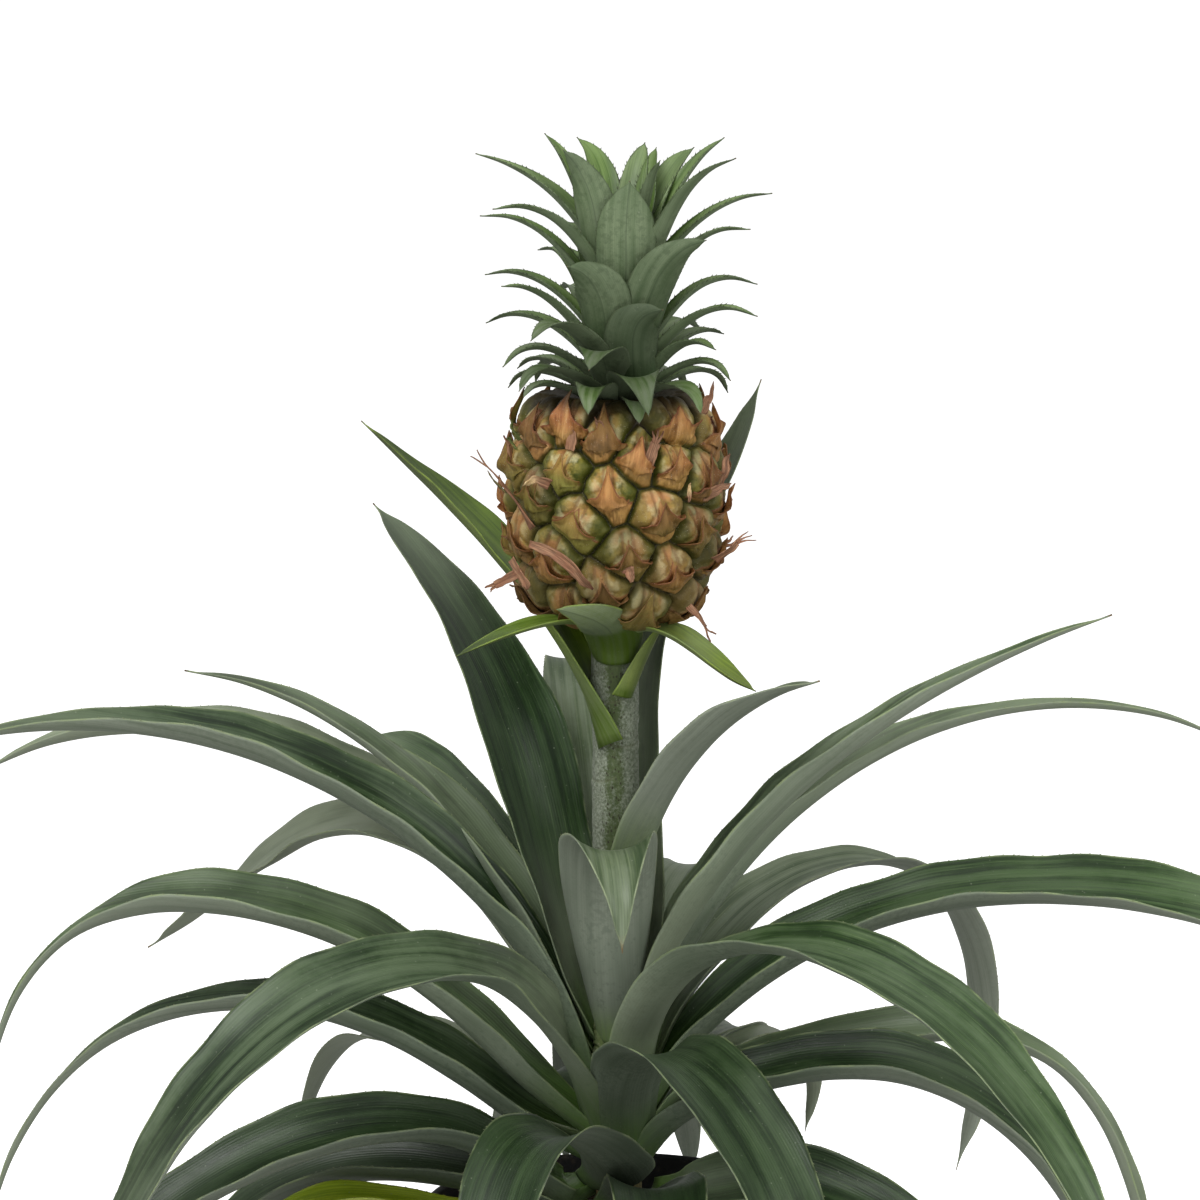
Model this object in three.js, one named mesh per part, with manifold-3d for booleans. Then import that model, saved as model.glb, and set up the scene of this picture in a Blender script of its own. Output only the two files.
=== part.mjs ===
// Potted pineapple plant: a rosette of arching, channelled leaves around a
// short stem, one upright fruit stalk with a small fruit and its leafy crown,
// in a round nursery pot filled with potting soil.
// Units are millimetres, +Z is up, the origin is the middle of the pot's
// underside and the viewer in front of the plant stands on the -Y side.
import * as THREE from "three";
import { mergeVertices } from "three/addons/utils/BufferGeometryUtils.js";
import Module from "manifold-3d";

const wasm = await Module();
wasm.setup();
const { Manifold, Mesh } = wasm;

// ---------------------------------------------------------------- dimensions
const GAP = 0.32; // left between neighbouring pieces
const POT_HEIGHT = 115;
const POT_RIM_R = 66;
const POT_BAND_R = 63.2; // wall just under the rim band
const POT_BAND_H = 17;
const POT_FOOT_R = 47;
const POT_WALL = 1.8;
const POT_FLOOR = 2.6;
const SOIL_Z = 104.5; // soil level at the stem
const STEM_R = 8.4;
const STEM_TOP = 181.5;
const STALK_R = 7.7;
const STALK_TOP = 313.8;
const FRUIT_BASE_Z = 314.4;
const FRUIT_TOP_Z = 388.5; // middle of the hollow top, where the crown sits
const FRUIT_X = -1.2;
const EYES = 62;
const EYE_FIRST = 3.4; // height of the lowest eye on the skin
const EYE_PITCH = 1.19; // rise from one eye to the next along the spiral
const EYE_TURN = (137.508 * Math.PI) / 180;
const EYE_START = -1.48;
const SLACK = 0.14; // detail finer than this is smoothed away
const LEAF_THICK = 1.5; // at the midrib
const LEAF_EDGE = 0.8; // at the margins
const CROWN_THICK = 1.1;
const CROWN_EDGE = 0.7;

// ---------------------------------------------------------------- leaf tables
// One row per station from base to tip:
// midrib x, y, z, half width, half angle of the channel (radians),
// and the unit vector that points across the blade.
const LEAVES = [
  ["leaf_front_right_low", 0x4c6a3c, [
      [4.01, -8.54, 135.19, 12, 1.3, 0.99, 0.091, 0.105],
      [3.84, -19.21, 154.63, 14.19, 1.15, 0.984, 0.17, 0.061],
      [6.26, -33.87, 170.09, 16.34, 0.95, 0.969, 0.246, 0.028],
      [11.25, -50.96, 180.22, 17.25, 0.76, 0.943, 0.334, 0.005],
      [18.66, -68.96, 183.9, 17.44, 0.63, 0.907, 0.422, -0],
      [27.69, -86.56, 181.24, 17.29, 0.59, 0.874, 0.485, 0.011],
      [37.33, -102.51, 172.77, 16.77, 0.56, 0.847, 0.53, 0.031],
      [46.59, -115.71, 159.15, 15.34, 0.54, 0.832, 0.553, 0.051],
      [54.42, -125.73, 141.77, 12.38, 0.52, 0.838, 0.543, 0.061],
      [59.78, -132.37, 122.27, 7.64, 0.51, 0.873, 0.485, 0.047],
      [61.64, -135.47, 102.3, 0.5, 0.5, 0.951, 0.307, -0.031],
    ]],
  ["leaf_front_left_low", 0x3f5a3a, [
      [-4.84, -8.19, 123.42, 12, 1.3, 0.895, 0.446, -0.023],
      [-1.13, -22.29, 128.1, 14.52, 1.13, 0.994, -0.034, -0.1],
      [-3.47, -35.29, 137.5, 16.07, 0.97, 0.923, -0.381, -0.055],
      [-9.64, -48.13, 147.98, 16.77, 0.83, 0.863, -0.504, -0.024],
      [-17.45, -61.71, 155.97, 16.89, 0.71, 0.868, -0.496, -0.015],
      [-25.19, -76.01, 158.94, 16.72, 0.64, 0.889, -0.458, -0],
      [-31.84, -89.9, 155.71, 16.11, 0.6, 0.91, -0.413, 0.031],
      [-36.78, -102.25, 146.28, 14.4, 0.56, 0.915, -0.398, 0.061],
      [-40.02, -111.98, 132.39, 11.2, 0.53, 0.906, -0.417, 0.076],
      [-41.65, -118.05, 115.96, 6.82, 0.51, 0.876, -0.477, 0.066],
      [-41.73, -119.4, 98.9, 0.5, 0.5, 0.757, -0.653, -0.023],
    ]],
  ["leaf_front_lowest", 0x3a5236, [
      [1.06, -9.46, 113.36, 12, 1.3, 0.886, 0.459, -0.066],
      [5.67, -19.9, 120.53, 13.88, 1.11, 0.953, 0.301, -0.034],
      [8.81, -31.88, 127.41, 15.32, 0.94, 0.982, 0.19, -0.013],
      [10.82, -44.9, 133.26, 16.37, 0.8, 0.993, 0.115, -0.001],
      [12.03, -58.46, 137.34, 16.65, 0.67, 0.998, 0.068, 0.002],
      [12.77, -72.06, 138.89, 16.51, 0.61, 0.999, 0.045, 0],
      [13.36, -85.19, 137.17, 15.68, 0.57, 0.999, 0.049, -0.005],
      [14.01, -97.28, 131.77, 13.98, 0.55, 0.998, 0.065, -0.007],
      [14.72, -107.6, 122.91, 11.35, 0.53, 0.996, 0.085, -0.005],
      [15.45, -115.43, 110.89, 7.34, 0.51, 0.994, 0.111, 0.002],
      [16.18, -120.02, 95.99, 0.5, 0.5, 0.989, 0.148, 0.018],
    ]],
  ["leaf_front_inner", 0x7d8c78, [
      [-0.31, -8.46, 172.17, 9, 1.3, 0.976, -0.209, 0.068],
      [-1.55, -11.1, 183.88, 11.32, 1.26, 0.984, -0.167, 0.054],
      [-2.5, -13.7, 196.75, 13.66, 1.2, 0.992, -0.12, 0.034],
      [-3.14, -16.98, 210.01, 16.18, 1.13, 0.997, -0.073, 0.015],
      [-3.45, -21.67, 222.89, 18.13, 1.06, 1, -0.028, -0.002],
      [-3.39, -28.49, 234.62, 18.9, 0.99, 1, 0.012, -0.013],
      [-2.93, -37.67, 243.71, 18.13, 0.93, 0.998, 0.058, -0.017],
      [-1.94, -48.49, 247.35, 14.69, 0.88, 0.994, 0.111, -0],
      [-0.56, -59.4, 243.91, 9.62, 0.84, 0.992, 0.12, 0.028],
      [0.68, -67.55, 234.21, 4.38, 0.81, 0.996, 0.082, 0.04],
      [1.19, -69.93, 219.34, 0.5, 0.8, 0.999, -0.049, -0.007],
    ]],
  ["leaf_right_front_arch", 0x5a7548, [
      [6.21, -5.76, 147.37, 11, 1.3, 0.829, 0.548, 0.107],
      [10.1, -14.69, 178.45, 13.22, 1.14, 0.769, 0.637, 0.047],
      [21.99, -29.15, 200.46, 15.46, 1.01, 0.731, 0.682, 0.018],
      [39.4, -47.31, 213.7, 16.57, 0.88, 0.703, 0.711, 0.02],
      [59.85, -67.32, 218.48, 17.5, 0.78, 0.69, 0.721, 0.068],
      [81.29, -87.63, 215.37, 17.72, 0.74, 0.694, 0.716, 0.076],
      [102.15, -107.01, 205.28, 16.5, 0.7, 0.69, 0.723, 0.033],
      [120.94, -124.31, 189.13, 13.84, 0.67, 0.678, 0.735, 0.003],
      [136.72, -138.78, 168.03, 9.54, 0.63, 0.675, 0.738, -0.002],
      [148.71, -149.84, 143.16, 5.86, 0.61, 0.676, 0.737, -0.003],
      [156.15, -156.9, 115.71, 0.5, 0.6, 0.682, 0.731, -0.007],
    ]],
  ["leaf_left_front_arch", 0x4f6b42, [
      [-9.18, -5.64, 142.84, 11, 1.3, 0.589, -0.807, -0.04],
      [-17.79, -15.25, 169.61, 15.33, 1.03, 0.19, -0.908, -0.373],
      [-30.75, -30, 191.98, 17.24, 0.93, 0.234, -0.818, -0.525],
      [-48.8, -47.57, 206.24, 18.16, 0.84, 0.557, -0.778, -0.291],
      [-70.9, -65.61, 210.75, 18.47, 0.79, 0.586, -0.773, -0.241],
      [-94.26, -81.77, 205.79, 18.5, 0.74, 0.583, -0.779, -0.23],
      [-116.2, -93.89, 191.9, 18.43, 0.7, 0.51, -0.852, -0.118],
      [-135.47, -101.93, 170.97, 17.32, 0.66, 0.397, -0.916, -0.053],
      [-151.57, -106.93, 145.61, 13.63, 0.62, 0.35, -0.935, -0.054],
      [-164.05, -109.97, 118.45, 8.59, 0.6, 0.359, -0.932, -0.056],
      [-172.44, -112.12, 92.1, 0.5, 0.6, 0.429, -0.903, -0.031],
    ]],
  ["leaf_right_long", 0x4d6a40, [
      [8.33, 0.09, 142.84, 10, 1.3, -0.015, 1, 0.007],
      [24.37, 0.25, 168.73, 14.58, 1.33, -0.069, 0.997, 0.042],
      [44.37, 0.65, 188.98, 16.89, 1.28, -0.142, 0.979, 0.146],
      [67.58, 1.28, 203.93, 18.05, 1.23, -0.112, 0.98, 0.163],
      [93.25, 2.1, 213.93, 18.45, 1.19, -0.079, 0.984, 0.161],
      [120.64, 3.06, 219.3, 18.49, 1.14, -0.056, 0.983, 0.177],
      [148.98, 4.13, 220.41, 18.31, 1.1, -0.03, 0.97, 0.242],
      [177.55, 5.29, 217.58, 17.27, 1.06, 0.017, 0.941, 0.339],
      [205.58, 6.48, 211.17, 13.89, 1.01, 0.084, 0.904, 0.419],
      [232.32, 7.69, 201.51, 8.06, 0.98, 0.083, 0.952, 0.295],
      [257.04, 8.86, 188.94, 0.5, 0.95, -0.048, 0.999, 0.002],
    ]],
  ["leaf_left_long", 0x4b6545, [
      [-10.05, -1.12, 149.14, 9, 1.3, 0.059, -0.998, 0.004],
      [-18.97, -1.62, 177.68, 11.7, 1.35, 0.067, -0.998, 0.001],
      [-32.75, -2.58, 203.36, 15.99, 1.3, -0.018, -0.998, -0.06],
      [-50.72, -3.93, 225.9, 17.64, 1.25, -0.1, -0.981, -0.166],
      [-72.21, -5.56, 245.01, 18.38, 1.2, -0.089, -0.972, -0.217],
      [-96.55, -7.39, 260.41, 18.49, 1.16, -0.013, -0.986, -0.164],
      [-123.06, -9.33, 271.8, 18.31, 1.12, 0.043, -0.996, -0.083],
      [-151.09, -11.3, 278.91, 15.61, 1.06, 0.067, -0.998, -0.01],
      [-179.94, -13.21, 281.44, 9.24, 1.01, 0.063, -0.998, 0],
      [-208.96, -14.97, 279.1, 4.32, 0.97, 0.057, -0.998, -0.001],
      [-237.48, -16.49, 271.62, 0.5, 0.95, 0.05, -0.999, -0.002],
    ]],
  ["leaf_right_upper", 0x5c7454, [
      [8.4, -0.53, 166.03, 9, 1.3, 0.077, 0.997, 0.003],
      [14.17, -1.03, 188.27, 13.6, 1.35, 0.076, 0.997, 0.002],
      [23.05, -1.75, 208.99, 16.12, 1.29, 0.072, 0.997, 0.003],
      [34.69, -2.64, 228.17, 17.3, 1.23, 0.071, 0.997, 0.003],
      [48.7, -3.68, 245.81, 16.79, 1.18, 0.072, 0.997, 0.001],
      [64.72, -4.83, 261.9, 15.33, 1.14, 0.071, 0.997, 0],
      [82.37, -6.08, 276.45, 12.76, 1.1, 0.07, 0.998, -0],
      [101.3, -7.38, 289.44, 9.54, 1.06, 0.068, 0.998, -0],
      [121.12, -8.71, 300.86, 6.27, 1.01, 0.066, 0.998, -0.001],
      [141.46, -10.04, 310.72, 3.72, 0.98, 0.064, 0.998, -0.001],
      [161.96, -11.33, 319, 0.5, 0.95, 0.062, 0.998, -0.001],
    ]],
  ["leaf_left_upright", 0x2f4a2c, [
      [-7.26, 5.86, 171.8, 10, 1.3, -0.567, -0.822, -0.051],
      [-13.63, 9.57, 190.98, 14.11, 0.94, -0.621, -0.783, -0.032],
      [-18.72, 13.29, 210.74, 15.75, 0.86, -0.678, -0.735, -0.018],
      [-23.27, 17.38, 230.63, 16.95, 0.76, -0.731, -0.682, -0.015],
      [-27.98, 22.18, 250.24, 17.8, 0.67, -0.783, -0.621, -0.034],
      [-33.56, 28.05, 269.12, 18.3, 0.6, -0.804, -0.592, -0.064],
      [-40.72, 35.34, 286.84, 17.3, 0.56, -0.736, -0.676, -0.032],
      [-49.91, 44.26, 303.08, 14.49, 0.53, -0.696, -0.718, -0.004],
      [-60.66, 54.63, 317.79, 11.46, 0.52, -0.695, -0.719, 0.003],
      [-72.33, 66.15, 331, 7.32, 0.51, -0.706, -0.708, 0.007],
      [-84.29, 78.55, 342.75, 0.5, 0.5, -0.726, -0.687, 0.011],
    ]],
  ["leaf_left_middle", 0x55704a, [
      [-9.54, -0.45, 139.49, 10, 1.3, 0.01, -1, -0.002],
      [-31.82, -0.6, 157.56, 15.89, 1.31, -0.022, -0.999, -0.027],
      [-51.9, -0.68, 177.77, 17.31, 1.27, -0.033, -0.999, -0.04],
      [-73.88, -0.93, 196.08, 18.21, 1.23, -0.074, -0.988, -0.133],
      [-99.73, -1.25, 209.52, 18.48, 1.19, -0.062, -0.983, -0.174],
      [-127.98, -1.01, 216.77, 18.47, 1.15, -0.041, -0.992, -0.119],
      [-156.74, 0.35, 216.66, 15.83, 1.11, -0.056, -0.998, -0.042],
      [-182.46, 1.81, 207.46, 5.87, 1.07, -0.032, -0.999, -0.006],
      [-200.71, 1.39, 187.4, 4.08, 1.01, 0.066, -0.998, 0.021],
      [-210.61, -0.14, 159.56, 2.84, 0.98, 0.063, -0.998, 0.025],
      [-214.19, 0.1, 130.88, 0.5, 0.95, -0.162, -0.984, -0.071],
    ]],
  ["leaf_right_inner", 0x75866a, [
      [7.19, -4.62, 175.79, 8, 1.3, 0.923, 0.273, 0.272],
      [4.3, -6.92, 191.98, 8.98, 1.2, 0.824, 0.542, 0.162],
      [3.59, -9.03, 208.25, 10.34, 1.1, 0.708, 0.702, 0.076],
      [4.98, -11.22, 224.28, 12.14, 0.99, 0.616, 0.787, 0.021],
      [8.38, -13.74, 239.74, 13.23, 0.89, 0.556, 0.831, -0.008],
      [13.73, -16.88, 254.33, 14.37, 0.8, 0.523, 0.852, -0.02],
      [20.94, -20.9, 267.72, 15.91, 0.73, 0.513, 0.858, -0.021],
      [29.91, -26.06, 279.62, 16.4, 0.68, 0.523, 0.852, -0.014],
      [40.36, -32.58, 289.79, 14.53, 0.64, 0.551, 0.834, -0.005],
      [51.99, -40.67, 298.04, 8.9, 0.61, 0.593, 0.805, 0.003],
      [64.46, -50.53, 304.17, 0.5, 0.6, 0.644, 0.765, 0.008],
    ]],
  ["leaf_left_low", 0x38522f, [
      [-7.92, -2.17, 120.59, 10, 1.3, 0.193, -0.981, -0.014],
      [-18.8, -4.43, 117.78, 14.83, 1.33, 0.184, -0.981, -0.063],
      [-37.16, -8.83, 130.65, 16.58, 1.29, 0.165, -0.979, -0.118],
      [-56.8, -13.81, 141.27, 17.78, 1.25, 0.2, -0.971, -0.13],
      [-77.86, -19.09, 144.63, 18.37, 1.2, 0.237, -0.949, -0.207],
      [-99.27, -24.36, 141.93, 18.49, 1.16, 0.284, -0.925, -0.253],
      [-119.82, -29.31, 135.33, 18.41, 1.12, 0.302, -0.933, -0.195],
      [-138.92, -33.75, 125.5, 17.58, 1.07, 0.293, -0.948, -0.125],
      [-156.18, -37.52, 112.57, 15.03, 1.02, 0.268, -0.961, -0.075],
      [-171.22, -40.48, 96.69, 9.1, 0.98, 0.215, -0.976, -0.031],
      [-183.67, -42.46, 78, 0.5, 0.95, 0.165, -0.986, -0.02],
    ]],
  ["leaf_right_low", 0x3b5532, [
      [8.26, -2.58, 128.82, 10, 1.3, 0.296, 0.955, 0.001],
      [19.38, -6.05, 143.63, 13.42, 1.35, 0.296, 0.955, 0.004],
      [35.1, -11.02, 154.71, 16.1, 1.3, 0.215, 0.962, 0.169],
      [53.52, -16.93, 162.46, 17.76, 1.25, 0.232, 0.945, 0.229],
      [72.9, -23.27, 167.08, 18.37, 1.2, 0.279, 0.938, 0.205],
      [92.15, -29.57, 167.49, 18.4, 1.15, 0.32, 0.937, 0.141],
      [110.39, -35.38, 162.43, 17.35, 1.1, 0.318, 0.947, 0.049],
      [126.83, -40.39, 152.18, 14.36, 1.05, 0.289, 0.957, 0.005],
      [140.64, -44.36, 137.76, 10.96, 1.01, 0.273, 0.962, 0.007],
      [151.04, -47.03, 120.17, 5.84, 0.97, 0.254, 0.967, 0.014],
      [157.22, -48.14, 100.43, 0.5, 0.95, 0.223, 0.974, 0.029],
    ]],
  ["leaf_left_drooping", 0x4a5c48, [
      [-10.02, 0.97, 130.72, 9, 1.3, -0.052, -0.999, -0.005],
      [-31.97, 2.4, 142.21, 14.26, 1.33, -0.091, -0.996, -0.018],
      [-52.78, 4.3, 156.95, 16.94, 1.28, -0.134, -0.99, -0.048],
      [-75.1, 6.69, 169.92, 17.91, 1.23, -0.127, -0.991, -0.039],
      [-99.72, 9.47, 178.1, 16.91, 1.18, -0.115, -0.993, -0.006],
      [-125.48, 12.46, 180.46, 14.35, 1.14, -0.116, -0.993, -0],
      [-150.95, 15.44, 176.27, 10.74, 1.09, -0.116, -0.993, -0.001],
      [-174.07, 18.13, 165.4, 7.1, 1.04, -0.114, -0.994, -0.002],
      [-192.79, 20.26, 148.01, 4.16, 1, -0.109, -0.994, -0.001],
      [-206.51, 21.76, 125.67, 3, 0.99, -0.104, -0.995, 0],
      [-215.39, 22.63, 100.75, 0.5, 0.95, -0.098, -0.995, 0.003],
    ]],
  ["leaf_right_slender", 0x6b7a66, [
      [9.8, 1.9, 156.97, 9, 1.3, -0.147, 0.989, 0.026],
      [16.42, 2.53, 184.13, 11.91, 1.35, -0.179, 0.984, 0.011],
      [27.7, 4.54, 208.84, 13.75, 1.29, -0.198, 0.98, 0.003],
      [43.03, 7.7, 230.62, 14.13, 1.25, -0.209, 0.978, -0],
      [61.8, 11.83, 249, 13.91, 1.2, -0.217, 0.976, -0.002],
      [83.42, 16.7, 263.5, 12.32, 1.15, -0.22, 0.975, -0.002],
      [107.26, 22.11, 273.69, 9.28, 1.1, -0.221, 0.975, -0.001],
      [132.62, 27.83, 279.22, 6.08, 1.06, -0.219, 0.976, -0],
      [158.81, 33.65, 279.81, 4.32, 1.02, -0.215, 0.977, 0],
      [185.08, 39.34, 275.17, 3.2, 1, -0.208, 0.978, 0],
      [210.73, 44.67, 265.02, 0.5, 0.95, -0.199, 0.98, -0.001],
    ]],
  ["leaf_left_upper", 0x4f6b4a, [
      [-8.92, 3.3, 159.68, 9, 1.3, -0.286, -0.958, -0.035],
      [-16.27, 5.12, 179.37, 10.09, 1.35, -0.324, -0.946, -0.019],
      [-25.23, 8.1, 198.26, 11.93, 1.32, -0.352, -0.936, -0.008],
      [-35.76, 12.12, 216.08, 14.3, 1.26, -0.372, -0.928, -0.001],
      [-47.8, 17.07, 232.56, 14.86, 1.22, -0.385, -0.923, 0.003],
      [-61.3, 22.84, 247.4, 13.9, 1.18, -0.393, -0.92, 0.004],
      [-76.19, 29.3, 260.34, 9.38, 1.12, -0.396, -0.918, 0.004],
      [-92.42, 36.36, 271.09, 7.48, 1.07, -0.396, -0.918, 0.003],
      [-109.94, 43.88, 279.39, 5.98, 1.02, -0.391, -0.92, 0.002],
      [-128.68, 51.76, 284.93, 3.38, 0.98, -0.383, -0.924, 0.001],
      [-148.6, 59.88, 287.46, 0.5, 0.95, -0.372, -0.928, -0],
    ]],
  ["leaf_back_right_arch", 0x6c8062, [
      [6.94, 5.41, 152.21, 10, 1.3, -0.644, 0.765, -0.014],
      [16.9, 15.81, 176.81, 11.83, 1.11, -0.71, 0.704, -0.031],
      [32.27, 32.28, 194.25, 13.82, 0.9, -0.716, 0.698, -0.024],
      [49.95, 50.11, 208.15, 14.52, 0.72, -0.683, 0.73, -0.011],
      [71.52, 68.7, 215.41, 14.02, 0.61, -0.624, 0.782, -0],
      [94.94, 86.65, 213.37, 12.41, 0.6, -0.599, 0.8, -0.002],
      [114.39, 101.37, 200.74, 10.76, 0.6, -0.617, 0.787, 0],
      [126.28, 111.33, 178.22, 9.21, 0.6, -0.655, 0.756, 0.018],
      [131.07, 117.01, 149.85, 7.14, 0.6, -0.707, 0.706, 0.052],
      [129.65, 119.03, 120.02, 4.42, 0.6, -0.798, 0.59, 0.124],
      [122.91, 118.05, 93.11, 0.5, 0.6, -0.935, 0.039, 0.351],
    ]],
  ["leaf_back_left_arch", 0x78886e, [
      [-7.67, 4.46, 150.29, 9, 1.3, -0.382, -0.923, -0.046],
      [-16.79, 7.87, 171.19, 10.79, 1.13, -0.442, -0.897, -0.022],
      [-28.01, 13.44, 192.33, 13.51, 0.96, -0.483, -0.876, -0.006],
      [-41.53, 21.2, 211.77, 15.33, 0.78, -0.512, -0.859, 0.003],
      [-57.91, 31.29, 226.37, 16.31, 0.65, -0.53, -0.848, 0.001],
      [-76.69, 43.12, 233.66, 17.82, 0.59, -0.54, -0.839, -0.065],
      [-96, 55.24, 232.43, 18.41, 0.56, -0.464, -0.857, -0.223],
      [-114.49, 66.56, 222.9, 18.24, 0.54, -0.307, -0.893, -0.33],
      [-132.19, 77.01, 208.56, 15.75, 0.52, -0.351, -0.914, -0.201],
      [-149.31, 86.71, 193.34, 9.29, 0.51, -0.469, -0.883, -0.022],
      [-166.09, 95.76, 181.21, 0.5, 0.5, -0.467, -0.884, 0.005],
    ]],
  ["leaf_back_right_upright", 0x43573c, [
      [4.3, 7.78, 171.9, 9, 1.3, -0.692, 0.712, 0.119],
      [8.13, 10.22, 194.31, 9.64, 1.02, -0.87, 0.493, 0.011],
      [8.43, 12.97, 217.18, 10.12, 0.92, -0.948, 0.309, -0.074],
      [7.06, 16.1, 240.2, 10.36, 0.84, -0.965, 0.241, -0.103],
      [5.83, 19.69, 263.07, 10.47, 0.76, -0.95, 0.304, -0.074],
      [6.57, 23.81, 285.5, 10.65, 0.7, -0.883, 0.469, -0],
      [11.13, 28.55, 307.17, 10.95, 0.67, -0.743, 0.664, 0.086],
      [19.96, 33.77, 328.02, 10.72, 0.64, -0.639, 0.759, 0.123],
      [30.65, 38.88, 348.48, 8.94, 0.62, -0.61, 0.781, 0.134],
      [40.53, 43.45, 369, 5.57, 0.61, -0.661, 0.741, 0.119],
      [48.52, 49.33, 389.38, 0.5, 0.6, -0.799, 0.599, 0.051],
    ]],
  ["leaf_back_upright", 0x8c968c, [
      [-0.79, 8.91, 163.95, 7, 1.3, -0.957, -0.278, -0.084],
      [-3.14, 12.41, 185.71, 7.94, 1.13, -0.974, -0.219, -0.051],
      [-5.36, 19.05, 204.78, 9.5, 0.91, -0.98, -0.194, -0.038],
      [-7.67, 27.28, 223.23, 11.13, 0.68, -0.98, -0.196, -0.038],
      [-10.28, 35.57, 243.07, 11.58, 0.55, -0.975, -0.217, -0.047],
      [-13.09, 44.16, 263.73, 11.4, 0.5, -0.98, -0.198, -0.037],
      [-15.47, 56.13, 280.42, 10.47, 0.47, -0.992, -0.123, -0.008],
      [-16.89, 73.94, 288.05, 8.37, 0.43, -0.999, -0.054, 0.001],
      [-17.98, 92.69, 282.28, 6.43, 0.41, -0.997, -0.08, -0.002],
      [-19.41, 106.52, 263.96, 4.08, 0.4, -0.994, -0.11, 0.007],
      [-20.55, 115.95, 245.52, 0.5, 0.4, -0.996, -0.092, 0.002],
    ]],
  ["leaf_right_lowest", 0x35492f, [
      [7.77, -4.98, 118.39, 11, 1.3, 0.907, 0.421, 0.029],
      [18.98, -14.06, 120.06, 14.35, 1.34, 0.31, 0.946, 0.099],
      [33.44, -18.79, 123.5, 16.72, 1.28, 0.193, 0.87, 0.453],
      [47.52, -25.63, 127.44, 17.85, 1.23, 0.362, 0.787, 0.499],
      [61.11, -33.99, 128.14, 18.36, 1.18, 0.516, 0.767, 0.382],
      [74.6, -42.33, 125.68, 18.37, 1.14, 0.543, 0.811, 0.219],
      [88.01, -49.89, 120.43, 17.84, 1.09, 0.518, 0.846, 0.126],
      [101.04, -56.63, 112.9, 16.23, 1.05, 0.484, 0.872, 0.077],
      [113.36, -62.53, 103.58, 12.62, 1.01, 0.45, 0.892, 0.045],
      [124.66, -67.58, 92.97, 6.9, 0.98, 0.42, 0.907, 0.027],
      [134.62, -71.76, 81.57, 0.5, 0.95, 0.4, 0.916, 0.02],
    ]],
  ["leaf_left_lower_back", 0x39463a, [
      [-8.48, 1.15, 115.09, 10, 1.3, 0.794, -0.439, 0.421],
      [-13.3, 0.56, 109.6, 14.23, 1.33, -0.1, -0.995, -0.006],
      [-30.44, 2.58, 115.04, 16.39, 1.29, -0.131, -0.991, -0.026],
      [-48.5, 4.81, 119.73, 17.67, 1.25, -0.136, -0.989, -0.066],
      [-65.91, 6.96, 122.59, 18.3, 1.2, -0.133, -0.986, -0.1],
      [-82.98, 9.15, 122.65, 18.48, 1.16, -0.12, -0.987, -0.106],
      [-99.9, 11.46, 119.15, 18.37, 1.12, -0.103, -0.988, -0.111],
      [-115.95, 13.75, 112.11, 17.5, 1.07, -0.062, -0.988, -0.141],
      [-130.2, 15.81, 101.79, 14.5, 1.02, -0.021, -0.991, -0.132],
      [-141.68, 17.41, 88.45, 8.02, 0.98, -0.04, -0.997, -0.062],
      [-149.44, 18.36, 72.35, 0.5, 0.95, -0.11, -0.994, 0.004],
    ]],
  ["leaf_right_twisted", 0x5b7350, [
      [8.89, -0.85, 136.4, 9, 1.3, -0.355, 0.917, -0.181],
      [22.8, 4.54, 153.37, 9.81, 1.34, -0.205, 0.978, 0.036],
      [47.14, 8.39, 159.77, 11.43, 1.29, -0.169, 0.947, 0.272],
      [71.19, 8.32, 166.12, 12.56, 1.25, 0.011, 0.904, 0.428],
      [94.26, 3.17, 171.94, 12.76, 1.2, 0.143, 0.919, 0.366],
      [120.5, -1.95, 173.73, 11.18, 1.16, 0.181, 0.969, 0.169],
      [143.4, -5.87, 166.43, 7.39, 1.1, 0.165, 0.986, -0.007],
      [159.52, -8.67, 149.56, 7.15, 1.06, 0.143, 0.99, -0.02],
      [170.09, -10.53, 126.65, 8.64, 1.02, 0.174, 0.985, 0],
      [176.46, -11.64, 101.32, 5.89, 0.98, 0.211, 0.977, 0.009],
      [180, -12.16, 77.21, 0.5, 0.95, 0.08, 0.997, -0.004],
    ]],
  ["leaf_back_left_inner", 0x4d6247, [
      [-6.92, 6.72, 166.05, 8, 1.3, -0.646, -0.763, -0.026],
      [-13.23, 12.02, 179.52, 8.32, 1, -0.682, -0.732, -0.011],
      [-20.06, 18.53, 193.03, 8.9, 0.91, -0.708, -0.707, 0],
      [-27.38, 26.17, 206.17, 9.77, 0.84, -0.727, -0.687, 0.007],
      [-35.21, 34.83, 218.57, 11.25, 0.73, -0.742, -0.67, 0.012],
      [-43.53, 44.44, 229.83, 12.33, 0.64, -0.753, -0.657, 0.014],
      [-52.35, 54.91, 239.56, 12.62, 0.59, -0.762, -0.647, 0.014],
      [-61.66, 66.14, 247.37, 12.59, 0.57, -0.768, -0.64, 0.012],
      [-71.45, 78.05, 252.89, 12.58, 0.55, -0.772, -0.636, 0.008],
      [-81.72, 90.56, 255.71, 12.45, 0.52, -0.772, -0.636, 0.002],
      [-92.47, 103.56, 255.45, 0.5, 0.5, -0.769, -0.639, -0.003],
    ]],
  ["leaf_left_long_back", 0x7d8b74, [
      [-8.26, 3.65, 146.17, 7, 1.3, -0.537, -0.833, 0.136],
      [-14.48, 10.46, 172.35, 8.98, 1.35, -0.454, -0.887, 0.085],
      [-26.33, 17.73, 196.29, 11.5, 1.32, -0.392, -0.919, 0.051],
      [-42.95, 25.15, 217.52, 13.9, 1.28, -0.34, -0.94, 0.029],
      [-63.48, 32.36, 235.6, 15.32, 1.25, -0.292, -0.956, 0.013],
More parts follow.
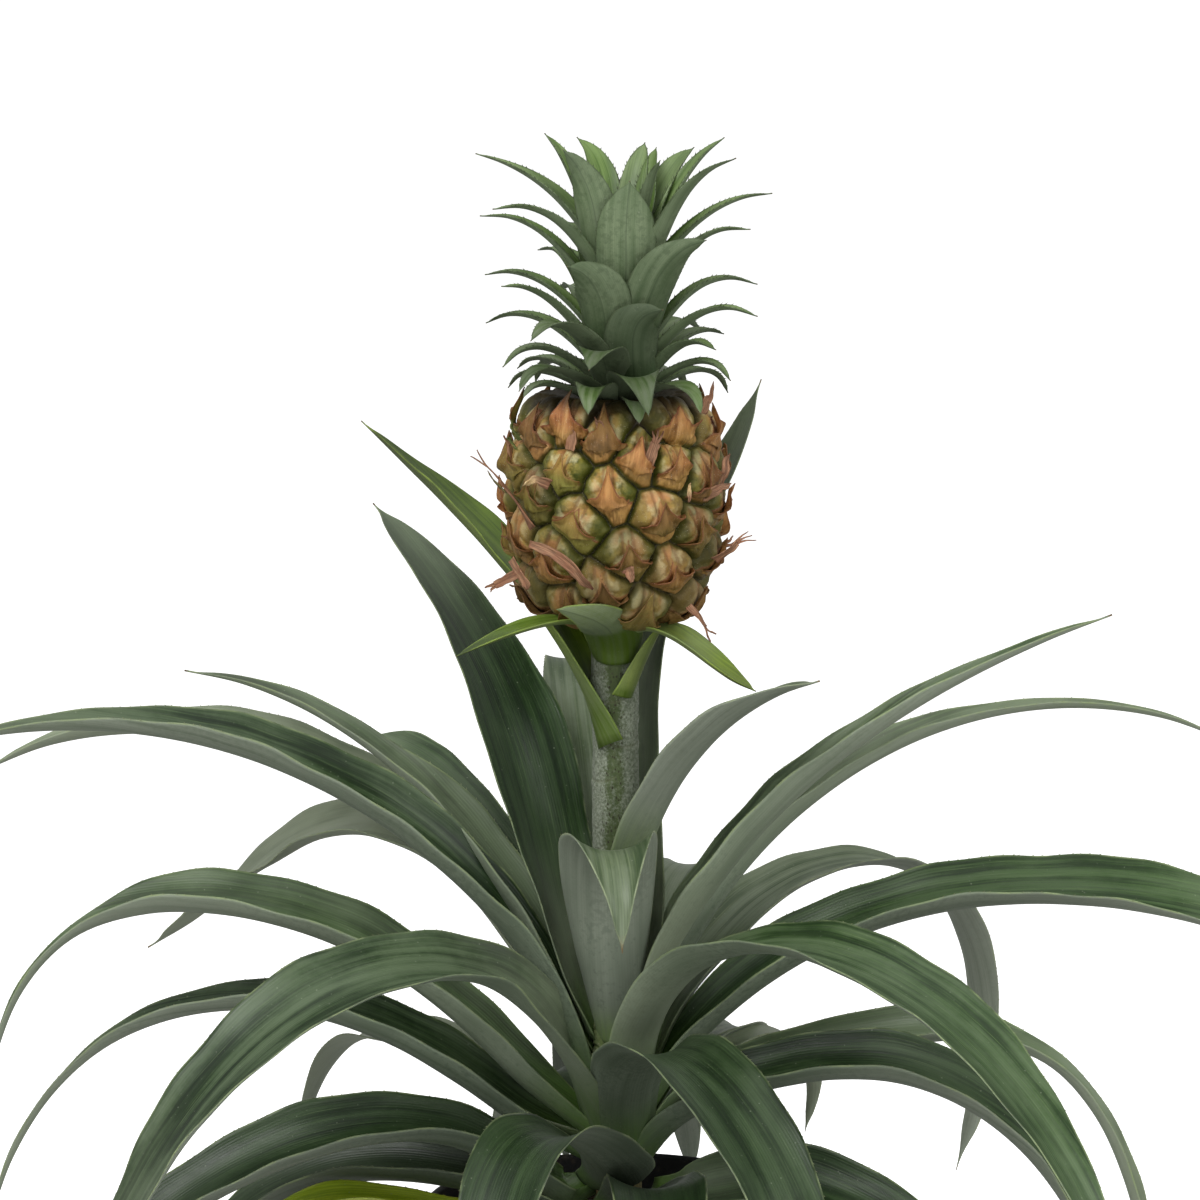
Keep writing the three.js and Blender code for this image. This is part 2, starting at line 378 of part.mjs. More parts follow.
      [-87.07, 39.03, 250.08, 16.62, 1.21, -0.244, -0.97, 0.003],
      [-112.85, 44.82, 260.5, 17.36, 1.18, -0.194, -0.981, -0.003],
      [-139.97, 49.39, 266.42, 16.45, 1.13, -0.139, -0.99, -0.003],
      [-167.56, 52.4, 267.38, 11.64, 1.09, -0.077, -0.997, 0.003],
      [-194.78, 53.53, 262.93, 6.49, 1.03, -0.007, -1, 0.018],
      [-220.77, 52.42, 252.63, 0.5, 0.95, 0.069, -0.997, 0.045],
    ]],
  ["leaf_back_left_low", 0x8a9686, [
      [-7.62, 5.46, 135.89, 8, 1.3, -0.539, -0.842, -0.002],
      [-20.82, 14.33, 138.78, 11.09, 0.98, -0.575, -0.818, -0.004],
      [-33.87, 23.83, 144.38, 13.03, 0.86, -0.603, -0.798, -0.002],
      [-46.89, 33.96, 150.77, 14.91, 0.74, -0.624, -0.781, 0],
      [-60.01, 44.69, 156.03, 16.52, 0.62, -0.641, -0.767, -0.003],
      [-73.13, 55.78, 158.42, 17.31, 0.52, -0.65, -0.76, -0.019],
      [-85.53, 66.39, 156.63, 14.6, 0.47, -0.644, -0.764, -0.028],
      [-96.4, 75.62, 149.52, 9.88, 0.45, -0.635, -0.772, -0.013],
      [-104.94, 82.67, 137.26, 5.86, 0.42, -0.622, -0.783, -0.003],
      [-110.4, 86.82, 121.27, 2.76, 0.4, -0.595, -0.804, 0.01],
      [-112, 87.39, 102.96, 0.5, 0.4, -0.529, -0.847, 0.049],
    ]],
  ["leaf_left_yellowing", 0x8d9a3a, [
      [-9.48, -1.1, 109.81, 8, 1.3, 0.154, -0.988, 0.001],
      [-21.32, -2.96, 107.61, 9.56, 1.35, 0.155, -0.988, 0],
      [-33.83, -4.92, 107.98, 10.76, 1.29, 0.155, -0.988, -0.001],
      [-46.76, -6.95, 110.04, 11.4, 1.26, 0.154, -0.988, -0.001],
      [-59.88, -8.97, 112.87, 12.04, 1.23, 0.151, -0.988, -0.001],
      [-72.94, -10.95, 115.58, 12.7, 1.2, 0.148, -0.989, -0],
      [-85.71, -12.83, 117.28, 13.4, 1.16, 0.143, -0.99, -0],
      [-97.95, -14.55, 117.06, 13.35, 1.1, 0.135, -0.991, -0],
      [-109.43, -16.06, 114.03, 11.31, 1.04, 0.126, -0.992, -0.002],
      [-119.9, -17.31, 107.29, 6.37, 0.99, 0.116, -0.993, -0.005],
      [-129.12, -18.25, 95.94, 0.5, 0.95, 0.106, -0.994, -0.01],
    ]],
  ["leaf_back_right_low", 0x93998f, [
      [5.48, 7.1, 132.09, 8, 1.3, -0.534, 0.837, 0.123],
      [11.45, 10.24, 144.95, 8.58, 1.24, -0.66, 0.749, 0.054],
      [18, 16.44, 154.33, 9.05, 1.15, -0.751, 0.66, 0.012],
      [24.76, 25.02, 160.44, 9.39, 1.04, -0.816, 0.578, -0.005],
      [31.36, 35.32, 163.5, 9.63, 0.88, -0.863, 0.506, -0.005],
      [37.44, 46.68, 163.73, 9.75, 0.71, -0.898, 0.439, 0.006],
      [42.64, 58.44, 161.34, 9.03, 0.61, -0.928, 0.373, 0.024],
      [46.57, 69.93, 156.56, 7.72, 0.56, -0.953, 0.3, 0.052],
      [48.87, 80.47, 149.6, 5.81, 0.53, -0.973, 0.211, 0.094],
      [49.18, 89.42, 140.67, 3.44, 0.51, -0.984, 0.092, 0.155],
      [47.13, 96.1, 130, 0.5, 0.5, -0.966, -0.085, 0.243],
    ]],
  ["leaf_back_right_inner", 0x97a093, [
      [1.02, 9.08, 140.05, 7, 1.3, -0.994, -0.02, -0.108],
      [0.85, 13.33, 150.02, 7.15, 1.23, -0.974, 0.223, -0.032],
      [2.09, 17.64, 162.8, 7.54, 1.14, -0.938, 0.347, 0.015],
      [4.48, 22.34, 176.96, 8.06, 1.02, -0.911, 0.41, 0.039],
      [7.73, 27.77, 191.05, 8.93, 0.87, -0.897, 0.439, 0.047],
      [11.59, 34.26, 203.65, 9.74, 0.73, -0.895, 0.443, 0.042],
      [15.77, 42.14, 213.31, 10.15, 0.63, -0.906, 0.422, 0.025],
      [20.01, 51.74, 218.59, 9.61, 0.57, -0.93, 0.367, 0.004],
      [24.01, 63.25, 218.15, 7.53, 0.54, -0.957, 0.292, 0.002],
      [27.03, 74.85, 211.56, 4.68, 0.51, -0.975, 0.221, 0.02],
      [28.07, 83.43, 199.02, 0.5, 0.5, -0.99, 0.127, 0.067],
    ]],
  ["leaf_back_right_small", 0x7d8d72, [
      [7.24, 5.34, 125.88, 8, 1.3, -0.537, 0.842, 0.051],
      [12.19, 8.35, 138.3, 7.98, 1.24, -0.601, 0.799, 0.016],
      [19.52, 14.1, 148.5, 7.92, 1.15, -0.641, 0.768, 0.001],
      [28.41, 21.88, 156.2, 7.83, 1.05, -0.672, 0.741, -0.005],
      [38.03, 30.98, 161.11, 7.68, 0.91, -0.7, 0.714, -0.006],
      [47.54, 40.71, 162.95, 7.36, 0.74, -0.73, 0.684, -0.001],
      [56.13, 50.36, 161.45, 6.79, 0.62, -0.764, 0.645, 0.014],
      [62.97, 59.21, 156.34, 5.88, 0.56, -0.802, 0.595, 0.044],
      [67.34, 66.5, 147.6, 4.54, 0.52, -0.835, 0.543, 0.089],
      [68.61, 71.39, 135.45, 2.73, 0.51, -0.867, 0.475, 0.148],
      [66.16, 73.05, 120.07, 0.5, 0.5, -0.919, 0.31, 0.242],
    ]],
  ["leaf_back_middle", 0x4f6846, [
      [-1.45, 8.31, 134.66, 10, 1.3, -0.99, -0.141, 0.011],
      [-2.87, 20.81, 151.9, 11.58, 1.09, -0.993, -0.121, 0.012],
      [-4.67, 37.29, 161.34, 12.86, 0.89, -0.994, -0.11, 0.006],
      [-6.72, 56.38, 164.13, 13.21, 0.72, -0.994, -0.106, -0],
      [-8.88, 76.67, 161.44, 12.92, 0.62, -0.994, -0.107, -0.005],
      [-11.02, 96.77, 154.42, 11.87, 0.58, -0.994, -0.11, -0.008],
      [-13.01, 115.38, 144.16, 10.45, 0.56, -0.993, -0.114, -0.011],
      [-14.81, 131.82, 131.21, 8.67, 0.54, -0.992, -0.122, -0.012],
      [-16.41, 145.64, 115.96, 6.59, 0.52, -0.991, -0.135, -0.011],
      [-17.8, 156.39, 98.76, 4.29, 0.51, -0.988, -0.153, -0.007],
      [-18.96, 163.63, 79.99, 0.5, 0.5, -0.983, -0.181, 0.003],
    ]],
  ["leaf_back_right_drooping", 0x4f6846, [
      [1.76, 8.48, 122.62, 10, 1.3, -0.983, 0.18, -0.019],
      [3.76, 21.19, 137.11, 11.41, 1.12, -0.985, 0.171, -0.015],
      [6.28, 36.49, 145.71, 12.41, 0.94, -0.986, 0.168, -0.008],
      [9.17, 53.54, 149.08, 13.05, 0.77, -0.986, 0.169, -0.001],
      [12.29, 71.53, 147.87, 12.81, 0.65, -0.985, 0.173, 0.004],
      [15.48, 89.62, 142.76, 12.14, 0.59, -0.984, 0.178, 0.007],
      [18.6, 106.99, 134.41, 10.78, 0.56, -0.983, 0.184, 0.01],
      [21.51, 122.83, 123.46, 9.03, 0.54, -0.981, 0.192, 0.011],
      [24.1, 136.46, 110.42, 6.94, 0.52, -0.979, 0.203, 0.01],
      [26.28, 147.25, 95.71, 4.55, 0.51, -0.976, 0.219, 0.007],
      [27.96, 154.56, 79.77, 0.5, 0.5, -0.969, 0.247, -0.002],
    ]],
  ["leaf_back_left_drooping", 0x4f6846, [
      [-4.49, 7.6, 118.58, 10, 1.3, -0.978, -0.175, 0.113],
      [-5.59, 19.37, 131.39, 11.32, 1.13, -0.975, -0.21, 0.071],
      [-8.44, 33.32, 139.3, 12.28, 0.97, -0.969, -0.246, 0.034],
      [-12.59, 48.77, 142.86, 13, 0.8, -0.96, -0.28, 0.008],
      [-17.6, 65.03, 142.58, 12.88, 0.67, -0.952, -0.307, -0.009],
      [-23.02, 81.42, 139, 12.27, 0.6, -0.945, -0.326, -0.02],
      [-28.43, 97.26, 132.65, 11, 0.57, -0.941, -0.336, -0.029],
      [-33.39, 111.88, 124.04, 9.28, 0.54, -0.939, -0.342, -0.038],
      [-37.65, 124.7, 113.4, 7.1, 0.52, -0.934, -0.353, -0.046],
      [-41.08, 135.19, 100.77, 4.51, 0.51, -0.925, -0.375, -0.05],
      [-43.55, 142.83, 86.21, 0.5, 0.5, -0.91, -0.413, -0.047],
    ]],
];
const BRACTS = [
  ["bract_front", 0x6f8a5a, [
      [-0.6, -8.5, 301.79, 9.6, 1.35, 1, -0.001, 0.023],
      [-0.79, -9.79, 306.55, 10, 0.89, 0.998, -0.016, 0.055],
      [-1.18, -12.81, 310.33, 9.95, 0.56, 0.992, -0.036, 0.12],
      [-1.91, -16.99, 313.37, 9.56, 0.49, 0.973, -0.065, 0.22],
      [-3.09, -21.74, 315.94, 8.99, 0.47, 0.932, -0.105, 0.347],
      [-4.84, -26.48, 318.27, 8.1, 0.45, 0.862, -0.153, 0.483],
      [-7.28, -30.75, 320.45, 6.72, 0.43, 0.749, -0.207, 0.63],
      [-10.57, -34.27, 322.41, 4.87, 0.41, 0.585, -0.263, 0.767],
      [-14.83, -36.72, 324.06, 2.76, 0.4, 0.384, -0.31, 0.87],
      [-20.2, -37.8, 325.32, 0.5, 0.4, 0.177, -0.341, 0.923],
    ]],
  ["bract_left_long", 0x465f34, [
      [-5.43, -8.17, 274.04, 9.2, 1.15, 0.455, -0.865, 0.211],
      [-11.83, -2.27, 292.91, 10.72, 0.87, -0.249, -0.899, 0.359],
      [-20.49, 8.44, 308.46, 12.93, 0.77, -0.508, -0.799, 0.323],
      [-31.26, 20.62, 322.21, 15.44, 0.72, -0.506, -0.817, 0.278],
      [-43.9, 31.85, 335.33, 16.66, 0.67, -0.448, -0.86, 0.245],
      [-57.83, 41.99, 348.16, 14.97, 0.64, -0.388, -0.891, 0.236],
      [-72.47, 51.18, 360.94, 8.25, 0.61, -0.326, -0.912, 0.248],
      [-87.21, 59.59, 373.87, 0.5, 0.6, -0.283, -0.925, 0.255],
    ]],
  ["bract_left_thin", 0x7da03c, [
      [-3.95, -5.97, 308.68, 4, 1, 0.817, -0.55, -0.175],
      [-8.16, -12.98, 314.3, 4.62, 0.8, 0.769, -0.631, -0.104],
      [-13.76, -19.43, 317.45, 5.47, 0.64, 0.697, -0.716, -0.043],
      [-20.46, -25.28, 318.54, 6.5, 0.6, 0.612, -0.791, -0.003],
      [-27.96, -30.49, 317.99, 6.61, 0.6, 0.527, -0.849, 0.016],
      [-35.98, -35.01, 316.21, 5.76, 0.6, 0.45, -0.893, 0.022],
      [-44.21, -38.82, 313.61, 3.49, 0.6, 0.378, -0.925, 0.021],
      [-52.37, -41.87, 310.6, 0.5, 0.6, 0.309, -0.951, 0.015],
    ]],
  ["bract_right", 0x86b03a, [
      [2.43, -5.94, 308.72, 4, 1, 0.722, 0.677, 0.146],
      [7.37, -11.72, 313.63, 5.01, 0.79, 0.68, 0.73, 0.063],
      [12.91, -16.3, 314.54, 6.74, 0.63, 0.571, 0.821, -0.014],
      [18.91, -19.89, 312.51, 9.25, 0.6, 0.442, 0.896, -0.037],
      [25.24, -22.72, 308.65, 9.67, 0.6, 0.348, 0.937, -0.032],
      [31.74, -25.04, 304.01, 8.62, 0.6, 0.295, 0.955, -0.023],
      [38.29, -27.07, 299.69, 5.57, 0.6, 0.279, 0.96, -0.017],
      [44.75, -29.05, 296.76, 0.5, 0.6, 0.3, 0.954, -0.011],
    ]],
  ["bract_right_small", 0x8fae58, [
      [3.87, -8.27, 290.69, 8.2, 1.2, 0.322, 0.937, -0.137],
      [5.21, -8.27, 294.5, 6.99, 0.97, 0.38, 0.918, -0.113],
      [6.6, -8.46, 298.31, 5.95, 0.84, 0.426, 0.9, -0.093],
      [8.06, -8.83, 302.09, 5.06, 0.77, 0.462, 0.883, -0.076],
      [9.61, -9.37, 305.81, 4.27, 0.71, 0.49, 0.87, -0.064],
      [11.27, -10.09, 309.45, 3.47, 0.66, 0.509, 0.859, -0.054],
      [13.05, -10.96, 312.99, 2.31, 0.62, 0.522, 0.852, -0.046],
      [14.99, -11.98, 316.39, 0.5, 0.6, 0.529, 0.848, -0.041],
    ]],
];
const CROWN_INNER = [
  [
    [-0.09, -1.54, 417.19, 4.68, 1.05, 0.87, -0.261, 0.417],
    [-2.55, -3.58, 422.47, 5.57, 1.05, 0.933, -0.272, 0.237],
    [-4.19, -5.37, 428.41, 6.37, 1.02, 0.954, -0.268, 0.132],
    [-5.29, -6.87, 434.79, 7.01, 0.97, 0.962, -0.259, 0.086],
    [-6.18, -8.02, 441.42, 7.33, 0.92, 0.964, -0.25, 0.092],
    [-7.16, -8.77, 448.08, 7.49, 0.87, 0.959, -0.243, 0.144],
    [-8.53, -9.05, 454.57, 7.2, 0.8, 0.94, -0.236, 0.247],
    [-10.61, -8.81, 460.68, 5.64, 0.73, 0.886, -0.228, 0.403],
    [-13.69, -8, 466.21, 3.14, 0.66, 0.772, -0.216, 0.598],
    [-18.09, -6.56, 470.95, 0.5, 0.6, 0.585, -0.196, 0.787],
  ],
  [
    [0.75, 0.92, 428.96, 3.4, 1.1, -0.692, -0.717, -0.079],
    [-1.9, 3.61, 435.1, 4.24, 1.1, -0.835, -0.55, -0.02],
    [-3.31, 6.32, 441.76, 5.56, 1.01, -0.909, -0.416, 0.033],
    [-4.1, 9.08, 448.66, 6.47, 0.92, -0.93, -0.362, 0.054],
    [-4.91, 11.97, 455.52, 6.31, 0.87, -0.916, -0.399, 0.039],
    [-6.34, 15.05, 462.03, 5.66, 0.84, -0.858, -0.514, -0.005],
    [-9.02, 18.38, 467.93, 3.93, 0.81, -0.743, -0.667, -0.054],
    [-13.56, 22.01, 472.91, 0.5, 0.8, -0.593, -0.802, -0.073],
  ],
  [
    [2.23, 1, 428.97, 3.4, 1.1, -0.99, 0.14, -0.012],
    [2.6, 3.43, 435.16, 4.18, 1.1, -0.983, 0.182, 0.003],
    [3.1, 5.52, 441.53, 4.88, 1.03, -0.974, 0.224, 0.019],
    [3.78, 7.51, 447.94, 5.4, 0.94, -0.964, 0.263, 0.034],
    [4.67, 9.62, 454.26, 5.42, 0.89, -0.954, 0.296, 0.046],
    [5.79, 12.09, 460.38, 4.73, 0.85, -0.946, 0.321, 0.051],
    [7.18, 15.15, 466.16, 3.37, 0.82, -0.94, 0.338, 0.051],
    [8.87, 19.04, 471.48, 0.5, 0.8, -0.937, 0.345, 0.045],
  ],
  [
    [3.35, 0.61, 429.05, 3.4, 1.1, -0.592, 0.803, 0.071],
    [5.87, 2.25, 434.63, 4.07, 1.1, -0.678, 0.734, 0.044],
    [7.51, 3.72, 440.67, 4.46, 1.05, -0.759, 0.651, 0.004],
    [8.54, 5.24, 446.93, 4.73, 0.96, -0.823, 0.567, -0.036],
    [9.26, 7.01, 453.22, 4.76, 0.89, -0.864, 0.499, -0.065],
    [9.98, 9.26, 459.31, 3.86, 0.85, -0.886, 0.458, -0.077],
    [10.97, 12.18, 464.99, 2.49, 0.82, -0.893, 0.445, -0.071],
    [12.54, 16, 470.05, 0.5, 0.8, -0.888, 0.457, -0.053],
  ],
  [
    [3.33, 0.62, 427.04, 3.4, 1.1, -0.556, 0.831, 0.035],
    [6.12, 2.51, 433.59, 4.28, 1.09, -0.627, 0.779, 0.007],
    [8.57, 4.65, 440.33, 5.57, 1.01, -0.673, 0.739, -0.014],
    [10.94, 7.07, 447.05, 6.47, 0.92, -0.696, 0.718, -0.023],
    [13.49, 9.78, 453.55, 6.42, 0.87, -0.697, 0.716, -0.023],
    [16.52, 12.82, 459.64, 6.12, 0.84, -0.68, 0.733, -0.014],
    [20.29, 16.22, 465.11, 4.55, 0.81, -0.646, 0.763, -0.001],
    [25.06, 20, 469.75, 0.5, 0.8, -0.6, 0.8, 0.009],
  ],
  [
    [1.44, -2.48, 413.64, 5.52, 1.05, 0.985, 0.009, -0.172],
    [1.95, -6.88, 417.51, 6.25, 1.05, 0.996, 0.005, -0.087],
    [2.24, -10.39, 422.07, 7.81, 1.03, 0.999, 0.002, -0.04],
    [2.38, -13.05, 427.16, 9.73, 0.97, 1, 0.001, -0.014],
    [2.42, -14.9, 432.66, 10.82, 0.92, 1, 0, -0.004],
    [2.44, -15.99, 438.42, 11, 0.87, 1, 0, -0.006],
    [2.51, -16.35, 444.31, 10.8, 0.82, 1, 0.002, -0.019],
    [2.69, -16.04, 450.18, 9.45, 0.76, 0.999, 0.004, -0.045],
    [3.05, -15.09, 455.91, 5.91, 0.67, 0.996, 0.008, -0.086],
    [3.66, -13.55, 461.35, 0.5, 0.6, 0.989, 0.015, -0.148],
  ],
  [
    [3.09, -0.38, 429.34, 2.98, 1.1, 0.264, 0.964, -0.028],
    [5.28, -0.96, 434.89, 3.56, 1.1, 0.331, 0.943, -0.004],
    [6.87, -1.68, 440.66, 3.9, 1.05, 0.419, 0.908, 0.032],
    [8.07, -2.67, 446.52, 4.14, 0.96, 0.516, 0.853, 0.076],
    [9.11, -4.08, 452.31, 4.16, 0.89, 0.609, 0.785, 0.116],
    [10.22, -6.02, 457.9, 3.33, 0.85, 0.687, 0.712, 0.143],
    [11.6, -8.63, 463.14, 2.11, 0.82, 0.746, 0.649, 0.15],
    [13.48, -12.05, 467.9, 0.5, 0.8, 0.785, 0.605, 0.136],
  ],
  [
    [1.57, 2.01, 412.13, 5.1, 1.1, -0.983, 0.183, 0.002],
    [2.43, 6.18, 418.03, 6.2, 1.1, -0.98, 0.2, 0.009],
    [3.07, 9.04, 424.73, 7.89, 0.99, -0.981, 0.193, 0.007],
    [3.45, 11.12, 431.91, 8.99, 0.86, -0.988, 0.154, -0.008],
    [3.52, 12.94, 439.27, 8.74, 0.8, -0.996, 0.086, -0.035],
    [3.24, 15.03, 446.5, 7.96, 0.76, -0.998, -0.003, -0.066],
    [2.56, 17.93, 453.3, 5.03, 0.72, -0.992, -0.094, -0.087],
    [1.43, 22.15, 459.35, 0.5, 0.7, -0.982, -0.17, -0.087],
  ],
  [
    [-0.52, 2.3, 404.59, 5.1, 1.1, -0.889, -0.458, -0.023],
    [-2.73, 6.84, 409.44, 6.07, 1.1, -0.923, -0.385, -0.013],
    [-4.14, 10.26, 415.8, 7.55, 0.99, -0.933, -0.361, -0.007],
    [-5.33, 12.96, 422.95, 8.5, 0.85, -0.916, -0.401, -0.023],
    [-6.86, 15.32, 430.17, 8.32, 0.79, -0.861, -0.505, -0.064],
    [-9.29, 17.74, 436.71, 7.61, 0.75, -0.754, -0.648, -0.108],
    [-13.19, 20.62, 441.85, 4.6, 0.72, -0.616, -0.781, -0.107],
    [-19.12, 24.33, 444.85, 0.5, 0.7, -0.52, -0.853, -0.042],
  ],
  [
    [1.26, 2.74, 398.82, 5.52, 1.1, -0.91, 0.413, 0.007],
    [3.46, 8.05, 402.15, 6.32, 1.1, -0.938, 0.346, 0.001],
    [4.83, 12.11, 407.46, 7.69, 1.02, -0.95, 0.311, -0.01],
    [5.87, 15.45, 413.76, 8.96, 0.87, -0.946, 0.325, -0.006],
    [7.08, 18.59, 420.09, 8.68, 0.8, -0.921, 0.39, 0.016],
    [8.97, 22.04, 425.48, 7.6, 0.75, -0.866, 0.498, 0.042],
    [12.04, 26.33, 428.94, 4.51, 0.72, -0.793, 0.608, 0.032],
    [16.8, 31.98, 429.5, 0.5, 0.7, -0.749, 0.662, -0.016],
  ],
  [
    [-0.69, -2.6, 399.65, 5.95, 1.05, 0.763, -0.114, 0.636],
    [-2.37, -7.21, 402.04, 6.6, 1.05, 0.972, -0.165, 0.168],
    [-3.27, -11.01, 405.58, 7.51, 1.04, 0.984, -0.18, -0.001],
    [-3.74, -14.12, 409.93, 8.69, 0.98, 0.98, -0.194, -0.04],
    [-4.11, -16.63, 414.77, 9.53, 0.92, 0.977, -0.211, -0.008],
    [-4.74, -18.65, 419.77, 9.86, 0.86, 0.969, -0.233, 0.085],
    [-5.97, -20.27, 424.59, 9.73, 0.79, 0.934, -0.258, 0.248],
    [-8.13, -21.61, 428.92, 8.1, 0.73, 0.828, -0.278, 0.487],
    [-11.58, -22.77, 432.42, 4.4, 0.66, 0.602, -0.271, 0.751],
    [-16.65, -23.85, 434.76, 0.5, 0.6, 0.296, -0.228, 0.928],
  ],
  [
    [1.59, -2.44, 400.68, 5.52, 1.05, 0.849, 0.127, -0.513],
    [3.82, -7.03, 404.36, 6.31, 1.05, 0.949, 0.163, -0.268],
    [5.55, -10.92, 409.11, 7.59, 1.02, 0.968, 0.183, -0.17],
    [7.08, -14.15, 414.58, 8.6, 0.96, 0.967, 0.201, -0.154],
    [8.69, -16.8, 420.42, 8.69, 0.91, 0.956, 0.22, -0.195],
    [10.68, -18.93, 426.29, 8.58, 0.85, 0.927, 0.24, -0.288],
    [13.35, -20.6, 431.85, 7.88, 0.79, 0.862, 0.259, -0.435],
    [16.99, -21.87, 436.74, 6.09, 0.73, 0.731, 0.268, -0.628],
    [21.89, -22.82, 440.62, 3.22, 0.66, 0.511, 0.254, -0.821],
    [28.35, -23.49, 443.14, 0.5, 0.6, 0.24, 0.214, -0.947],
  ],
  [
    [1.07, -3.63, 388.19, 6.38, 1.05, 0.078, 0.004, -0.997],
    [3.9, -8.21, 389.47, 6.87, 1.05, 0.807, 0.061, -0.588],
    [5.09, -12.03, 392.43, 7.52, 1.05, 0.994, 0.066, -0.089],
    [5.2, -15.21, 396.61, 8.56, 1.02, 0.994, 0.059, 0.09],
    [4.78, -17.82, 401.54, 9.46, 0.95, 0.991, 0.058, 0.122],
    [4.4, -19.99, 406.74, 9.75, 0.89, 0.996, 0.069, 0.06],
    [4.62, -21.79, 411.75, 9.61, 0.82, 0.989, 0.101, -0.11],
    [5.98, -23.35, 416.1, 8.15, 0.74, 0.889, 0.162, -0.429],
    [9.07, -24.74, 419.32, 4.06, 0.66, 0.558, 0.23, -0.797],
    [14.42, -26.08, 420.94, 0.5, 0.6, 0.146, 0.254, -0.956],
  ],
  [
    [-0.84, 3.51, 385.32, 5.1, 1.1, -0.997, 0.074, 0.021],
    [-0.61, 9.66, 388.78, 5.84, 1.1, -0.999, -0.037, 0.03],
    [-0.97, 14.96, 394.51, 7.57, 1.01, -0.99, -0.137, 0.01],
    [-1.86, 19.85, 401.17, 9, 0.85, -0.976, -0.216, -0.012],
    [-3.26, 24.76, 407.42, 8.55, 0.79, -0.96, -0.28, -0.027],
    [-5.12, 30.12, 411.89, 7.16, 0.74, -0.944, -0.33, -0.024],
    [-7.41, 36.37, 413.26, 3.89, 0.71, -0.94, -0.341, 0.005],
    [-10.07, 43.92, 410.15, 0.5, 0.7, -0.951, -0.307, 0.025],
  ],
  [
    [-0.1, 0.05, 429.07, 3.4, 1.1, -0.348, -0.938, 0.002],
    [-4.11, 1.84, 435.23, 4.17, 1.1, -0.429, -0.903, 0.029],
    [-7.37, 3.86, 441.9, 5.12, 1.01, -0.492, -0.869, 0.054],
    [-10.22, 6.09, 448.83, 5.49, 0.93, -0.534, -0.843, 0.071],
    [-12.98, 8.53, 455.79, 5.25, 0.89, -0.552, -0.83, 0.077],
    [-16, 11.15, 462.55, 4.63, 0.85, -0.549, -0.833, 0.071],
    [-19.61, 13.94, 468.88, 2.94, 0.82, -0.526, -0.849, 0.056],
    [-24.13, 16.9, 474.54, 0.5, 0.8, -0.484, -0.874, 0.035],
  ],
  [
    [3.74, -0.07, 423.19, 3.4, 1.1, -0.13, 0.991, 0.042],
    [7.64, 0.29, 430.82, 4.29, 1.09, -0.187, 0.982, 0.025],
    [11.19, 0.95, 438.83, 5.17, 1.01, -0.247, 0.969, 0.004],
    [14.72, 2.02, 446.91, 5.49, 0.93, -0.305, 0.952, -0.016],
    [18.53, 3.57, 454.75, 5.09, 0.89, -0.358, 0.933, -0.033],
    [22.93, 5.71, 462, 4.33, 0.86, -0.405, 0.914, -0.043],
    [28.25, 8.51, 468.37, 2.75, 0.82, -0.441, 0.897, -0.043],
    [34.8, 12.07, 473.52, 0.5, 0.8, -0.464, 0.885, -0.034],
  ],
  [
    [2.08, 0.87, 391.92, 3.4, 1.1, -0.302, 0.953, 0.037],
    [6.82, 2.65, 395.39, 3.93, 1.1, -0.427, 0.904, 0.016],
    [11.35, 5.05, 399.29, 4.25, 1.05, -0.512, 0.859, -0.003],
    [15.79, 7.95, 403.11, 4.47, 0.94, -0.565, 0.825, -0.014],
    [20.28, 11.22, 406.36, 4.4, 0.88, -0.594, 0.804, -0.016],
    [24.93, 14.74, 408.56, 3.82, 0.84, -0.6, 0.8, -0.009],
    [29.86, 18.36, 409.2, 2.65, 0.81, -0.58, 0.815, 0.001],
    [35.2, 21.98, 407.79, 0.5, 0.8, -0.537, 0.844, 0.005],
  ],
  [
    [1.72, -1.85, 388.72, 3.4, 1.1, 0.6, 0.8, 0.004],
    [5.93, -5.05, 391.89, 3.91, 1.1, 0.606, 0.795, 0.008],
    [9.83, -8.11, 396.24, 4.22, 1.07, 0.613, 0.79, 0.011],
    [13.61, -11.14, 400.96, 4.44, 0.96, 0.619, 0.785, 0.013],
    [17.47, -14.28, 405.29, 4.47, 0.89, 0.626, 0.78, 0.013],
    [21.59, -17.67, 408.42, 4.09, 0.85, 0.633, 0.774, 0.009],
    [26.19, -21.45, 409.56, 3.06, 0.82, 0.634, 0.773, -0],
    [31.43, -25.73, 407.94, 0.5, 0.8, 0.628, 0.778, -0.009],
  ],
  [
    [1.81, 1.21, 384.91, 3.4, 1.1, -0.444, 0.896, -0.004],
    [6.46, 3.44, 388.19, 3.92, 1.1, -0.427, 0.904, -0.001],
    [11.89, 6.02, 391.57, 4.27, 1.04, -0.431, 0.902, -0.001],
    [17.71, 8.88, 394.43, 4.49, 0.92, -0.451, 0.892, -0.003],
    [23.51, 11.96, 396.15, 4.15, 0.87, -0.49, 0.872, -0.003],
    [28.87, 15.21, 396.09, 3.15, 0.83, -0.551, 0.834, 0.009],
    [33.38, 18.58, 393.62, 1.96, 0.81, -0.625, 0.779, 0.047],
    [36.63, 22, 388.11, 0.5, 0.8, -0.688, 0.718, 0.104],
  ],
  [
    [-0.57, -1.15, 415.42, 3.82, 1.1, 0.435, -0.896, -0.089],
    [-3.91, -3.33, 422.77, 4.78, 1.09, 0.393, -0.916, -0.076],
    [-7.7, -5.48, 430.65, 5.55, 1, 0.366, -0.928, -0.064],
    [-12.15, -7.66, 438.31, 5.78, 0.93, 0.35, -0.935, -0.053],
    [-17.46, -9.95, 445.06, 5.34, 0.88, 0.34, -0.94, -0.041],
    [-23.83, -12.41, 450.16, 4.35, 0.84, 0.333, -0.943, -0.025],
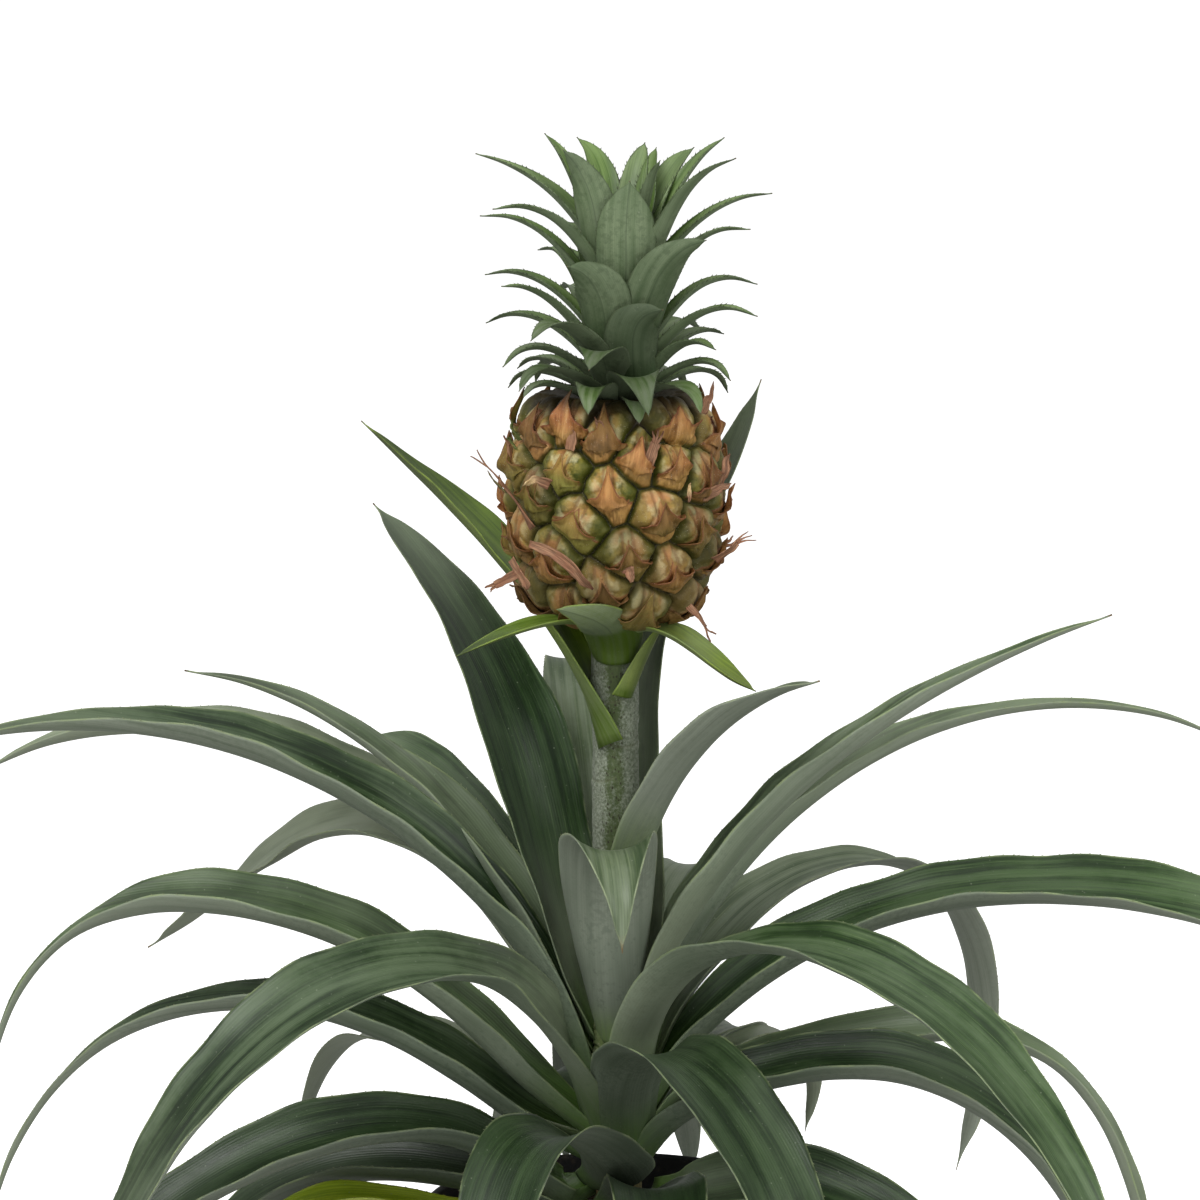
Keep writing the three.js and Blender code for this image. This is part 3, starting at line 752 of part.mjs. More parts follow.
    [-31.46, -15.11, 452.91, 2.53, 0.81, 0.322, -0.947, -0.007],
    [-40.54, -18.11, 452.57, 0.5, 0.8, 0.305, -0.952, 0.008],
  ],
  [
    [-1.47, -1.46, 395.77, 3.4, 1.1, 0.518, -0.853, -0.068],
    [-5.58, -4.05, 401.15, 4.11, 1.1, 0.438, -0.898, -0.052],
    [-9.9, -6.3, 407.26, 4.6, 1.02, 0.391, -0.92, -0.039],
    [-14.52, -8.43, 413.49, 4.8, 0.93, 0.374, -0.927, -0.032],
    [-19.53, -10.67, 419.25, 4.39, 0.89, 0.385, -0.923, -0.031],
    [-25.02, -13.23, 423.97, 3.64, 0.85, 0.42, -0.907, -0.03],
    [-31.06, -16.32, 427.04, 2.4, 0.82, 0.471, -0.882, -0.02],
    [-37.76, -20.18, 427.88, 0.5, 0.8, 0.522, -0.853, 0.005],
  ],
  [
    [-2.16, 0.92, 385.59, 3.4, 1.1, -0.53, -0.848, 0.029],
    [-5.5, 3.04, 389.18, 4.01, 1.1, -0.508, -0.861, 0.021],
    [-9.66, 5.54, 392.96, 4.19, 1.04, -0.5, -0.866, 0.017],
    [-14.35, 8.31, 396.4, 4.29, 0.94, -0.5, -0.866, 0.013],
    [-19.34, 11.24, 398.99, 4.19, 0.88, -0.505, -0.863, 0.01],
    [-24.35, 14.23, 400.21, 3.44, 0.84, -0.516, -0.857, 0.002],
    [-29.13, 17.16, 399.56, 2.29, 0.82, -0.528, -0.849, -0.012],
    [-33.43, 19.94, 396.51, 0.5, 0.8, -0.534, -0.845, -0.029],
  ],
  [
    [-2.47, -0.59, 383.78, 3.4, 1.1, 0.469, -0.874, -0.122],
    [-6.05, -2.05, 387.66, 4.01, 1.1, 0.169, -0.985, -0.039],
    [-10.77, -2.4, 391.5, 4.36, 1.04, -0.023, -1, 0.004],
    [-16.17, -1.84, 394.77, 4.58, 0.93, -0.158, -0.987, 0.023],
    [-21.85, -0.54, 396.95, 4.38, 0.87, -0.269, -0.963, 0.021],
    [-27.36, 1.32, 397.52, 3.47, 0.83, -0.366, -0.931, -0.008],
    [-32.28, 3.57, 395.97, 2.22, 0.81, -0.432, -0.899, -0.069],
    [-36.19, 6.01, 391.78, 0.5, 0.8, -0.442, -0.887, -0.134],
  ],
  [
    [-2.32, -2.51, 384.31, 4.25, 1, 0.929, -0.355, -0.107],
    [-4.79, -7.33, 388.35, 4.95, 1, 0.778, -0.626, -0.058],
    [-8.72, -11.57, 392.76, 5.47, 0.92, 0.659, -0.752, -0.021],
    [-13.58, -15.5, 396.82, 5.79, 0.77, 0.598, -0.801, -0.005],
    [-18.86, -19.41, 399.83, 5.43, 0.7, 0.598, -0.801, -0.003],
    [-24.03, -23.55, 401.08, 4.42, 0.66, 0.66, -0.751, -0.001],
    [-28.58, -28.2, 399.85, 2.59, 0.62, 0.767, -0.641, 0.032],
    [-31.99, -33.64, 395.42, 0.5, 0.6, 0.862, -0.496, 0.103],
  ],
  [
    [-2.68, -1.58, 382.83, 2.98, 1.1, 0.706, -0.701, -0.104],
    [-5.78, -4.24, 385.86, 3.44, 1.1, 0.523, -0.851, -0.056],
    [-9.85, -6.56, 389.01, 3.63, 1.07, 0.431, -0.902, -0.032],
    [-14.51, -8.77, 391.86, 3.76, 0.98, 0.411, -0.911, -0.023],
    [-19.33, -11.1, 394, 3.79, 0.9, 0.453, -0.891, -0.019],
    [-23.93, -13.77, 395.01, 3.14, 0.85, 0.558, -0.83, -0.006],
    [-27.89, -17.03, 394.47, 2.05, 0.82, 0.708, -0.705, 0.046],
    [-30.8, -21.08, 391.96, 0.5, 0.8, 0.836, -0.53, 0.141],
  ],
  [
    [1.53, -2.49, 384.13, 4.25, 1, 0.719, 0.694, 0.029],
    [5.19, -6.14, 387.83, 4.78, 1, 0.677, 0.735, 0.014],
    [9.41, -10.01, 391.11, 5.38, 0.95, 0.67, 0.743, 0.01],
    [13.83, -14.12, 393.61, 5.96, 0.78, 0.692, 0.722, 0.01],
    [18.11, -18.52, 394.95, 5.52, 0.7, 0.743, 0.669, 0.006],
    [21.88, -23.21, 394.75, 4.15, 0.65, 0.817, 0.577, -0.017],
    [24.8, -28.22, 392.62, 2.25, 0.61, 0.89, 0.451, -0.069],
    [26.51, -33.59, 388.2, 0.5, 0.6, 0.939, 0.314, -0.142],
  ],
  [
    [-2.33, 2.93, 382.68, 4.25, 1, -0.907, -0.417, 0.058],
    [-4.96, 8.03, 387.26, 4.94, 1, -0.843, -0.537, 0.026],
    [-8.62, 13.41, 391.62, 5.99, 0.88, -0.804, -0.595, 0.01],
    [-12.88, 19.02, 395.18, 6.46, 0.73, -0.788, -0.616, 0.004],
    [-17.35, 24.76, 397.32, 5.55, 0.67, -0.794, -0.608, 0.002],
    [-21.6, 30.58, 397.43, 4.02, 0.64, -0.823, -0.568, -0.005],
    [-25.23, 36.38, 394.91, 2.1, 0.61, -0.867, -0.498, -0.03],
    [-27.82, 42.1, 389.15, 0.5, 0.6, -0.908, -0.412, -0.075],
  ],
  [
    [1.22, 3.07, 382.49, 4.68, 1, -0.837, 0.547, 0.011],
    [4.68, 8.53, 386.85, 5.33, 1, -0.856, 0.517, 0.003],
    [8.28, 14.7, 390.74, 6.41, 0.89, -0.871, 0.491, -0.001],
    [11.87, 21.32, 393.63, 6.94, 0.73, -0.886, 0.464, -0.004],
    [15.3, 28.14, 395.02, 5.72, 0.67, -0.9, 0.435, -0.001],
    [18.43, 34.93, 394.39, 3.74, 0.63, -0.915, 0.403, 0.008],
    [21.11, 41.42, 391.24, 1.83, 0.61, -0.927, 0.374, 0.026],
    [23.18, 47.37, 385.06, 0.5, 0.6, -0.934, 0.353, 0.046],
  ],
  [
    [-0.54, 3.64, 380.85, 5.1, 1, -0.987, 0.157, 0.027],
    [0.34, 10.34, 385.52, 5.82, 1, -0.996, 0.084, 0.008],
    [0.76, 17.67, 388.65, 6.95, 0.84, -0.999, 0.033, -0],
    [0.88, 25.32, 390.15, 7.4, 0.63, -1, 0, -0.001],
    [0.81, 32.98, 389.89, 6.15, 0.57, -1, -0.014, 0.002],
    [0.7, 40.34, 387.77, 4.24, 0.53, -1, -0.01, 0.006],
    [0.68, 47.09, 383.68, 2.2, 0.51, -1, 0.014, 0.004],
    [0.88, 52.92, 377.5, 0.5, 0.5, -0.998, 0.059, -0.007],
  ],
  [
    [1.83, 2.62, 406.08, 5.1, 1.1, -0.868, 0.496, 0.005],
    [4.63, 8.16, 411.46, 6.12, 1.1, -0.911, 0.413, -0.017],
    [6.31, 12.73, 418.61, 7.36, 0.98, -0.932, 0.36, -0.038],
    [7.49, 16.83, 426.61, 8, 0.85, -0.936, 0.349, -0.044],
    [8.77, 20.96, 434.53, 7.55, 0.79, -0.923, 0.383, -0.03],
    [10.79, 25.63, 441.44, 6.44, 0.75, -0.89, 0.455, -0.004],
    [14.14, 31.35, 446.42, 3.83, 0.72, -0.837, 0.546, 0.012],
    [19.46, 38.62, 448.53, 0.5, 0.7, -0.784, 0.621, 0.002],
  ],
  [
    [-0.86, 3.26, 392, 5.1, 1.1, -0.983, -0.179, 0.046],
    [-2.14, 9.72, 396.72, 6.04, 1.1, -0.96, -0.275, 0.047],
    [-3.84, 15.72, 402.98, 7.31, 0.98, -0.937, -0.347, 0.034],
    [-6, 21.54, 409.71, 8, 0.85, -0.918, -0.396, 0.02],
    [-8.61, 27.51, 415.81, 7.47, 0.78, -0.904, -0.428, 0.01],
    [-11.71, 33.93, 420.22, 6.12, 0.74, -0.895, -0.445, 0.003],
    [-15.3, 41.12, 421.84, 3.49, 0.71, -0.893, -0.449, -0],
    [-19.42, 49.37, 419.61, 0.5, 0.7, -0.896, -0.444, -0.004],
  ],
  [
    [0.42, 3.57, 391.91, 5.1, 1.1, -0.98, 0.197, 0.026],
    [1.68, 10.52, 396.39, 6.01, 1.1, -0.993, 0.115, 0.034],
    [2.37, 16.66, 403.19, 7.54, 0.99, -0.999, 0.046, 0.022],
    [2.6, 22.51, 410.95, 8.5, 0.85, -1, -0.003, 0.009],
    [2.52, 28.57, 418.28, 8.02, 0.79, -0.999, -0.033, 0],
    [2.23, 35.36, 423.83, 6.73, 0.74, -0.999, -0.046, -0.002],
    [1.87, 43.38, 426.2, 3.94, 0.71, -0.999, -0.04, -0],
    [1.56, 53.15, 424.04, 0.5, 0.7, -1, -0.023, -0.002],
  ],
  [
    [1.47, 2.9, 387.66, 4.68, 1.1, -0.785, 0.619, -0.011],
    [5.18, 8.09, 392.19, 5.43, 1.1, -0.821, 0.57, -0.026],
    [8.6, 13.58, 397.62, 6.43, 0.99, -0.844, 0.535, -0.036],
    [11.91, 19.37, 403.04, 7, 0.84, -0.858, 0.513, -0.039],
    [15.31, 25.47, 407.53, 6.4, 0.78, -0.865, 0.501, -0.031],
    [18.96, 31.88, 410.19, 5.02, 0.74, -0.861, 0.508, -0.012],
    [23.07, 38.61, 410.09, 2.78, 0.71, -0.842, 0.54, 0.011],
    [27.82, 45.66, 406.34, 0.5, 0.7, -0.808, 0.589, 0.019],
  ],
  [
    [-1.14, 2.29, 402.29, 4.68, 1.1, -0.842, -0.537, 0.043],
    [-4.05, 7.13, 407.38, 5.59, 1.1, -0.822, -0.567, 0.051],
    [-6.75, 11.48, 413.86, 6.54, 0.98, -0.804, -0.593, 0.048],
    [-9.52, 15.66, 420.8, 7, 0.85, -0.79, -0.612, 0.041],
    [-12.63, 19.97, 427.26, 6.52, 0.79, -0.779, -0.626, 0.031],
    [-16.35, 24.75, 432.29, 5.38, 0.74, -0.771, -0.637, 0.019],
    [-20.96, 30.29, 434.95, 3.08, 0.71, -0.761, -0.649, 0.004],
    [-26.74, 36.93, 434.3, 0.5, 0.7, -0.748, -0.664, -0.006],
  ],
  [
    [0.88, -3.6, 382.03, 4.25, 1, 0.83, 0.553, -0.074],
    [3.64, -8.6, 385.47, 4.76, 1, 0.933, 0.358, -0.029],
    [5.26, -14.21, 388.17, 5.13, 0.96, 0.981, 0.192, -0.002],
    [6.04, -20.26, 390, 5.39, 0.7, 0.997, 0.075, 0.007],
    [6.27, -26.58, 390.87, 5.02, 0.6, 1, 0.009, 0.003],
    [6.25, -33, 390.65, 3.96, 0.54, 1, -0.007, -0.007],
    [6.27, -39.36, 389.25, 2.29, 0.51, 1, 0.026, -0.014],
    [6.61, -45.48, 386.55, 0.5, 0.5, 0.994, 0.108, -0.011],
  ],
];
const CROWN_OUTER = [
  ["crown_leaf_01", 0x5d7a50, [
      [0.8, -3.73, 384.57, 5.1, 1, 0.929, 0.369, -0.01],
      [2.7, -10.11, 388.75, 5.75, 1, 0.975, 0.22, 0.017],
      [3.79, -16.99, 393.26, 7.76, 0.86, 0.991, 0.133, 0.031],
      [4.48, -24.23, 397.13, 8.79, 0.67, 0.995, 0.098, 0.027],
      [5.21, -31.71, 399.4, 8.44, 0.58, 0.993, 0.119, 0.009],
      [6.38, -39.27, 399.14, 6.05, 0.54, 0.982, 0.189, -0.009],
      [7.95, -46.56, 395.97, 3.28, 0.51, 0.972, 0.236, -0.013],
      [9.51, -53.04, 389.96, 0.5, 0.5, 0.967, 0.254, -0.016],
    ]],
  ["crown_leaf_02", 0x5d7a50, [
      [-1.18, -3.62, 385.71, 5.1, 1, 0.992, -0.129, -0.013],
      [-1.93, -9.3, 390.23, 5.85, 1, 0.988, -0.155, -0.013],
      [-2.77, -14.66, 395.82, 7.09, 0.89, 0.985, -0.174, -0.009],
      [-3.73, -20.06, 401.37, 7.96, 0.71, 0.982, -0.188, -0.005],
      [-4.85, -25.88, 405.78, 8.19, 0.6, 0.981, -0.195, -0.002],
      [-6.17, -32.48, 407.93, 7.12, 0.55, 0.98, -0.198, -0],
      [-7.72, -39.91, 407.19, 3.84, 0.51, 0.977, -0.213, -0],
      [-9.51, -47.54, 403.87, 0.5, 0.5, 0.97, -0.243, -0.006],
    ]],
  ["crown_leaf_03", 0x5d7a50, [
      [-1.83, -3.72, 383.99, 4.68, 1, 0.957, -0.29, 0.006],
      [-3.51, -9.5, 387.78, 5.26, 1, 0.965, -0.264, 0.001],
      [-5.12, -15.74, 391.31, 6.13, 0.89, 0.972, -0.236, -0.003],
      [-6.59, -22.32, 394.15, 6.59, 0.68, 0.979, -0.203, -0.006],
      [-7.85, -29.1, 395.86, 6.39, 0.58, 0.986, -0.165, -0.004],
      [-8.84, -35.94, 396.02, 4.82, 0.54, 0.993, -0.121, 0.005],
      [-9.48, -42.71, 394.17, 3.03, 0.51, 0.997, -0.078, 0.024],
      [-9.71, -49.28, 389.9, 0.5, 0.5, 0.998, -0.043, 0.048],
    ]],
  ["crown_leaf_04", 0x5d7a50, [
      [-1.69, -2.72, 388.82, 4.68, 1.1, 0.976, -0.182, -0.123],
      [-2.96, -7.63, 393.91, 5.55, 1.1, 0.873, -0.482, -0.074],
      [-5.61, -11.93, 400.11, 6.71, 0.98, 0.768, -0.64, -0.024],
      [-9.32, -15.98, 406.4, 7.29, 0.84, 0.701, -0.713, 0.002],
      [-13.75, -20.11, 411.76, 6.7, 0.79, 0.678, -0.735, 0.008],
      [-18.59, -24.66, 415.16, 5.53, 0.75, 0.703, -0.711, 0],
      [-23.5, -29.97, 415.58, 3.37, 0.72, 0.767, -0.641, 0.005],
      [-28.16, -36.38, 412.01, 0.5, 0.7, 0.833, -0.552, 0.038],
    ]],
  ["crown_leaf_05", 0x5d7a50, [
      [-0.45, 0.74, 421.19, 3.82, 1.1, -0.366, -0.93, 0.04],
      [-4.25, 2.62, 430.53, 5.1, 1.09, -0.363, -0.931, 0.037],
      [-8.88, 4.73, 439.34, 6.62, 0.99, -0.357, -0.934, 0.031],
      [-14.43, 7.06, 447.39, 6.93, 0.92, -0.347, -0.938, 0.024],
      [-20.98, 9.58, 454.43, 6.32, 0.87, -0.332, -0.943, 0.017],
      [-28.61, 12.28, 460.25, 4.39, 0.83, -0.316, -0.949, 0.01],
      [-37.27, 15.11, 464.73, 2.18, 0.81, -0.299, -0.954, 0.005],
      [-46.85, 18.02, 467.8, 0.5, 0.8, -0.281, -0.96, 0.002],
    ]],
  ["crown_leaf_06", 0x5d7a50, [
      [3.34, -1.48, 418.74, 3.82, 1.1, 0.497, 0.868, 0.021],
      [7.83, -4.3, 425.88, 4.82, 1.09, 0.505, 0.863, 0.029],
      [11.52, -6.74, 434.05, 6.1, 1, 0.501, 0.865, 0.03],
      [14.98, -8.96, 442.65, 6.45, 0.92, 0.483, 0.875, 0.023],
      [18.76, -11.15, 451.07, 5.84, 0.88, 0.454, 0.891, 0.011],
      [23.45, -13.45, 458.68, 4.68, 0.84, 0.416, 0.909, -0.002],
      [29.61, -16.05, 464.89, 2.75, 0.81, 0.374, 0.927, -0.01],
      [37.8, -19.11, 469.09, 0.5, 0.8, 0.338, 0.941, -0.008],
    ]],
  ["crown_leaf_07", 0x5d7a50, [
      [3.39, -0.82, 407.01, 3.4, 1.1, 0.144, 0.99, 0.001],
      [8.3, -1.78, 413.27, 4.11, 1.1, 0.209, 0.978, 0.021],
      [12.51, -3.04, 420.68, 4.78, 1.01, 0.261, 0.964, 0.04],
      [16.59, -4.62, 428.41, 4.98, 0.92, 0.3, 0.952, 0.052],
      [21.1, -6.52, 435.62, 4.66, 0.88, 0.325, 0.944, 0.053],
      [26.59, -8.74, 441.46, 3.87, 0.84, 0.333, 0.942, 0.039],
      [33.61, -11.28, 445.12, 2.42, 0.81, 0.317, 0.948, 0.015],
      [42.69, -14.13, 445.74, 0.5, 0.8, 0.279, 0.96, -0.005],
    ]],
  ["crown_leaf_08", 0x5d7a50, [
      [2.97, -0.09, 397.58, 3.4, 1.1, 0.004, 1, 0.021],
      [8, 0.27, 403.38, 4.06, 1.1, -0.145, 0.989, -0.016],
      [12.81, 1.48, 410.03, 4.76, 1.01, -0.248, 0.968, -0.046],
      [17.79, 3.33, 416.63, 4.96, 0.92, -0.311, 0.949, -0.059],
      [23.34, 5.6, 422.28, 4.45, 0.87, -0.339, 0.939, -0.052],
      [29.84, 8.1, 426.09, 3.56, 0.83, -0.332, 0.943, -0.026],
      [37.37, 10.63, 427.29, 2.22, 0.81, -0.294, 0.956, 0.003],
      [45.93, 13, 425.18, 0.5, 0.8, -0.231, 0.973, 0.018],
    ]],
  ["crown_leaf_09", 0x5d7a50, [
      [2.62, -1.63, 392.57, 3.4, 1.1, 0.523, 0.851, 0.039],
      [7.51, -4.62, 397.66, 3.98, 1.1, 0.464, 0.885, 0.033],
      [12.45, -7.23, 403.69, 4.68, 1.02, 0.421, 0.907, 0.022],
      [17.63, -9.65, 409.83, 4.99, 0.93, 0.393, 0.919, 0.013],
      [23.26, -12.05, 415.21, 4.68, 0.88, 0.379, 0.926, 0.008],
      [29.54, -14.63, 418.97, 3.92, 0.84, 0.377, 0.926, 0.004],
      [36.69, -17.57, 420.27, 2.47, 0.81, 0.384, 0.923, -0],
      [44.91, -21.06, 418.23, 0.5, 0.8, 0.395, 0.919, -0.007],
    ]],
  ["crown_leaf_10", 0x5d7a50, [
      [-0.8, -0.44, 407.16, 3.82, 1.1, 0.095, -0.994, -0.061],
      [-4.8, -0.87, 415.12, 4.83, 1.08, -0.027, -0.999, -0.02],
      [-9.31, -0.58, 423.5, 5.4, 0.98, -0.113, -0.994, 0.008],
      [-14.5, 0.33, 431.64, 5.42, 0.91, -0.173, -0.985, 0.025],
      [-20.52, 1.74, 438.84, 4.92, 0.87, -0.214, -0.976, 0.031],
      [-27.55, 3.56, 444.45, 3.85, 0.83, -0.239, -0.971, 0.025],
      [-35.75, 5.67, 447.78, 2.28, 0.81, -0.243, -0.97, 0.01],
      [-45.28, 7.99, 448.15, 0.5, 0.8, -0.225, -0.974, -0.005],
    ]],
  ["crown_leaf_11", 0x5d7a50, [
      [-1.43, 0.83, 397.57, 3.82, 1.1, -0.266, -0.963, 0.032],
      [-5.05, 2.12, 404.62, 4.64, 1.09, -0.284, -0.958, 0.035],
      [-9.62, 3.78, 411.65, 4.93, 1, -0.298, -0.954, 0.036],
      [-15.06, 5.75, 418.15, 4.98, 0.92, -0.311, -0.95, 0.034],
      [-21.29, 8.01, 423.57, 4.52, 0.88, -0.322, -0.946, 0.028],
      [-28.22, 10.51, 427.38, 3.76, 0.84, -0.331, -0.943, 0.018],
      [-35.79, 13.2, 429.06, 2.47, 0.81, -0.333, -0.943, 0.003],
      [-43.91, 16.05, 428.06, 0.5, 0.8, -0.324, -0.946, -0.013],
    ]],
  ["crown_leaf_12", 0x5d7a50, [
      [-1.92, 0.68, 389.69, 3.4, 1.1, -0.367, -0.93, 0.036],
      [-5.82, 2.53, 396.17, 4.21, 1.09, -0.387, -0.921, 0.038],
      [-10.7, 4.89, 402.4, 4.8, 1.01, -0.402, -0.915, 0.037],
      [-16.41, 7.66, 407.86, 4.98, 0.93, -0.416, -0.909, 0.033],
      [-22.74, 10.75, 412.02, 4.54, 0.88, -0.429, -0.903, 0.024],
      [-29.54, 14.07, 414.37, 3.74, 0.84, -0.438, -0.899, 0.01],
      [-36.61, 17.53, 414.38, 2.41, 0.81, -0.437, -0.899, -0.01],
      [-43.78, 21.02, 411.52, 0.5, 0.8, -0.423, -0.905, -0.028],
    ]],
  ["crown_leaf_13", 0x5d7a50, [
      [1.7, -1.34, 385.86, 3.4, 1.1, 0.453, 0.89, 0.061],
      [5.91, -3.31, 389.34, 3.93, 1.1, 0.343, 0.938, 0.043],
      [10.88, -5.15, 393.47, 4.28, 1.05, 0.304, 0.952, 0.034],
      [16.3, -7.02, 397.5, 4.5, 0.95, 0.311, 0.95, 0.031],
      [21.86, -9.08, 400.64, 4.27, 0.9, 0.361, 0.932, 0.028],
      [27.26, -11.51, 402.12, 3.64, 0.85, 0.454, 0.891, 0.007],
      [32.2, -14.47, 401.16, 2.38, 0.82, 0.559, 0.827, -0.057],
      [36.38, -18.14, 397, 0.5, 0.8, 0.624, 0.769, -0.138],
    ]],
  ["crown_leaf_14", 0x5d7a50, [
      [-2.32, -1.2, 386.3, 3.4, 1.1, 0.38, -0.92, -0.097],
      [-5.5, -2.63, 391.55, 4.06, 1.1, 0.266, -0.963, -0.051],
      [-9.88, -3.95, 396.85, 4.43, 1.03, 0.229, -0.973, -0.035],
      [-15.12, -5.35, 401.53, 4.6, 0.94, 0.238, -0.971, -0.03],
      [-20.85, -6.99, 404.96, 4.3, 0.89, 0.287, -0.958, -0.025],
      [-26.73, -9.06, 406.46, 3.64, 0.85, 0.372, -0.928, -0.005],
      [-32.4, -11.73, 405.38, 2.38, 0.81, 0.467, -0.883, 0.048],
      [-37.53, -15.18, 401.08, 0.5, 0.8, 0.537, -0.835, 0.117],
    ]],
  ["crown_leaf_15", 0x5d7a50, [
      [3.43, -0.12, 414.92, 3.4, 1.1, -0.104, 0.994, 0.023],
      [7.9, 0.55, 423.08, 4.26, 1.09, -0.203, 0.979, -0.01],
      [12.91, 1.94, 431.09, 4.9, 0.98, -0.264, 0.964, -0.027],
      [18.6, 3.85, 438.55, 4.92, 0.91, -0.295, 0.955, -0.032],
      [25.08, 6.09, 445.07, 4.51, 0.86, -0.301, 0.953, -0.027],
      [32.49, 8.49, 450.27, 3.45, 0.83, -0.283, 0.959, -0.017],
      [40.96, 10.86, 453.76, 2.04, 0.81, -0.244, 0.97, -0.006],
      [50.62, 13.01, 455.14, 0.5, 0.8, -0.188, 0.982, -0],
    ]],
];

// ---------------------------------------------------------------- solids
const V = (a) => new THREE.Vector3(a[0], a[1], a[2]);

// A closed three.js geometry as a solid that can be joined and cut.
function solidOf(geometry) {
  const plain = geometry.clone();
  plain.deleteAttribute("normal");
  plain.deleteAttribute("uv");
  const merged = mergeVertices(plain, 1e-4);
  const vertProperties = merged.attributes.position.array;
  const faces = [];
  const index = merged.index.array;
  for (let i = 0; i < index.length; i += 3) {
    const [a, b, c] = [index[i], index[i + 1], index[i + 2]];
    if (a !== b && b !== c && c !== a) faces.push(a, b, c);
  }
  const build = (list) =>
    new Manifold(
      new Mesh({ numProp: 3, vertProperties, triVerts: new Uint32Array(list) }),
    );
  const solid = build(faces);
  if (solid.volume() > 0) return solid;
  for (let i = 0; i < faces.length; i += 3)
    [faces[i + 1], faces[i + 2]] = [faces[i + 2], faces[i + 1]];
  return build(faces);
}

// The values of a leaf table at t (0 base, 1 tip) on a smooth curve.
function row(table, t) {
  const n = table.length - 1;
  const x = Math.min(Math.max(t, 0), 1) * n;
  const i = Math.min(Math.floor(x), n - 1);
  const a = x - i;
  const p1 = table[i];
  const p2 = table[i + 1];
  const p0 = i > 0 ? table[i - 1] : p1.map((v, k) => 2 * v - p2[k]);
  const p3 = i + 2 <= n ? table[i + 2] : p2.map((v, k) => 2 * v - p1[k]);
  return p1.map(
    (v, k) =>
      0.5 *
      (2 * v +
        (p2[k] - p0[k]) * a +
        (2 * p0[k] - 5 * v + 4 * p2[k] - p3[k]) * a * a +
        (3 * v - p0[k] - 3 * p2[k] + p3[k]) * a * a * a),
  );
}

// A blade: a flat bar (x across, y through, z along) bent onto its table as a
// thin channel. grow widens it all round, to cut the clearance for a
// neighbour.
function blade(table, thick, edge, pitch, grow = 0, cols = 4) {
  const midrib = new THREE.CatmullRomCurve3(table.map(V), false, "catmullrom");
  const n = Math.max(3, Math.round(midrib.getLength() / pitch));
  const bar = new THREE.BoxGeometry(2, 2, 1, cols - 1, 1, n);
  const position = bar.attributes.position;
  for (let i = 0; i < position.count; i++) {
    const u = position.getX(i);
    const side = position.getY(i);
    const t = Math.min(1, Math.max(0, position.getZ(i) + 0.5));
    const r = row(table, t);
    const centre = midrib.getPoint(t);
    const T = midrib.getTangent(t);
    const B = V(r.slice(5, 8));
    B.addScaledVector(T, -B.dot(T)).normalize();
    const N = new THREE.Vector3().crossVectors(T, B);
    if (t < 1e-6) centre.addScaledVector(T, -grow);
    if (t > 1 - 1e-6) centre.addScaledVector(T, grow);
    const w = Math.max(r[3], 0.35) + grow;
    const phi = Math.max(r[4], 0.08);
    const s = Math.sin(phi * u);
    const k = Math.cos(phi * u);
    const slim = t > 0.8 ? 1 - 0.35 * ((t - 0.8) / 0.2) : 1;
    const h = ((edge + (thick - edge) * (1 - Math.abs(u))) * slim) / 2 + grow;
    const p = centre
      .addScaledVector(B, (w / phi) * s - s * h * side)
      .addScaledVector(N, (w / phi) * (1 - k) + k * h * side);
    position.setXYZ(i, p.x, p.y, p.z);
  }
  return solidOf(bar);
}

// A body of revolution from a profile of [radius, z] pairs that starts and
// ends on the axis; shape can move its surface with angle and height.
function turned(profile, segments, shape = (r, z) => [r, z, 0]) {
  const lathe = new THREE.LatheGeometry(
    profile.map(([r, z]) => new THREE.Vector2(r, z)),
    segments,
  );
  lathe.rotateX(Math.PI / 2);
  const position = lathe.attributes.position;
  for (let i = 0; i < position.count; i++) {
    const x = position.getX(i);
    const y = position.getY(i);
    const [r, z, dx] = shape(Math.hypot(x, y), position.getZ(i), Math.atan2(y, x));
    const a = Math.atan2(y, x);
    position.setXYZ(i, dx + r * Math.cos(a), r * Math.sin(a), z);
  }
  return solidOf(lathe);
}

function largest(solid) {
  const pieces = solid.decompose();
  pieces.sort((a, b) => b.volume() - a.volume());
  return pieces[0];
}

function touches(a, b) {
  for (let k = 0; k < 3; k++)
    if (a.min[k] > b.max[k] || b.min[k] > a.max[k]) return false;
  return true;
}

// ---------------------------------------------------------------- scene group
const plant = new THREE.Group();
plant.name = "pineapple_plant";
const taken = []; // clearance solids of the pieces already placed

function place(name, solid, clearance, colour, roughness, slack = SLACK) {
  const box = solid.boundingBox();
  const near = taken.filter((c) => touches(c.boundingBox(), box));
  let made = solid;
  if (near.length) made = made.subtract(Manifold.union(near));
  made = largest(largest(made).simplify(slack));
  if (clearance) taken.push(clearance);
  const mesh = made.getMesh();
  const geometry = new THREE.BufferGeometry();
  geometry.setAttribute(
    "position",
    new THREE.BufferAttribute(new Float32Array(mesh.vertProperties), 3),
  );
  geometry.setIndex(Array.from(mesh.triVerts));
  const flat = geometry.toNonIndexed();
  flat.computeVertexNormals();
  const item = new THREE.Mesh(
    flat,
    new THREE.MeshStandardMaterial({ color: colour, roughness, metalness: 0 }),
  );
  item.name = name;
  plant.add(item);
  return made;
}

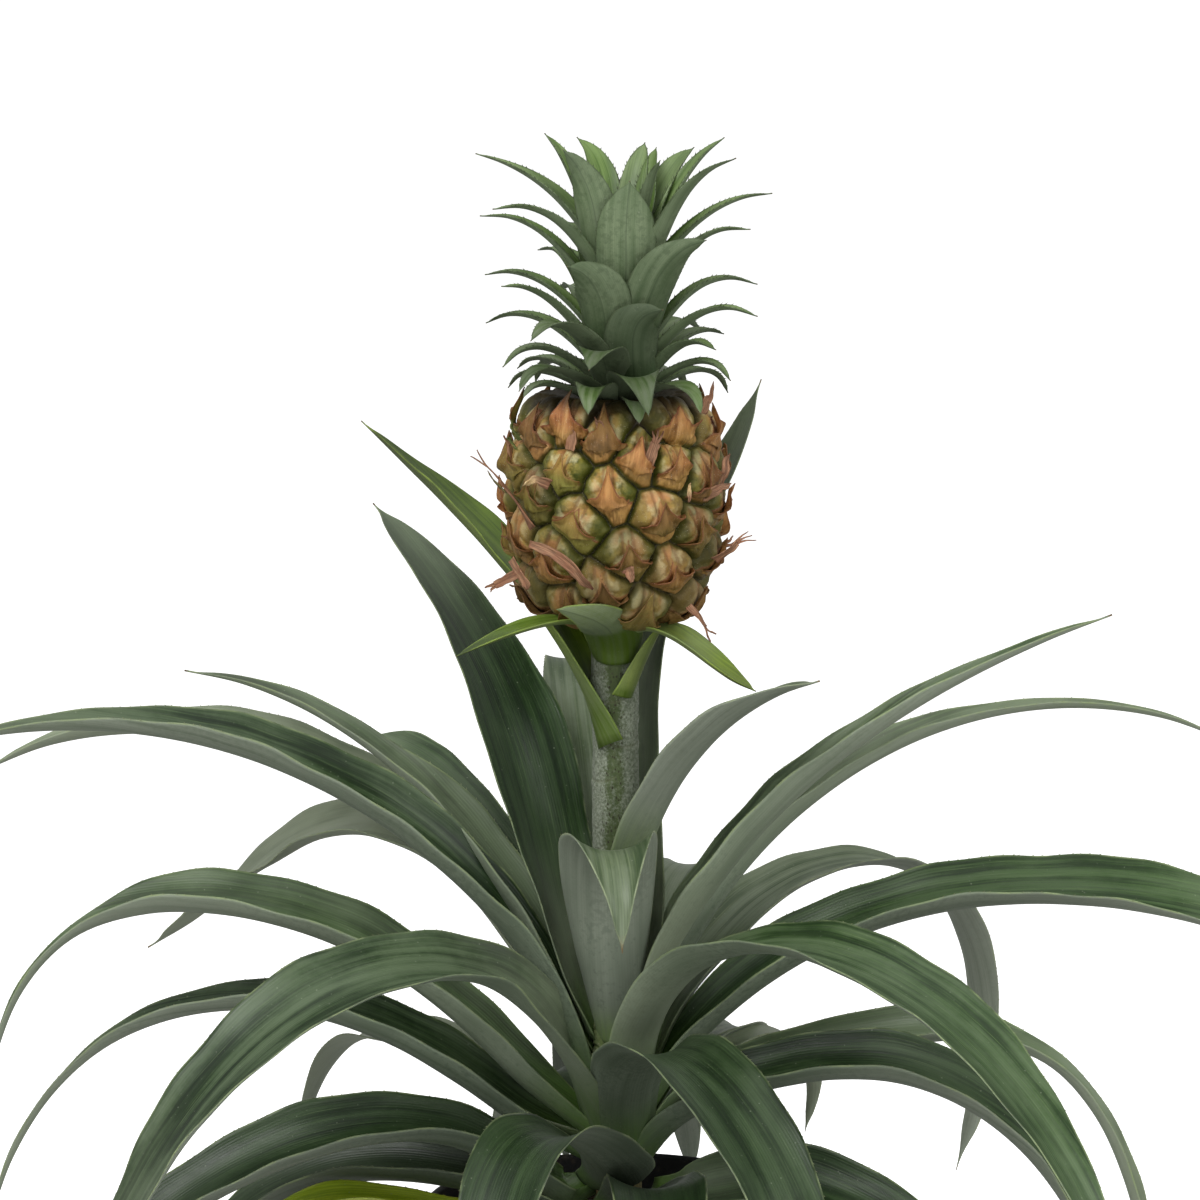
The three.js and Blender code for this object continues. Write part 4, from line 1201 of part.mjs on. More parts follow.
// pot
const potProfile = (g) => [
  [0, -g],
  [POT_FOOT_R + g, -g],
  [POT_FOOT_R + 1.2 + g, 1.2],
  [POT_BAND_R + g, POT_HEIGHT - POT_BAND_H - g],
  [POT_RIM_R - 0.6 + g, POT_HEIGHT - POT_BAND_H - g],
  [POT_RIM_R + g, POT_HEIGHT - POT_BAND_H + 1],
  [POT_RIM_R + g, POT_HEIGHT - 1],
  [POT_RIM_R - 0.8 + g, POT_HEIGHT + g],
  [POT_RIM_R - POT_WALL - g, POT_HEIGHT + g],
  [POT_RIM_R - POT_WALL - 0.6 - g, POT_HEIGHT - 1],
  [POT_RIM_R - POT_WALL - 1.2 - g, POT_HEIGHT - POT_BAND_H],
  [POT_BAND_R - POT_WALL - g, POT_HEIGHT - POT_BAND_H - 3],
  [POT_FOOT_R - POT_WALL + 1.4 - g, POT_FLOOR + g],
  [0, POT_FLOOR + g],
];
place("pot", turned(potProfile(0), 32), turned(potProfile(GAP), 32), 0x1c1d1e, 0.55);

// soil
const soilWall = (z) => {
  const a = POT_FOOT_R - POT_WALL + 1.4;
  const b = POT_BAND_R - POT_WALL;
  const top = POT_HEIGHT - POT_BAND_H - 3;
  if (z <= top) return a + ((b - a) * (z - POT_FLOOR)) / (top - POT_FLOOR) - 0.45;
  return b + ((POT_RIM_R - POT_WALL - 1.2 - b) * (z - top)) / 3 - 0.5;
};
const lump = (r, a) =>
  1.1 * Math.sin(0.21 * r * Math.cos(a) + 1.3) * Math.cos(0.19 * r * Math.sin(a) + 0.4) +
  0.7 * Math.sin(0.47 * r * Math.sin(a + 0.6)) - 0.02 * r;
const soilProfile = (g) => [
  [0, POT_FLOOR + 0.4],
  [soilWall(POT_FLOOR + 0.4), POT_FLOOR + 0.4],
  [soilWall(50), 50],
  [soilWall(94.5), 94.5],
  [soilWall(94.5), 100.4 + g],
  [54, 102.2 + g],
  [40, 103 + g],
  [26, 103.6 + g],
  [12.5, SOIL_Z + g],
  [0, SOIL_Z + g],
];
const soilShape = (r, z, a) => [r, r < 13 || z < 99 ? z : z + lump(r, a), 0];
place("soil", turned(soilProfile(0), 22, soilShape), turned(soilProfile(GAP), 22, soilShape), 0x2b221a, 0.95);

// short stem that carries the rosette
const stemProfile = (g) => [
  [0, SOIL_Z + GAP - g],
  [STEM_R + 0.8 + g, SOIL_Z + GAP - g],
  [STEM_R + g, SOIL_Z + 12],
  [STEM_R + g, STEM_TOP - 6],
  [STEM_R - 0.5 + g, STEM_TOP + g],
  [0, STEM_TOP + g],
];
place("rosette_stem", turned(stemProfile(0), 16), turned(stemProfile(GAP), 16), 0x5f7a45, 0.7);

// fruit stalk, leaning a little towards the fruit's middle
const lean = (z) => (FRUIT_X * (z - STEM_TOP)) / (FRUIT_BASE_Z - STEM_TOP);
const stalkProfile = (g) => [
  [0, STEM_TOP + GAP * 1.2 - g],
  [STALK_R + 0.5 + g, STEM_TOP + GAP * 1.2 - g],
  [STALK_R + 0.2 + g, STEM_TOP + 22],
  [STALK_R - 0.1 + g, STEM_TOP + 44],
  [STALK_R + 0.3 + g, STEM_TOP + 66],
  [STALK_R - 0.1 + g, STEM_TOP + 88],
  [STALK_R + 0.2 + g, STEM_TOP + 112],
  [STALK_R + g, STALK_TOP + g],
  [0, STALK_TOP + g],
];
const leaning = (r, z) => [r, z, lean(z)];
place("fruit_stalk", turned(stalkProfile(0), 18, leaning), turned(stalkProfile(GAP), 18, leaning), 0x8b9a7c, 0.8);

// fruit: one fleshy body, its skin raised in a six-sided eye at every point
// of the spiral
const FRUIT_R = [
  [-4, 8], [0, 15.5], [4, 21.6], [9, 26.2], [16, 29.4], [26, 32.4], [38, 34],
  [50, 34.2], [59, 33], [66, 30.6], [71, 28], [77, 24.5], [84, 19],
];
const FRUIT_Z = [
  [-4, 314.6], [0, 315.4], [4, 318.2], [9, 323], [71, 385], [77, 389.6], [84, 391],
];
function along(table, h) {
  for (let i = 1; i < table.length; i++)
    if (h <= table[i][0] || i === table.length - 1) {
      const [h0, v0] = table[i - 1];
      const [h1, v1] = table[i];
      return v0 + ((v1 - v0) * (h - h0)) / (h1 - h0);
    }
  return table[0][1];
}
function skin(a, h, out) {
  const r = along(FRUIT_R, h);
  const z = along(FRUIT_Z, h);
  const r1 = along(FRUIT_R, h + 1) - along(FRUIT_R, h - 1);
  const z1 = along(FRUIT_Z, h + 1) - along(FRUIT_Z, h - 1);
  const l = Math.hypot(r1, z1);
  const rr = r + (out * z1) / l;
  return new THREE.Vector3(
    FRUIT_X + rr * Math.cos(a),
    rr * Math.sin(a),
    z - (out * r1) / l,
  );
}
const eyeAt = (i) => [EYE_START + i * EYE_TURN, EYE_FIRST + i * EYE_PITCH];
function near(a, ref) {
  while (a - ref > Math.PI) a -= 2 * Math.PI;
  while (a - ref < -Math.PI) a += 2 * Math.PI;
  return a;
}
function middle(list, ref) {
  let a = 0;
  let h = 0;
  for (const i of list) {
    const e = eyeAt(i);
    a += near(e[0], ref) / list.length;
    h += e[1] / list.length;
  }
  return [a, h];
}
const CORNERS = [
  ["A", 0], ["B", -8], ["A", -13], ["B", -13], ["A", -5], ["B", 0],
];
function cornerAt(i, k) {
  const [kind, d] = CORNERS[k];
  const j = i + d;
  return middle(
    kind === "A" ? [j, j + 5, j + 13] : [j, j + 8, j + 13],
    eyeAt(j)[0],
  );
}
function fruitSolid(grow) {
  const points = [];
  const faces = [];
  const seam = new Map();
  const corner = (kind, j) => {
    const key = kind + j;
    if (!seam.has(key)) {
      const ref = eyeAt(j)[0];
      const [a, h] = middle(
        kind === "A" ? [j, j + 5, j + 13] : [j, j + 8, j + 13],
        ref,
      );
      seam.set(key, points.length);
      points.push(skin(a, h, grow - 1.1));
    }
    return seam.get(key);
  };
  const used = new Map();
  for (let i = 0; i < EYES; i++) {
    const ring = CORNERS.map(([kind, d]) => corner(kind, i + d));
    const [a, h] = eyeAt(i);
    const top = points.length;
    points.push(skin(a, h + 0.6, grow + 2));
    ring.forEach((c, k) => {
      const d = ring[(k + 1) % 6];
      used.set(c + ">" + d, [c, d]);
    });
    const mid = ring.map((c, k) => {
      const e = cornerAt(i, k);
      const q = points.length;
      points.push(
        skin(a + (near(e[0], a) - a) * 0.66, h + (e[1] - h) * 0.66, grow + 1.2),
      );
      return q;
    });
    for (let k = 0; k < 6; k++) {
      const n = (k + 1) % 6;
      faces.push([top, mid[k], mid[n]]);
      faces.push([mid[k], ring[k], ring[n]], [mid[k], ring[n], mid[n]]);
    }
  }
  // close the two ends
  const open = [];
  for (const [key, [c, d]] of used) if (!used.has(d + ">" + c)) open.push([c, d]);
  for (const [test, z] of [
    [(p) => p.z < 350, 314.4 - grow],
    [(p) => p.z > 350, FRUIT_TOP_Z + grow],
  ]) {
    const hub = points.length;
    points.push(new THREE.Vector3(FRUIT_X, 0, z));
    const loop = open.filter(([c]) => test(points[c]));
    const inner = new Map();
    for (const [c] of loop) {
      const p = points[c];
      const r = Math.hypot(p.x - FRUIT_X, p.y);
      const k = (z > 350 ? 15 : 9) / r;
      inner.set(c, points.length);
      points.push(
        new THREE.Vector3(FRUIT_X + (p.x - FRUIT_X) * k, p.y * k, z),
      );
    }
    for (const [c, d] of loop) {
      faces.push([c, inner.get(d), d], [c, inner.get(c), inner.get(d)]);
      faces.push([inner.get(c), hub, inner.get(d)]);
    }
  }
  const body = new THREE.BufferGeometry();
  body.setAttribute(
    "position",
    new THREE.Float32BufferAttribute(points.flatMap((p) => [p.x, p.y, p.z]), 3),
  );
  body.setIndex(faces.flat());
  return solidOf(body);
}
place("fruit", fruitSolid(0), fruitSolid(GAP), 0xa9854a, 0.75);

// leaves of the rosette, the ones in front first
for (const [name, colour, table] of LEAVES)
  place(
    name,
    blade(table, LEAF_THICK, LEAF_EDGE, 29),
    blade(table, LEAF_THICK, LEAF_EDGE, 29, GAP),
    colour,
    0.6,
  );

// bracts on the fruit stalk
for (const [name, colour, table] of BRACTS)
  place(
    name,
    blade(table, CROWN_THICK, CROWN_EDGE, 11),
    blade(table, CROWN_THICK, CROWN_EDGE, 11, GAP),
    colour,
    0.6,
  );

// crown: the heart is the core with its inner leaves, grown together; the
// outer leaves stand around it
const coreProfile = (g) => [
  [0, FRUIT_TOP_Z + GAP * 1.3 - g],
  [10.2 + g, FRUIT_TOP_Z + GAP * 1.3 - g],
  [10.6 + g, 397],
  [9.2 + g, 410],
  [7 + g, 424],
  [4.6 + g, 438],
  [0, 449 + g],
];
const coreShape = (r, z) => [r, z, -1 + ((z - 388) * 4) / 60];
const inner = (g) =>
  Manifold.union([
    turned(coreProfile(g), 12, coreShape),
    ...CROWN_INNER.map((t) => blade(t, CROWN_THICK, CROWN_EDGE, 16, g, 3)),
  ]);
place("crown_heart", inner(0), inner(GAP), 0x64864f, 0.6, 0.3);
for (const [name, colour, table] of CROWN_OUTER)
  place(
    name,
    blade(table, CROWN_THICK, CROWN_EDGE, 14, 0, 3),
    blade(table, CROWN_THICK, CROWN_EDGE, 14, GAP, 3),
    colour,
    0.6,
  );

export default plant;
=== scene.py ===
import math

import bpy
import numpy as np
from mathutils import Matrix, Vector


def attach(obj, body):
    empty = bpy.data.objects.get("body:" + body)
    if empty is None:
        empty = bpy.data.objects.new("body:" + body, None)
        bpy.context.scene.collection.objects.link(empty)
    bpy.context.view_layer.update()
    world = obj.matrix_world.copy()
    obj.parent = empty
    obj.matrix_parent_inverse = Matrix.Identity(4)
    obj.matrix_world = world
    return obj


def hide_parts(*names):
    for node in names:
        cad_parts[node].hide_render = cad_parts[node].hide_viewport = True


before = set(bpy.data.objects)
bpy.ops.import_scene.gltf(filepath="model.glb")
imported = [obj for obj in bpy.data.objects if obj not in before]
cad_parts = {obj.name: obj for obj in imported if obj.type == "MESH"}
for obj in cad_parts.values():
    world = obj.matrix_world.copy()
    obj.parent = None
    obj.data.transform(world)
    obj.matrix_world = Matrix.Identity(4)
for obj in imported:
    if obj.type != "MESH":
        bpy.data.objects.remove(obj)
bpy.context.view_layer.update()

# Everything below is worked out in millimetres, in the frame of the CAD, and
# written to the meshes in metres.
MM = 0.001

# ---------------------------------------------------------------- dimensions
POT_HEIGHT, POT_RIM_R, POT_BAND_R, POT_BAND_H = 115.0, 66.0, 63.2, 17.0
POT_FOOT_R, POT_WALL, POT_FLOOR = 47.0, 1.8, 2.6
SOIL_Z = 104.5
STEM_R, STEM_TOP = 8.4, 181.5
STALK_R, STALK_TOP = 7.7, 313.8
FRUIT_BASE_Z, FRUIT_TOP_Z, FRUIT_X = 314.4, 388.5, -1.2

# Skin of the fruit: height along the skin, radius; and height, z.
FRUIT_R = [
    (-4, 8), (0, 15.5), (4, 21.6), (9, 26.2), (16, 29.4), (26, 32.4), (38, 34),
    (50, 34.2), (59, 33), (66, 30.6), (71, 28), (77, 24.5), (84, 19),
]
FRUIT_Z = [
    (-4, 314.6), (0, 315.4), (4, 318.2), (9, 323), (71, 385), (77, 389.6), (84, 391),
]

# Eyes of the fruit: angle round it in degrees, height along its skin.
EYES = [
    (-93.5, 48.5), (-97.4, 66.4), (-76.3, 59.8), (-64.6, 40.8), (-82.2, 27.4), (-110.9, 39.7),
    (-119.6, 54.9), (-138.7, 46.7), (-129.8, 25.5), (-97.1, 15.4), (-54.1, 22.3), (-38.6, 34.7),
    (-55, 57.1), (-48.6, 69.3), (-32.9, 51.1), (-145.4, 66.4), (-120.7, 70.5), (-156.5, 30.9),
    (-161.1, 55.5), (-69.6, 8), (-122.9, 8.1), (75.5, 49.6), (125.7, 26.7), (13.5, 51),
    (62.3, 9.4), (165.3, 26.1), (88.2, 21.4), (43.7, 48.3), (22.9, 11.9), (-10.8, 65.3),
    (-164.9, 11.6), (143.5, 41.7), (94, 36.8), (-22.3, 8.5), (174.4, 68.2), (22.8, 31.4),
    (56.7, 29.8), (-8.3, 41.5), (-10.1, 23.7), (26.2, 66.7), (-179.2, 41.2), (134.9, 65.3),
    (162.1, 54), (111.5, 8.9), (153.1, 9.9), (114.4, 49.3), (97.9, 65.9), (61.5, 66.2),
]
EYE_NOTES = {0: {'gold': 0.75, 'green': 0.1, 'rust': 0.5, 'lean': 0, 'tip': 8.5, 'big': 1.1}, 1: {'gold': 0.9, 'green': 0.0, 'rust': 0.2, 'lean': 0.05, 'tip': 9, 'big': 1.05}, 2: {'gold': 0.5, 'green': 0.2, 'rust': 0.7, 'lean': -0.25, 'tip': 7, 'big': 1.05}, 3: {'gold': 0.4, 'green': 0.5, 'rust': 0.5, 'lean': 0.2, 'tip': 5, 'big': 1.05}, 4: {'gold': 0.4, 'green': 0.6, 'rust': 0.5, 'lean': 0.1, 'tip': 6, 'big': 1.15}, 5: {'gold': 0.7, 'green': 0.75, 'rust': 0.7, 'lean': -0.35, 'tip': 4, 'big': 1.05}, 6: {'gold': 0.8, 'green': 1.0, 'rust': 0.1, 'lean': -0.2, 'tip': 6, 'big': 1.1}, 7: {'gold': 0.3, 'green': 0.8, 'rust': 0.5, 'lean': -0.2, 'tip': 5, 'big': 1.0}, 8: {'gold': 0.2, 'green': 0.3, 'rust': 0.4, 'lean': -0.3, 'tip': 5, 'big': 1.05}, 9: {'gold': 0.4, 'green': 0.4, 'rust': 0.3, 'lean': 0.1, 'tip': 6, 'big': 1.0}, 10: {'gold': 0.2, 'green': 0.3, 'rust': 0.5, 'lean': 0.3, 'tip': 4, 'big': 1.05}, 11: {'gold': 0.2, 'green': 0.6, 'rust': 0.3, 'lean': 0.3, 'tip': 6, 'big': 1.1}, 12: {'gold': 0.6, 'green': 0.3, 'rust': 0.3, 'lean': 0.1, 'tip': 5, 'big': 0.95}, 13: {'gold': 0.3, 'green': 0.4, 'rust': 0.4, 'lean': 0.0, 'tip': 3, 'big': 1.0}, 14: {'gold': 0.2, 'green': 0.1, 'rust': 0.9, 'lean': 0.2, 'tip': 7, 'big': 1.1}, 15: {'gold': 0.3, 'green': 0.0, 'rust': 0.6, 'lean': -0.1, 'tip': 7, 'big': 1.0}, 16: {'gold': 0.2, 'green': 0.2, 'rust': 0.7, 'lean': 0.0, 'tip': 7, 'big': 0.9}}

# Papery bract tips in view: pixels and depth along each, widths, twist.
TIPS = [
    {'at': [(535, 505, -24), (515, 476, -22), (497, 452, -24), (475, 434, -22)], 'w': [2.2, 1.7, 1.1, 0.8], 'twist': 0.9, 'seed': 1, 'split': 2},
    {'at': [(508, 480, -14), (498, 470, -14), (489, 460, -12)], 'w': [1.2, 0.8, 0.3], 'tone': 0.2, 'seed': 2},
    {'at': [(522, 430, -12), (514, 418, -13), (512, 408, -13)], 'w': [1.4, 0.8, 0.3], 'tone': 0.0, 'seed': 4},
    {'at': [(520, 440, -14), (512, 428, -15), (508, 424, -16)], 'w': [1.4, 0.8, 0.3], 'tone': 0.0, 'seed': 5},
    {'at': [(524, 552, -20), (505, 560, -21), (494, 565, -22), (487, 568, -22)], 'w': [1.6, 1.5, 1.2, 0.5], 'tone': 0.7, 'seed': 6, 'split': 2},
    {'at': [(531, 516, -29), (553, 521, -33), (575, 535, -36), (593, 556, -35)], 'w': [1.0, 1.8, 2.0, 2.4], 'tone': 1.0, 'seed': 7, 'twist': 0.2},
    {'at': [(513, 536, -24), (522, 546, -28), (531, 560, -31)], 'w': [1.2, 1.6, 2.0], 'tone': 1.0, 'seed': 8, 'twist': 0.2},
    {'at': [(712, 540, -20), (726, 530, -21), (738, 522, -20), (752, 515, -19)], 'w': [2.2, 1.4, 1.3, 1.0], 'tone': 0.9, 'seed': 9, 'split': 3, 'twist': 0.3},
    {'at': [(716, 480, -14), (722, 462, -14), (727, 442, -13)], 'w': [2.2, 1.6, 0.9], 'tone': 0.9, 'seed': 10, 'twist': 0.4},
    {'at': [(700, 478, -20), (716, 472, -19), (729, 468, -18)], 'w': [2.4, 1.6, 0.6], 'tone': 0.9, 'seed': 11, 'twist': 0.2},
    {'at': [(687, 584, -22), (698, 596, -23), (706, 606, -24), (712, 615, -24)], 'w': [1.4, 1.7, 1.5, 0.6], 'tone': 0.9, 'seed': 12, 'twist': 0.3, 'split': 2},
    {'at': [(700, 402, -14), (706, 388, -14), (713, 372, -13)], 'w': [2.0, 1.8, 0.7], 'tone': 1.0, 'seed': 13, 'twist': 0.2},
    {'at': [(645, 442, -33), (650, 426, -33), (655, 412, -32), (657, 400, -31)], 'w': [1.9, 1.8, 1.8, 1.2], 'tone': 1.0, 'seed': 14, 'twist': 0.2, 'split': 3},
    {'at': [(571, 424, -30), (573, 412, -30), (574, 404, -28)], 'w': [1.8, 1.5, 0.7], 'tone': 1.0, 'seed': 15, 'twist': 0.2},
    {'at': [(551, 456, -31), (540, 451, -32), (530, 452, -32), (524, 458, -31)], 'w': [1.8, 1.4, 1.3, 0.8], 'tone': 1.0, 'pale': 1.0, 'seed': 16, 'twist': 0.5},
    {'at': [(631, 546, -36.5), (629, 537, -37), (627, 530, -37)], 'w': [0.6, 1.6, 2.4], 'tone': 1.0, 'seed': 17, 'twist': 0.0},
    {'at': [(687, 478, -26), (688, 468, -26.5), (688, 460, -26)], 'w': [0.5, 0.8, 0.5], 'tone': 1.0, 'pale': 1.0, 'seed': 18, 'twist': 0.0},
]

# Leaf tables: midrib x, y, z, half width, half angle of the channel, and the
# unit vector across the blade; with each leaf's slot, seed and look.
LEAVES = [
    ("leaf_front_right_low", "leaf_dark", 17, {'bloom': 0.25, 'painted_shade': 0.32}, [
        (4.01, -8.54, 135.19, 12, 1.3, 0.99, 0.091, 0.105),
        (3.84, -19.21, 154.63, 14.19, 1.15, 0.984, 0.17, 0.061),
        (6.26, -33.87, 170.09, 16.34, 0.95, 0.969, 0.246, 0.028),
        (11.25, -50.96, 180.22, 17.25, 0.76, 0.943, 0.334, 0.005),
        (18.66, -68.96, 183.9, 17.44, 0.63, 0.907, 0.422, -0),
        (27.69, -86.56, 181.24, 17.29, 0.59, 0.874, 0.485, 0.011),
        (37.33, -102.51, 172.77, 16.77, 0.56, 0.847, 0.53, 0.031),
        (46.59, -115.71, 159.15, 15.34, 0.54, 0.832, 0.553, 0.051),
        (54.42, -125.73, 141.77, 12.38, 0.52, 0.838, 0.543, 0.061),
        (59.78, -132.37, 122.27, 7.64, 0.51, 0.873, 0.485, 0.047),
        (61.64, -135.47, 102.3, 0.5, 0.5, 0.951, 0.307, -0.031),
    ]),
    ("leaf_front_left_low", "leaf_dark", 18, {'bloom': 0.2, 'painted_shade': 0.42, 'painted_shade_tip': -0.1}, [
        (-4.84, -8.19, 123.42, 12, 1.3, 0.895, 0.446, -0.023),
        (-1.13, -22.29, 128.1, 14.52, 1.13, 0.994, -0.034, -0.1),
        (-3.47, -35.29, 137.5, 16.07, 0.97, 0.923, -0.381, -0.055),
        (-9.64, -48.13, 147.98, 16.77, 0.83, 0.863, -0.504, -0.024),
        (-17.45, -61.71, 155.97, 16.89, 0.71, 0.868, -0.496, -0.015),
        (-25.19, -76.01, 158.94, 16.72, 0.64, 0.889, -0.458, -0),
        (-31.84, -89.9, 155.71, 16.11, 0.6, 0.91, -0.413, 0.031),
        (-36.78, -102.25, 146.28, 14.4, 0.56, 0.915, -0.398, 0.061),
        (-40.02, -111.98, 132.39, 11.2, 0.53, 0.906, -0.417, 0.076),
        (-41.65, -118.05, 115.96, 6.82, 0.51, 0.876, -0.477, 0.066),
        (-41.73, -119.4, 98.9, 0.5, 0.5, 0.757, -0.653, -0.023),
    ]),
    ("leaf_front_lowest", "leaf_dark", 19, {'bloom': 0.1, 'painted_shade': 0.6}, [
        (1.06, -9.46, 113.36, 12, 1.3, 0.886, 0.459, -0.066),
        (5.67, -19.9, 120.53, 13.88, 1.11, 0.953, 0.301, -0.034),
        (8.81, -31.88, 127.41, 15.32, 0.94, 0.982, 0.19, -0.013),
        (10.82, -44.9, 133.26, 16.37, 0.8, 0.993, 0.115, -0.001),
        (12.03, -58.46, 137.34, 16.65, 0.67, 0.998, 0.068, 0.002),
        (12.77, -72.06, 138.89, 16.51, 0.61, 0.999, 0.045, 0),
        (13.36, -85.19, 137.17, 15.68, 0.57, 0.999, 0.049, -0.005),
        (14.01, -97.28, 131.77, 13.98, 0.55, 0.998, 0.065, -0.007),
        (14.72, -107.6, 122.91, 11.35, 0.53, 0.996, 0.085, -0.005),
        (15.45, -115.43, 110.89, 7.34, 0.51, 0.994, 0.111, 0.002),
        (16.18, -120.02, 95.99, 0.5, 0.5, 0.989, 0.148, 0.018),
    ]),
    ("leaf_front_inner", "leaf_grey", 8, {'bloom': 0.35, 'painted_shade': 0.1, 'dry': 0.6, 'painted_shade_base': 0.35, 'painted_shade_tip': 0.05}, [
        (-0.31, -8.46, 172.17, 9, 1.3, 0.976, -0.209, 0.068),
        (-1.55, -11.1, 183.88, 11.32, 1.26, 0.984, -0.167, 0.054),
        (-2.5, -13.7, 196.75, 13.66, 1.2, 0.992, -0.12, 0.034),
        (-3.14, -16.98, 210.01, 16.18, 1.13, 0.997, -0.073, 0.015),
        (-3.45, -21.67, 222.89, 18.13, 1.06, 1, -0.028, -0.002),
        (-3.39, -28.49, 234.62, 18.9, 0.99, 1, 0.012, -0.013),
        (-2.93, -37.67, 243.71, 18.13, 0.93, 0.998, 0.058, -0.017),
        (-1.94, -48.49, 247.35, 14.69, 0.88, 0.994, 0.111, -0),
        (-0.56, -59.4, 243.91, 9.62, 0.84, 0.992, 0.12, 0.028),
        (0.68, -67.55, 234.21, 4.38, 0.81, 0.996, 0.082, 0.04),
        (1.19, -69.93, 219.34, 0.5, 0.8, 0.999, -0.049, -0.007),
    ]),
    ("leaf_right_front_arch", "leaf_green", 13, {'bloom': 0.4, 'painted_shade': 0.15, 'painted_shade_base': -0.9, 'painted_shade_tip': -0.2}, [
        (6.21, -5.76, 147.37, 11, 1.3, 0.829, 0.548, 0.107),
        (10.1, -14.69, 178.45, 13.22, 1.14, 0.769, 0.637, 0.047),
        (21.99, -29.15, 200.46, 15.46, 1.01, 0.731, 0.682, 0.018),
        (39.4, -47.31, 213.7, 16.57, 0.88, 0.703, 0.711, 0.02),
        (59.85, -67.32, 218.48, 17.5, 0.78, 0.69, 0.721, 0.068),
        (81.29, -87.63, 215.37, 17.72, 0.74, 0.694, 0.716, 0.076),
        (102.15, -107.01, 205.28, 16.5, 0.7, 0.69, 0.723, 0.033),
        (120.94, -124.31, 189.13, 13.84, 0.67, 0.678, 0.735, 0.003),
        (136.72, -138.78, 168.03, 9.54, 0.63, 0.675, 0.738, -0.002),
        (148.71, -149.84, 143.16, 5.86, 0.61, 0.676, 0.737, -0.003),
        (156.15, -156.9, 115.71, 0.5, 0.6, 0.682, 0.731, -0.007),
    ]),
    ("leaf_left_front_arch", "leaf_dark", 23, {'bloom': 0.5, 'painted_shade': 0.05, 'painted_shade_base': -0.7, 'painted_shade_tip': -0.3}, [
        (-9.18, -5.64, 142.84, 11, 1.3, 0.589, -0.807, -0.04),
        (-17.79, -15.25, 169.61, 15.33, 1.03, 0.19, -0.908, -0.373),
        (-30.75, -30, 191.98, 17.24, 0.93, 0.234, -0.818, -0.525),
        (-48.8, -47.57, 206.24, 18.16, 0.84, 0.557, -0.778, -0.291),
        (-70.9, -65.61, 210.75, 18.47, 0.79, 0.586, -0.773, -0.241),
        (-94.26, -81.77, 205.79, 18.5, 0.74, 0.583, -0.779, -0.23),
        (-116.2, -93.89, 191.9, 18.43, 0.7, 0.51, -0.852, -0.118),
        (-135.47, -101.93, 170.97, 17.32, 0.66, 0.397, -0.916, -0.053),
        (-151.57, -106.93, 145.61, 13.63, 0.62, 0.35, -0.935, -0.054),
        (-164.05, -109.97, 118.45, 8.59, 0.6, 0.359, -0.932, -0.056),
        (-172.44, -112.12, 92.1, 0.5, 0.6, 0.429, -0.903, -0.031),
    ]),
    ("leaf_right_long", "leaf_green", 12, {'bloom': 0.25, 'painted_shade': 0.35, 'painted_shade_tip': -0.8}, [
        (8.33, 0.09, 142.84, 10, 1.3, -0.015, 1, 0.007),
        (24.37, 0.25, 168.73, 14.58, 1.33, -0.069, 0.997, 0.042),
        (44.37, 0.65, 188.98, 16.89, 1.28, -0.142, 0.979, 0.146),
        (67.58, 1.28, 203.93, 18.05, 1.23, -0.112, 0.98, 0.163),
        (93.25, 2.1, 213.93, 18.45, 1.19, -0.079, 0.984, 0.161),
        (120.64, 3.06, 219.3, 18.49, 1.14, -0.056, 0.983, 0.177),
        (148.98, 4.13, 220.41, 18.31, 1.1, -0.03, 0.97, 0.242),
        (177.55, 5.29, 217.58, 17.27, 1.06, 0.017, 0.941, 0.339),
        (205.58, 6.48, 211.17, 13.89, 1.01, 0.084, 0.904, 0.419),
        (232.32, 7.69, 201.51, 8.06, 0.98, 0.083, 0.952, 0.295),
        (257.04, 8.86, 188.94, 0.5, 0.95, -0.048, 0.999, 0.002),
    ]),
    ("leaf_left_long", "leaf_dark", 1, {'bloom': 0.4, 'painted_shade_base': 0.2, 'painted_shade': 0.1, 'painted_shade_tip': -0.35}, [
        (-10.05, -1.12, 149.14, 9, 1.3, 0.059, -0.998, 0.004),
        (-18.97, -1.62, 177.68, 11.7, 1.35, 0.067, -0.998, 0.001),
        (-32.75, -2.58, 203.36, 15.99, 1.3, -0.018, -0.998, -0.06),
        (-50.72, -3.93, 225.9, 17.64, 1.25, -0.1, -0.981, -0.166),
        (-72.21, -5.56, 245.01, 18.38, 1.2, -0.089, -0.972, -0.217),
        (-96.55, -7.39, 260.41, 18.49, 1.16, -0.013, -0.986, -0.164),
        (-123.06, -9.33, 271.8, 18.31, 1.12, 0.043, -0.996, -0.083),
        (-151.09, -11.3, 278.91, 15.61, 1.06, 0.067, -0.998, -0.01),
        (-179.94, -13.21, 281.44, 9.24, 1.01, 0.063, -0.998, 0),
        (-208.96, -14.97, 279.1, 4.32, 0.97, 0.057, -0.998, -0.001),
        (-237.48, -16.49, 271.62, 0.5, 0.95, 0.05, -0.999, -0.002),
    ]),
    ("leaf_right_upper", "leaf_green", 9, {'bloom': 0.6, 'painted_shade': -0.2, 'painted_shade_base': -0.9, 'painted_shade_tip': 0.2}, [
        (8.4, -0.53, 166.03, 9, 1.3, 0.077, 0.997, 0.003),
        (14.17, -1.03, 188.27, 13.6, 1.35, 0.076, 0.997, 0.002),
        (23.05, -1.75, 208.99, 16.12, 1.29, 0.072, 0.997, 0.003),
        (34.69, -2.64, 228.17, 17.3, 1.23, 0.071, 0.997, 0.003),
        (48.7, -3.68, 245.81, 16.79, 1.18, 0.072, 0.997, 0.001),
        (64.72, -4.83, 261.9, 15.33, 1.14, 0.071, 0.997, 0),
        (82.37, -6.08, 276.45, 12.76, 1.1, 0.07, 0.998, -0),
        (101.3, -7.38, 289.44, 9.54, 1.06, 0.068, 0.998, -0),
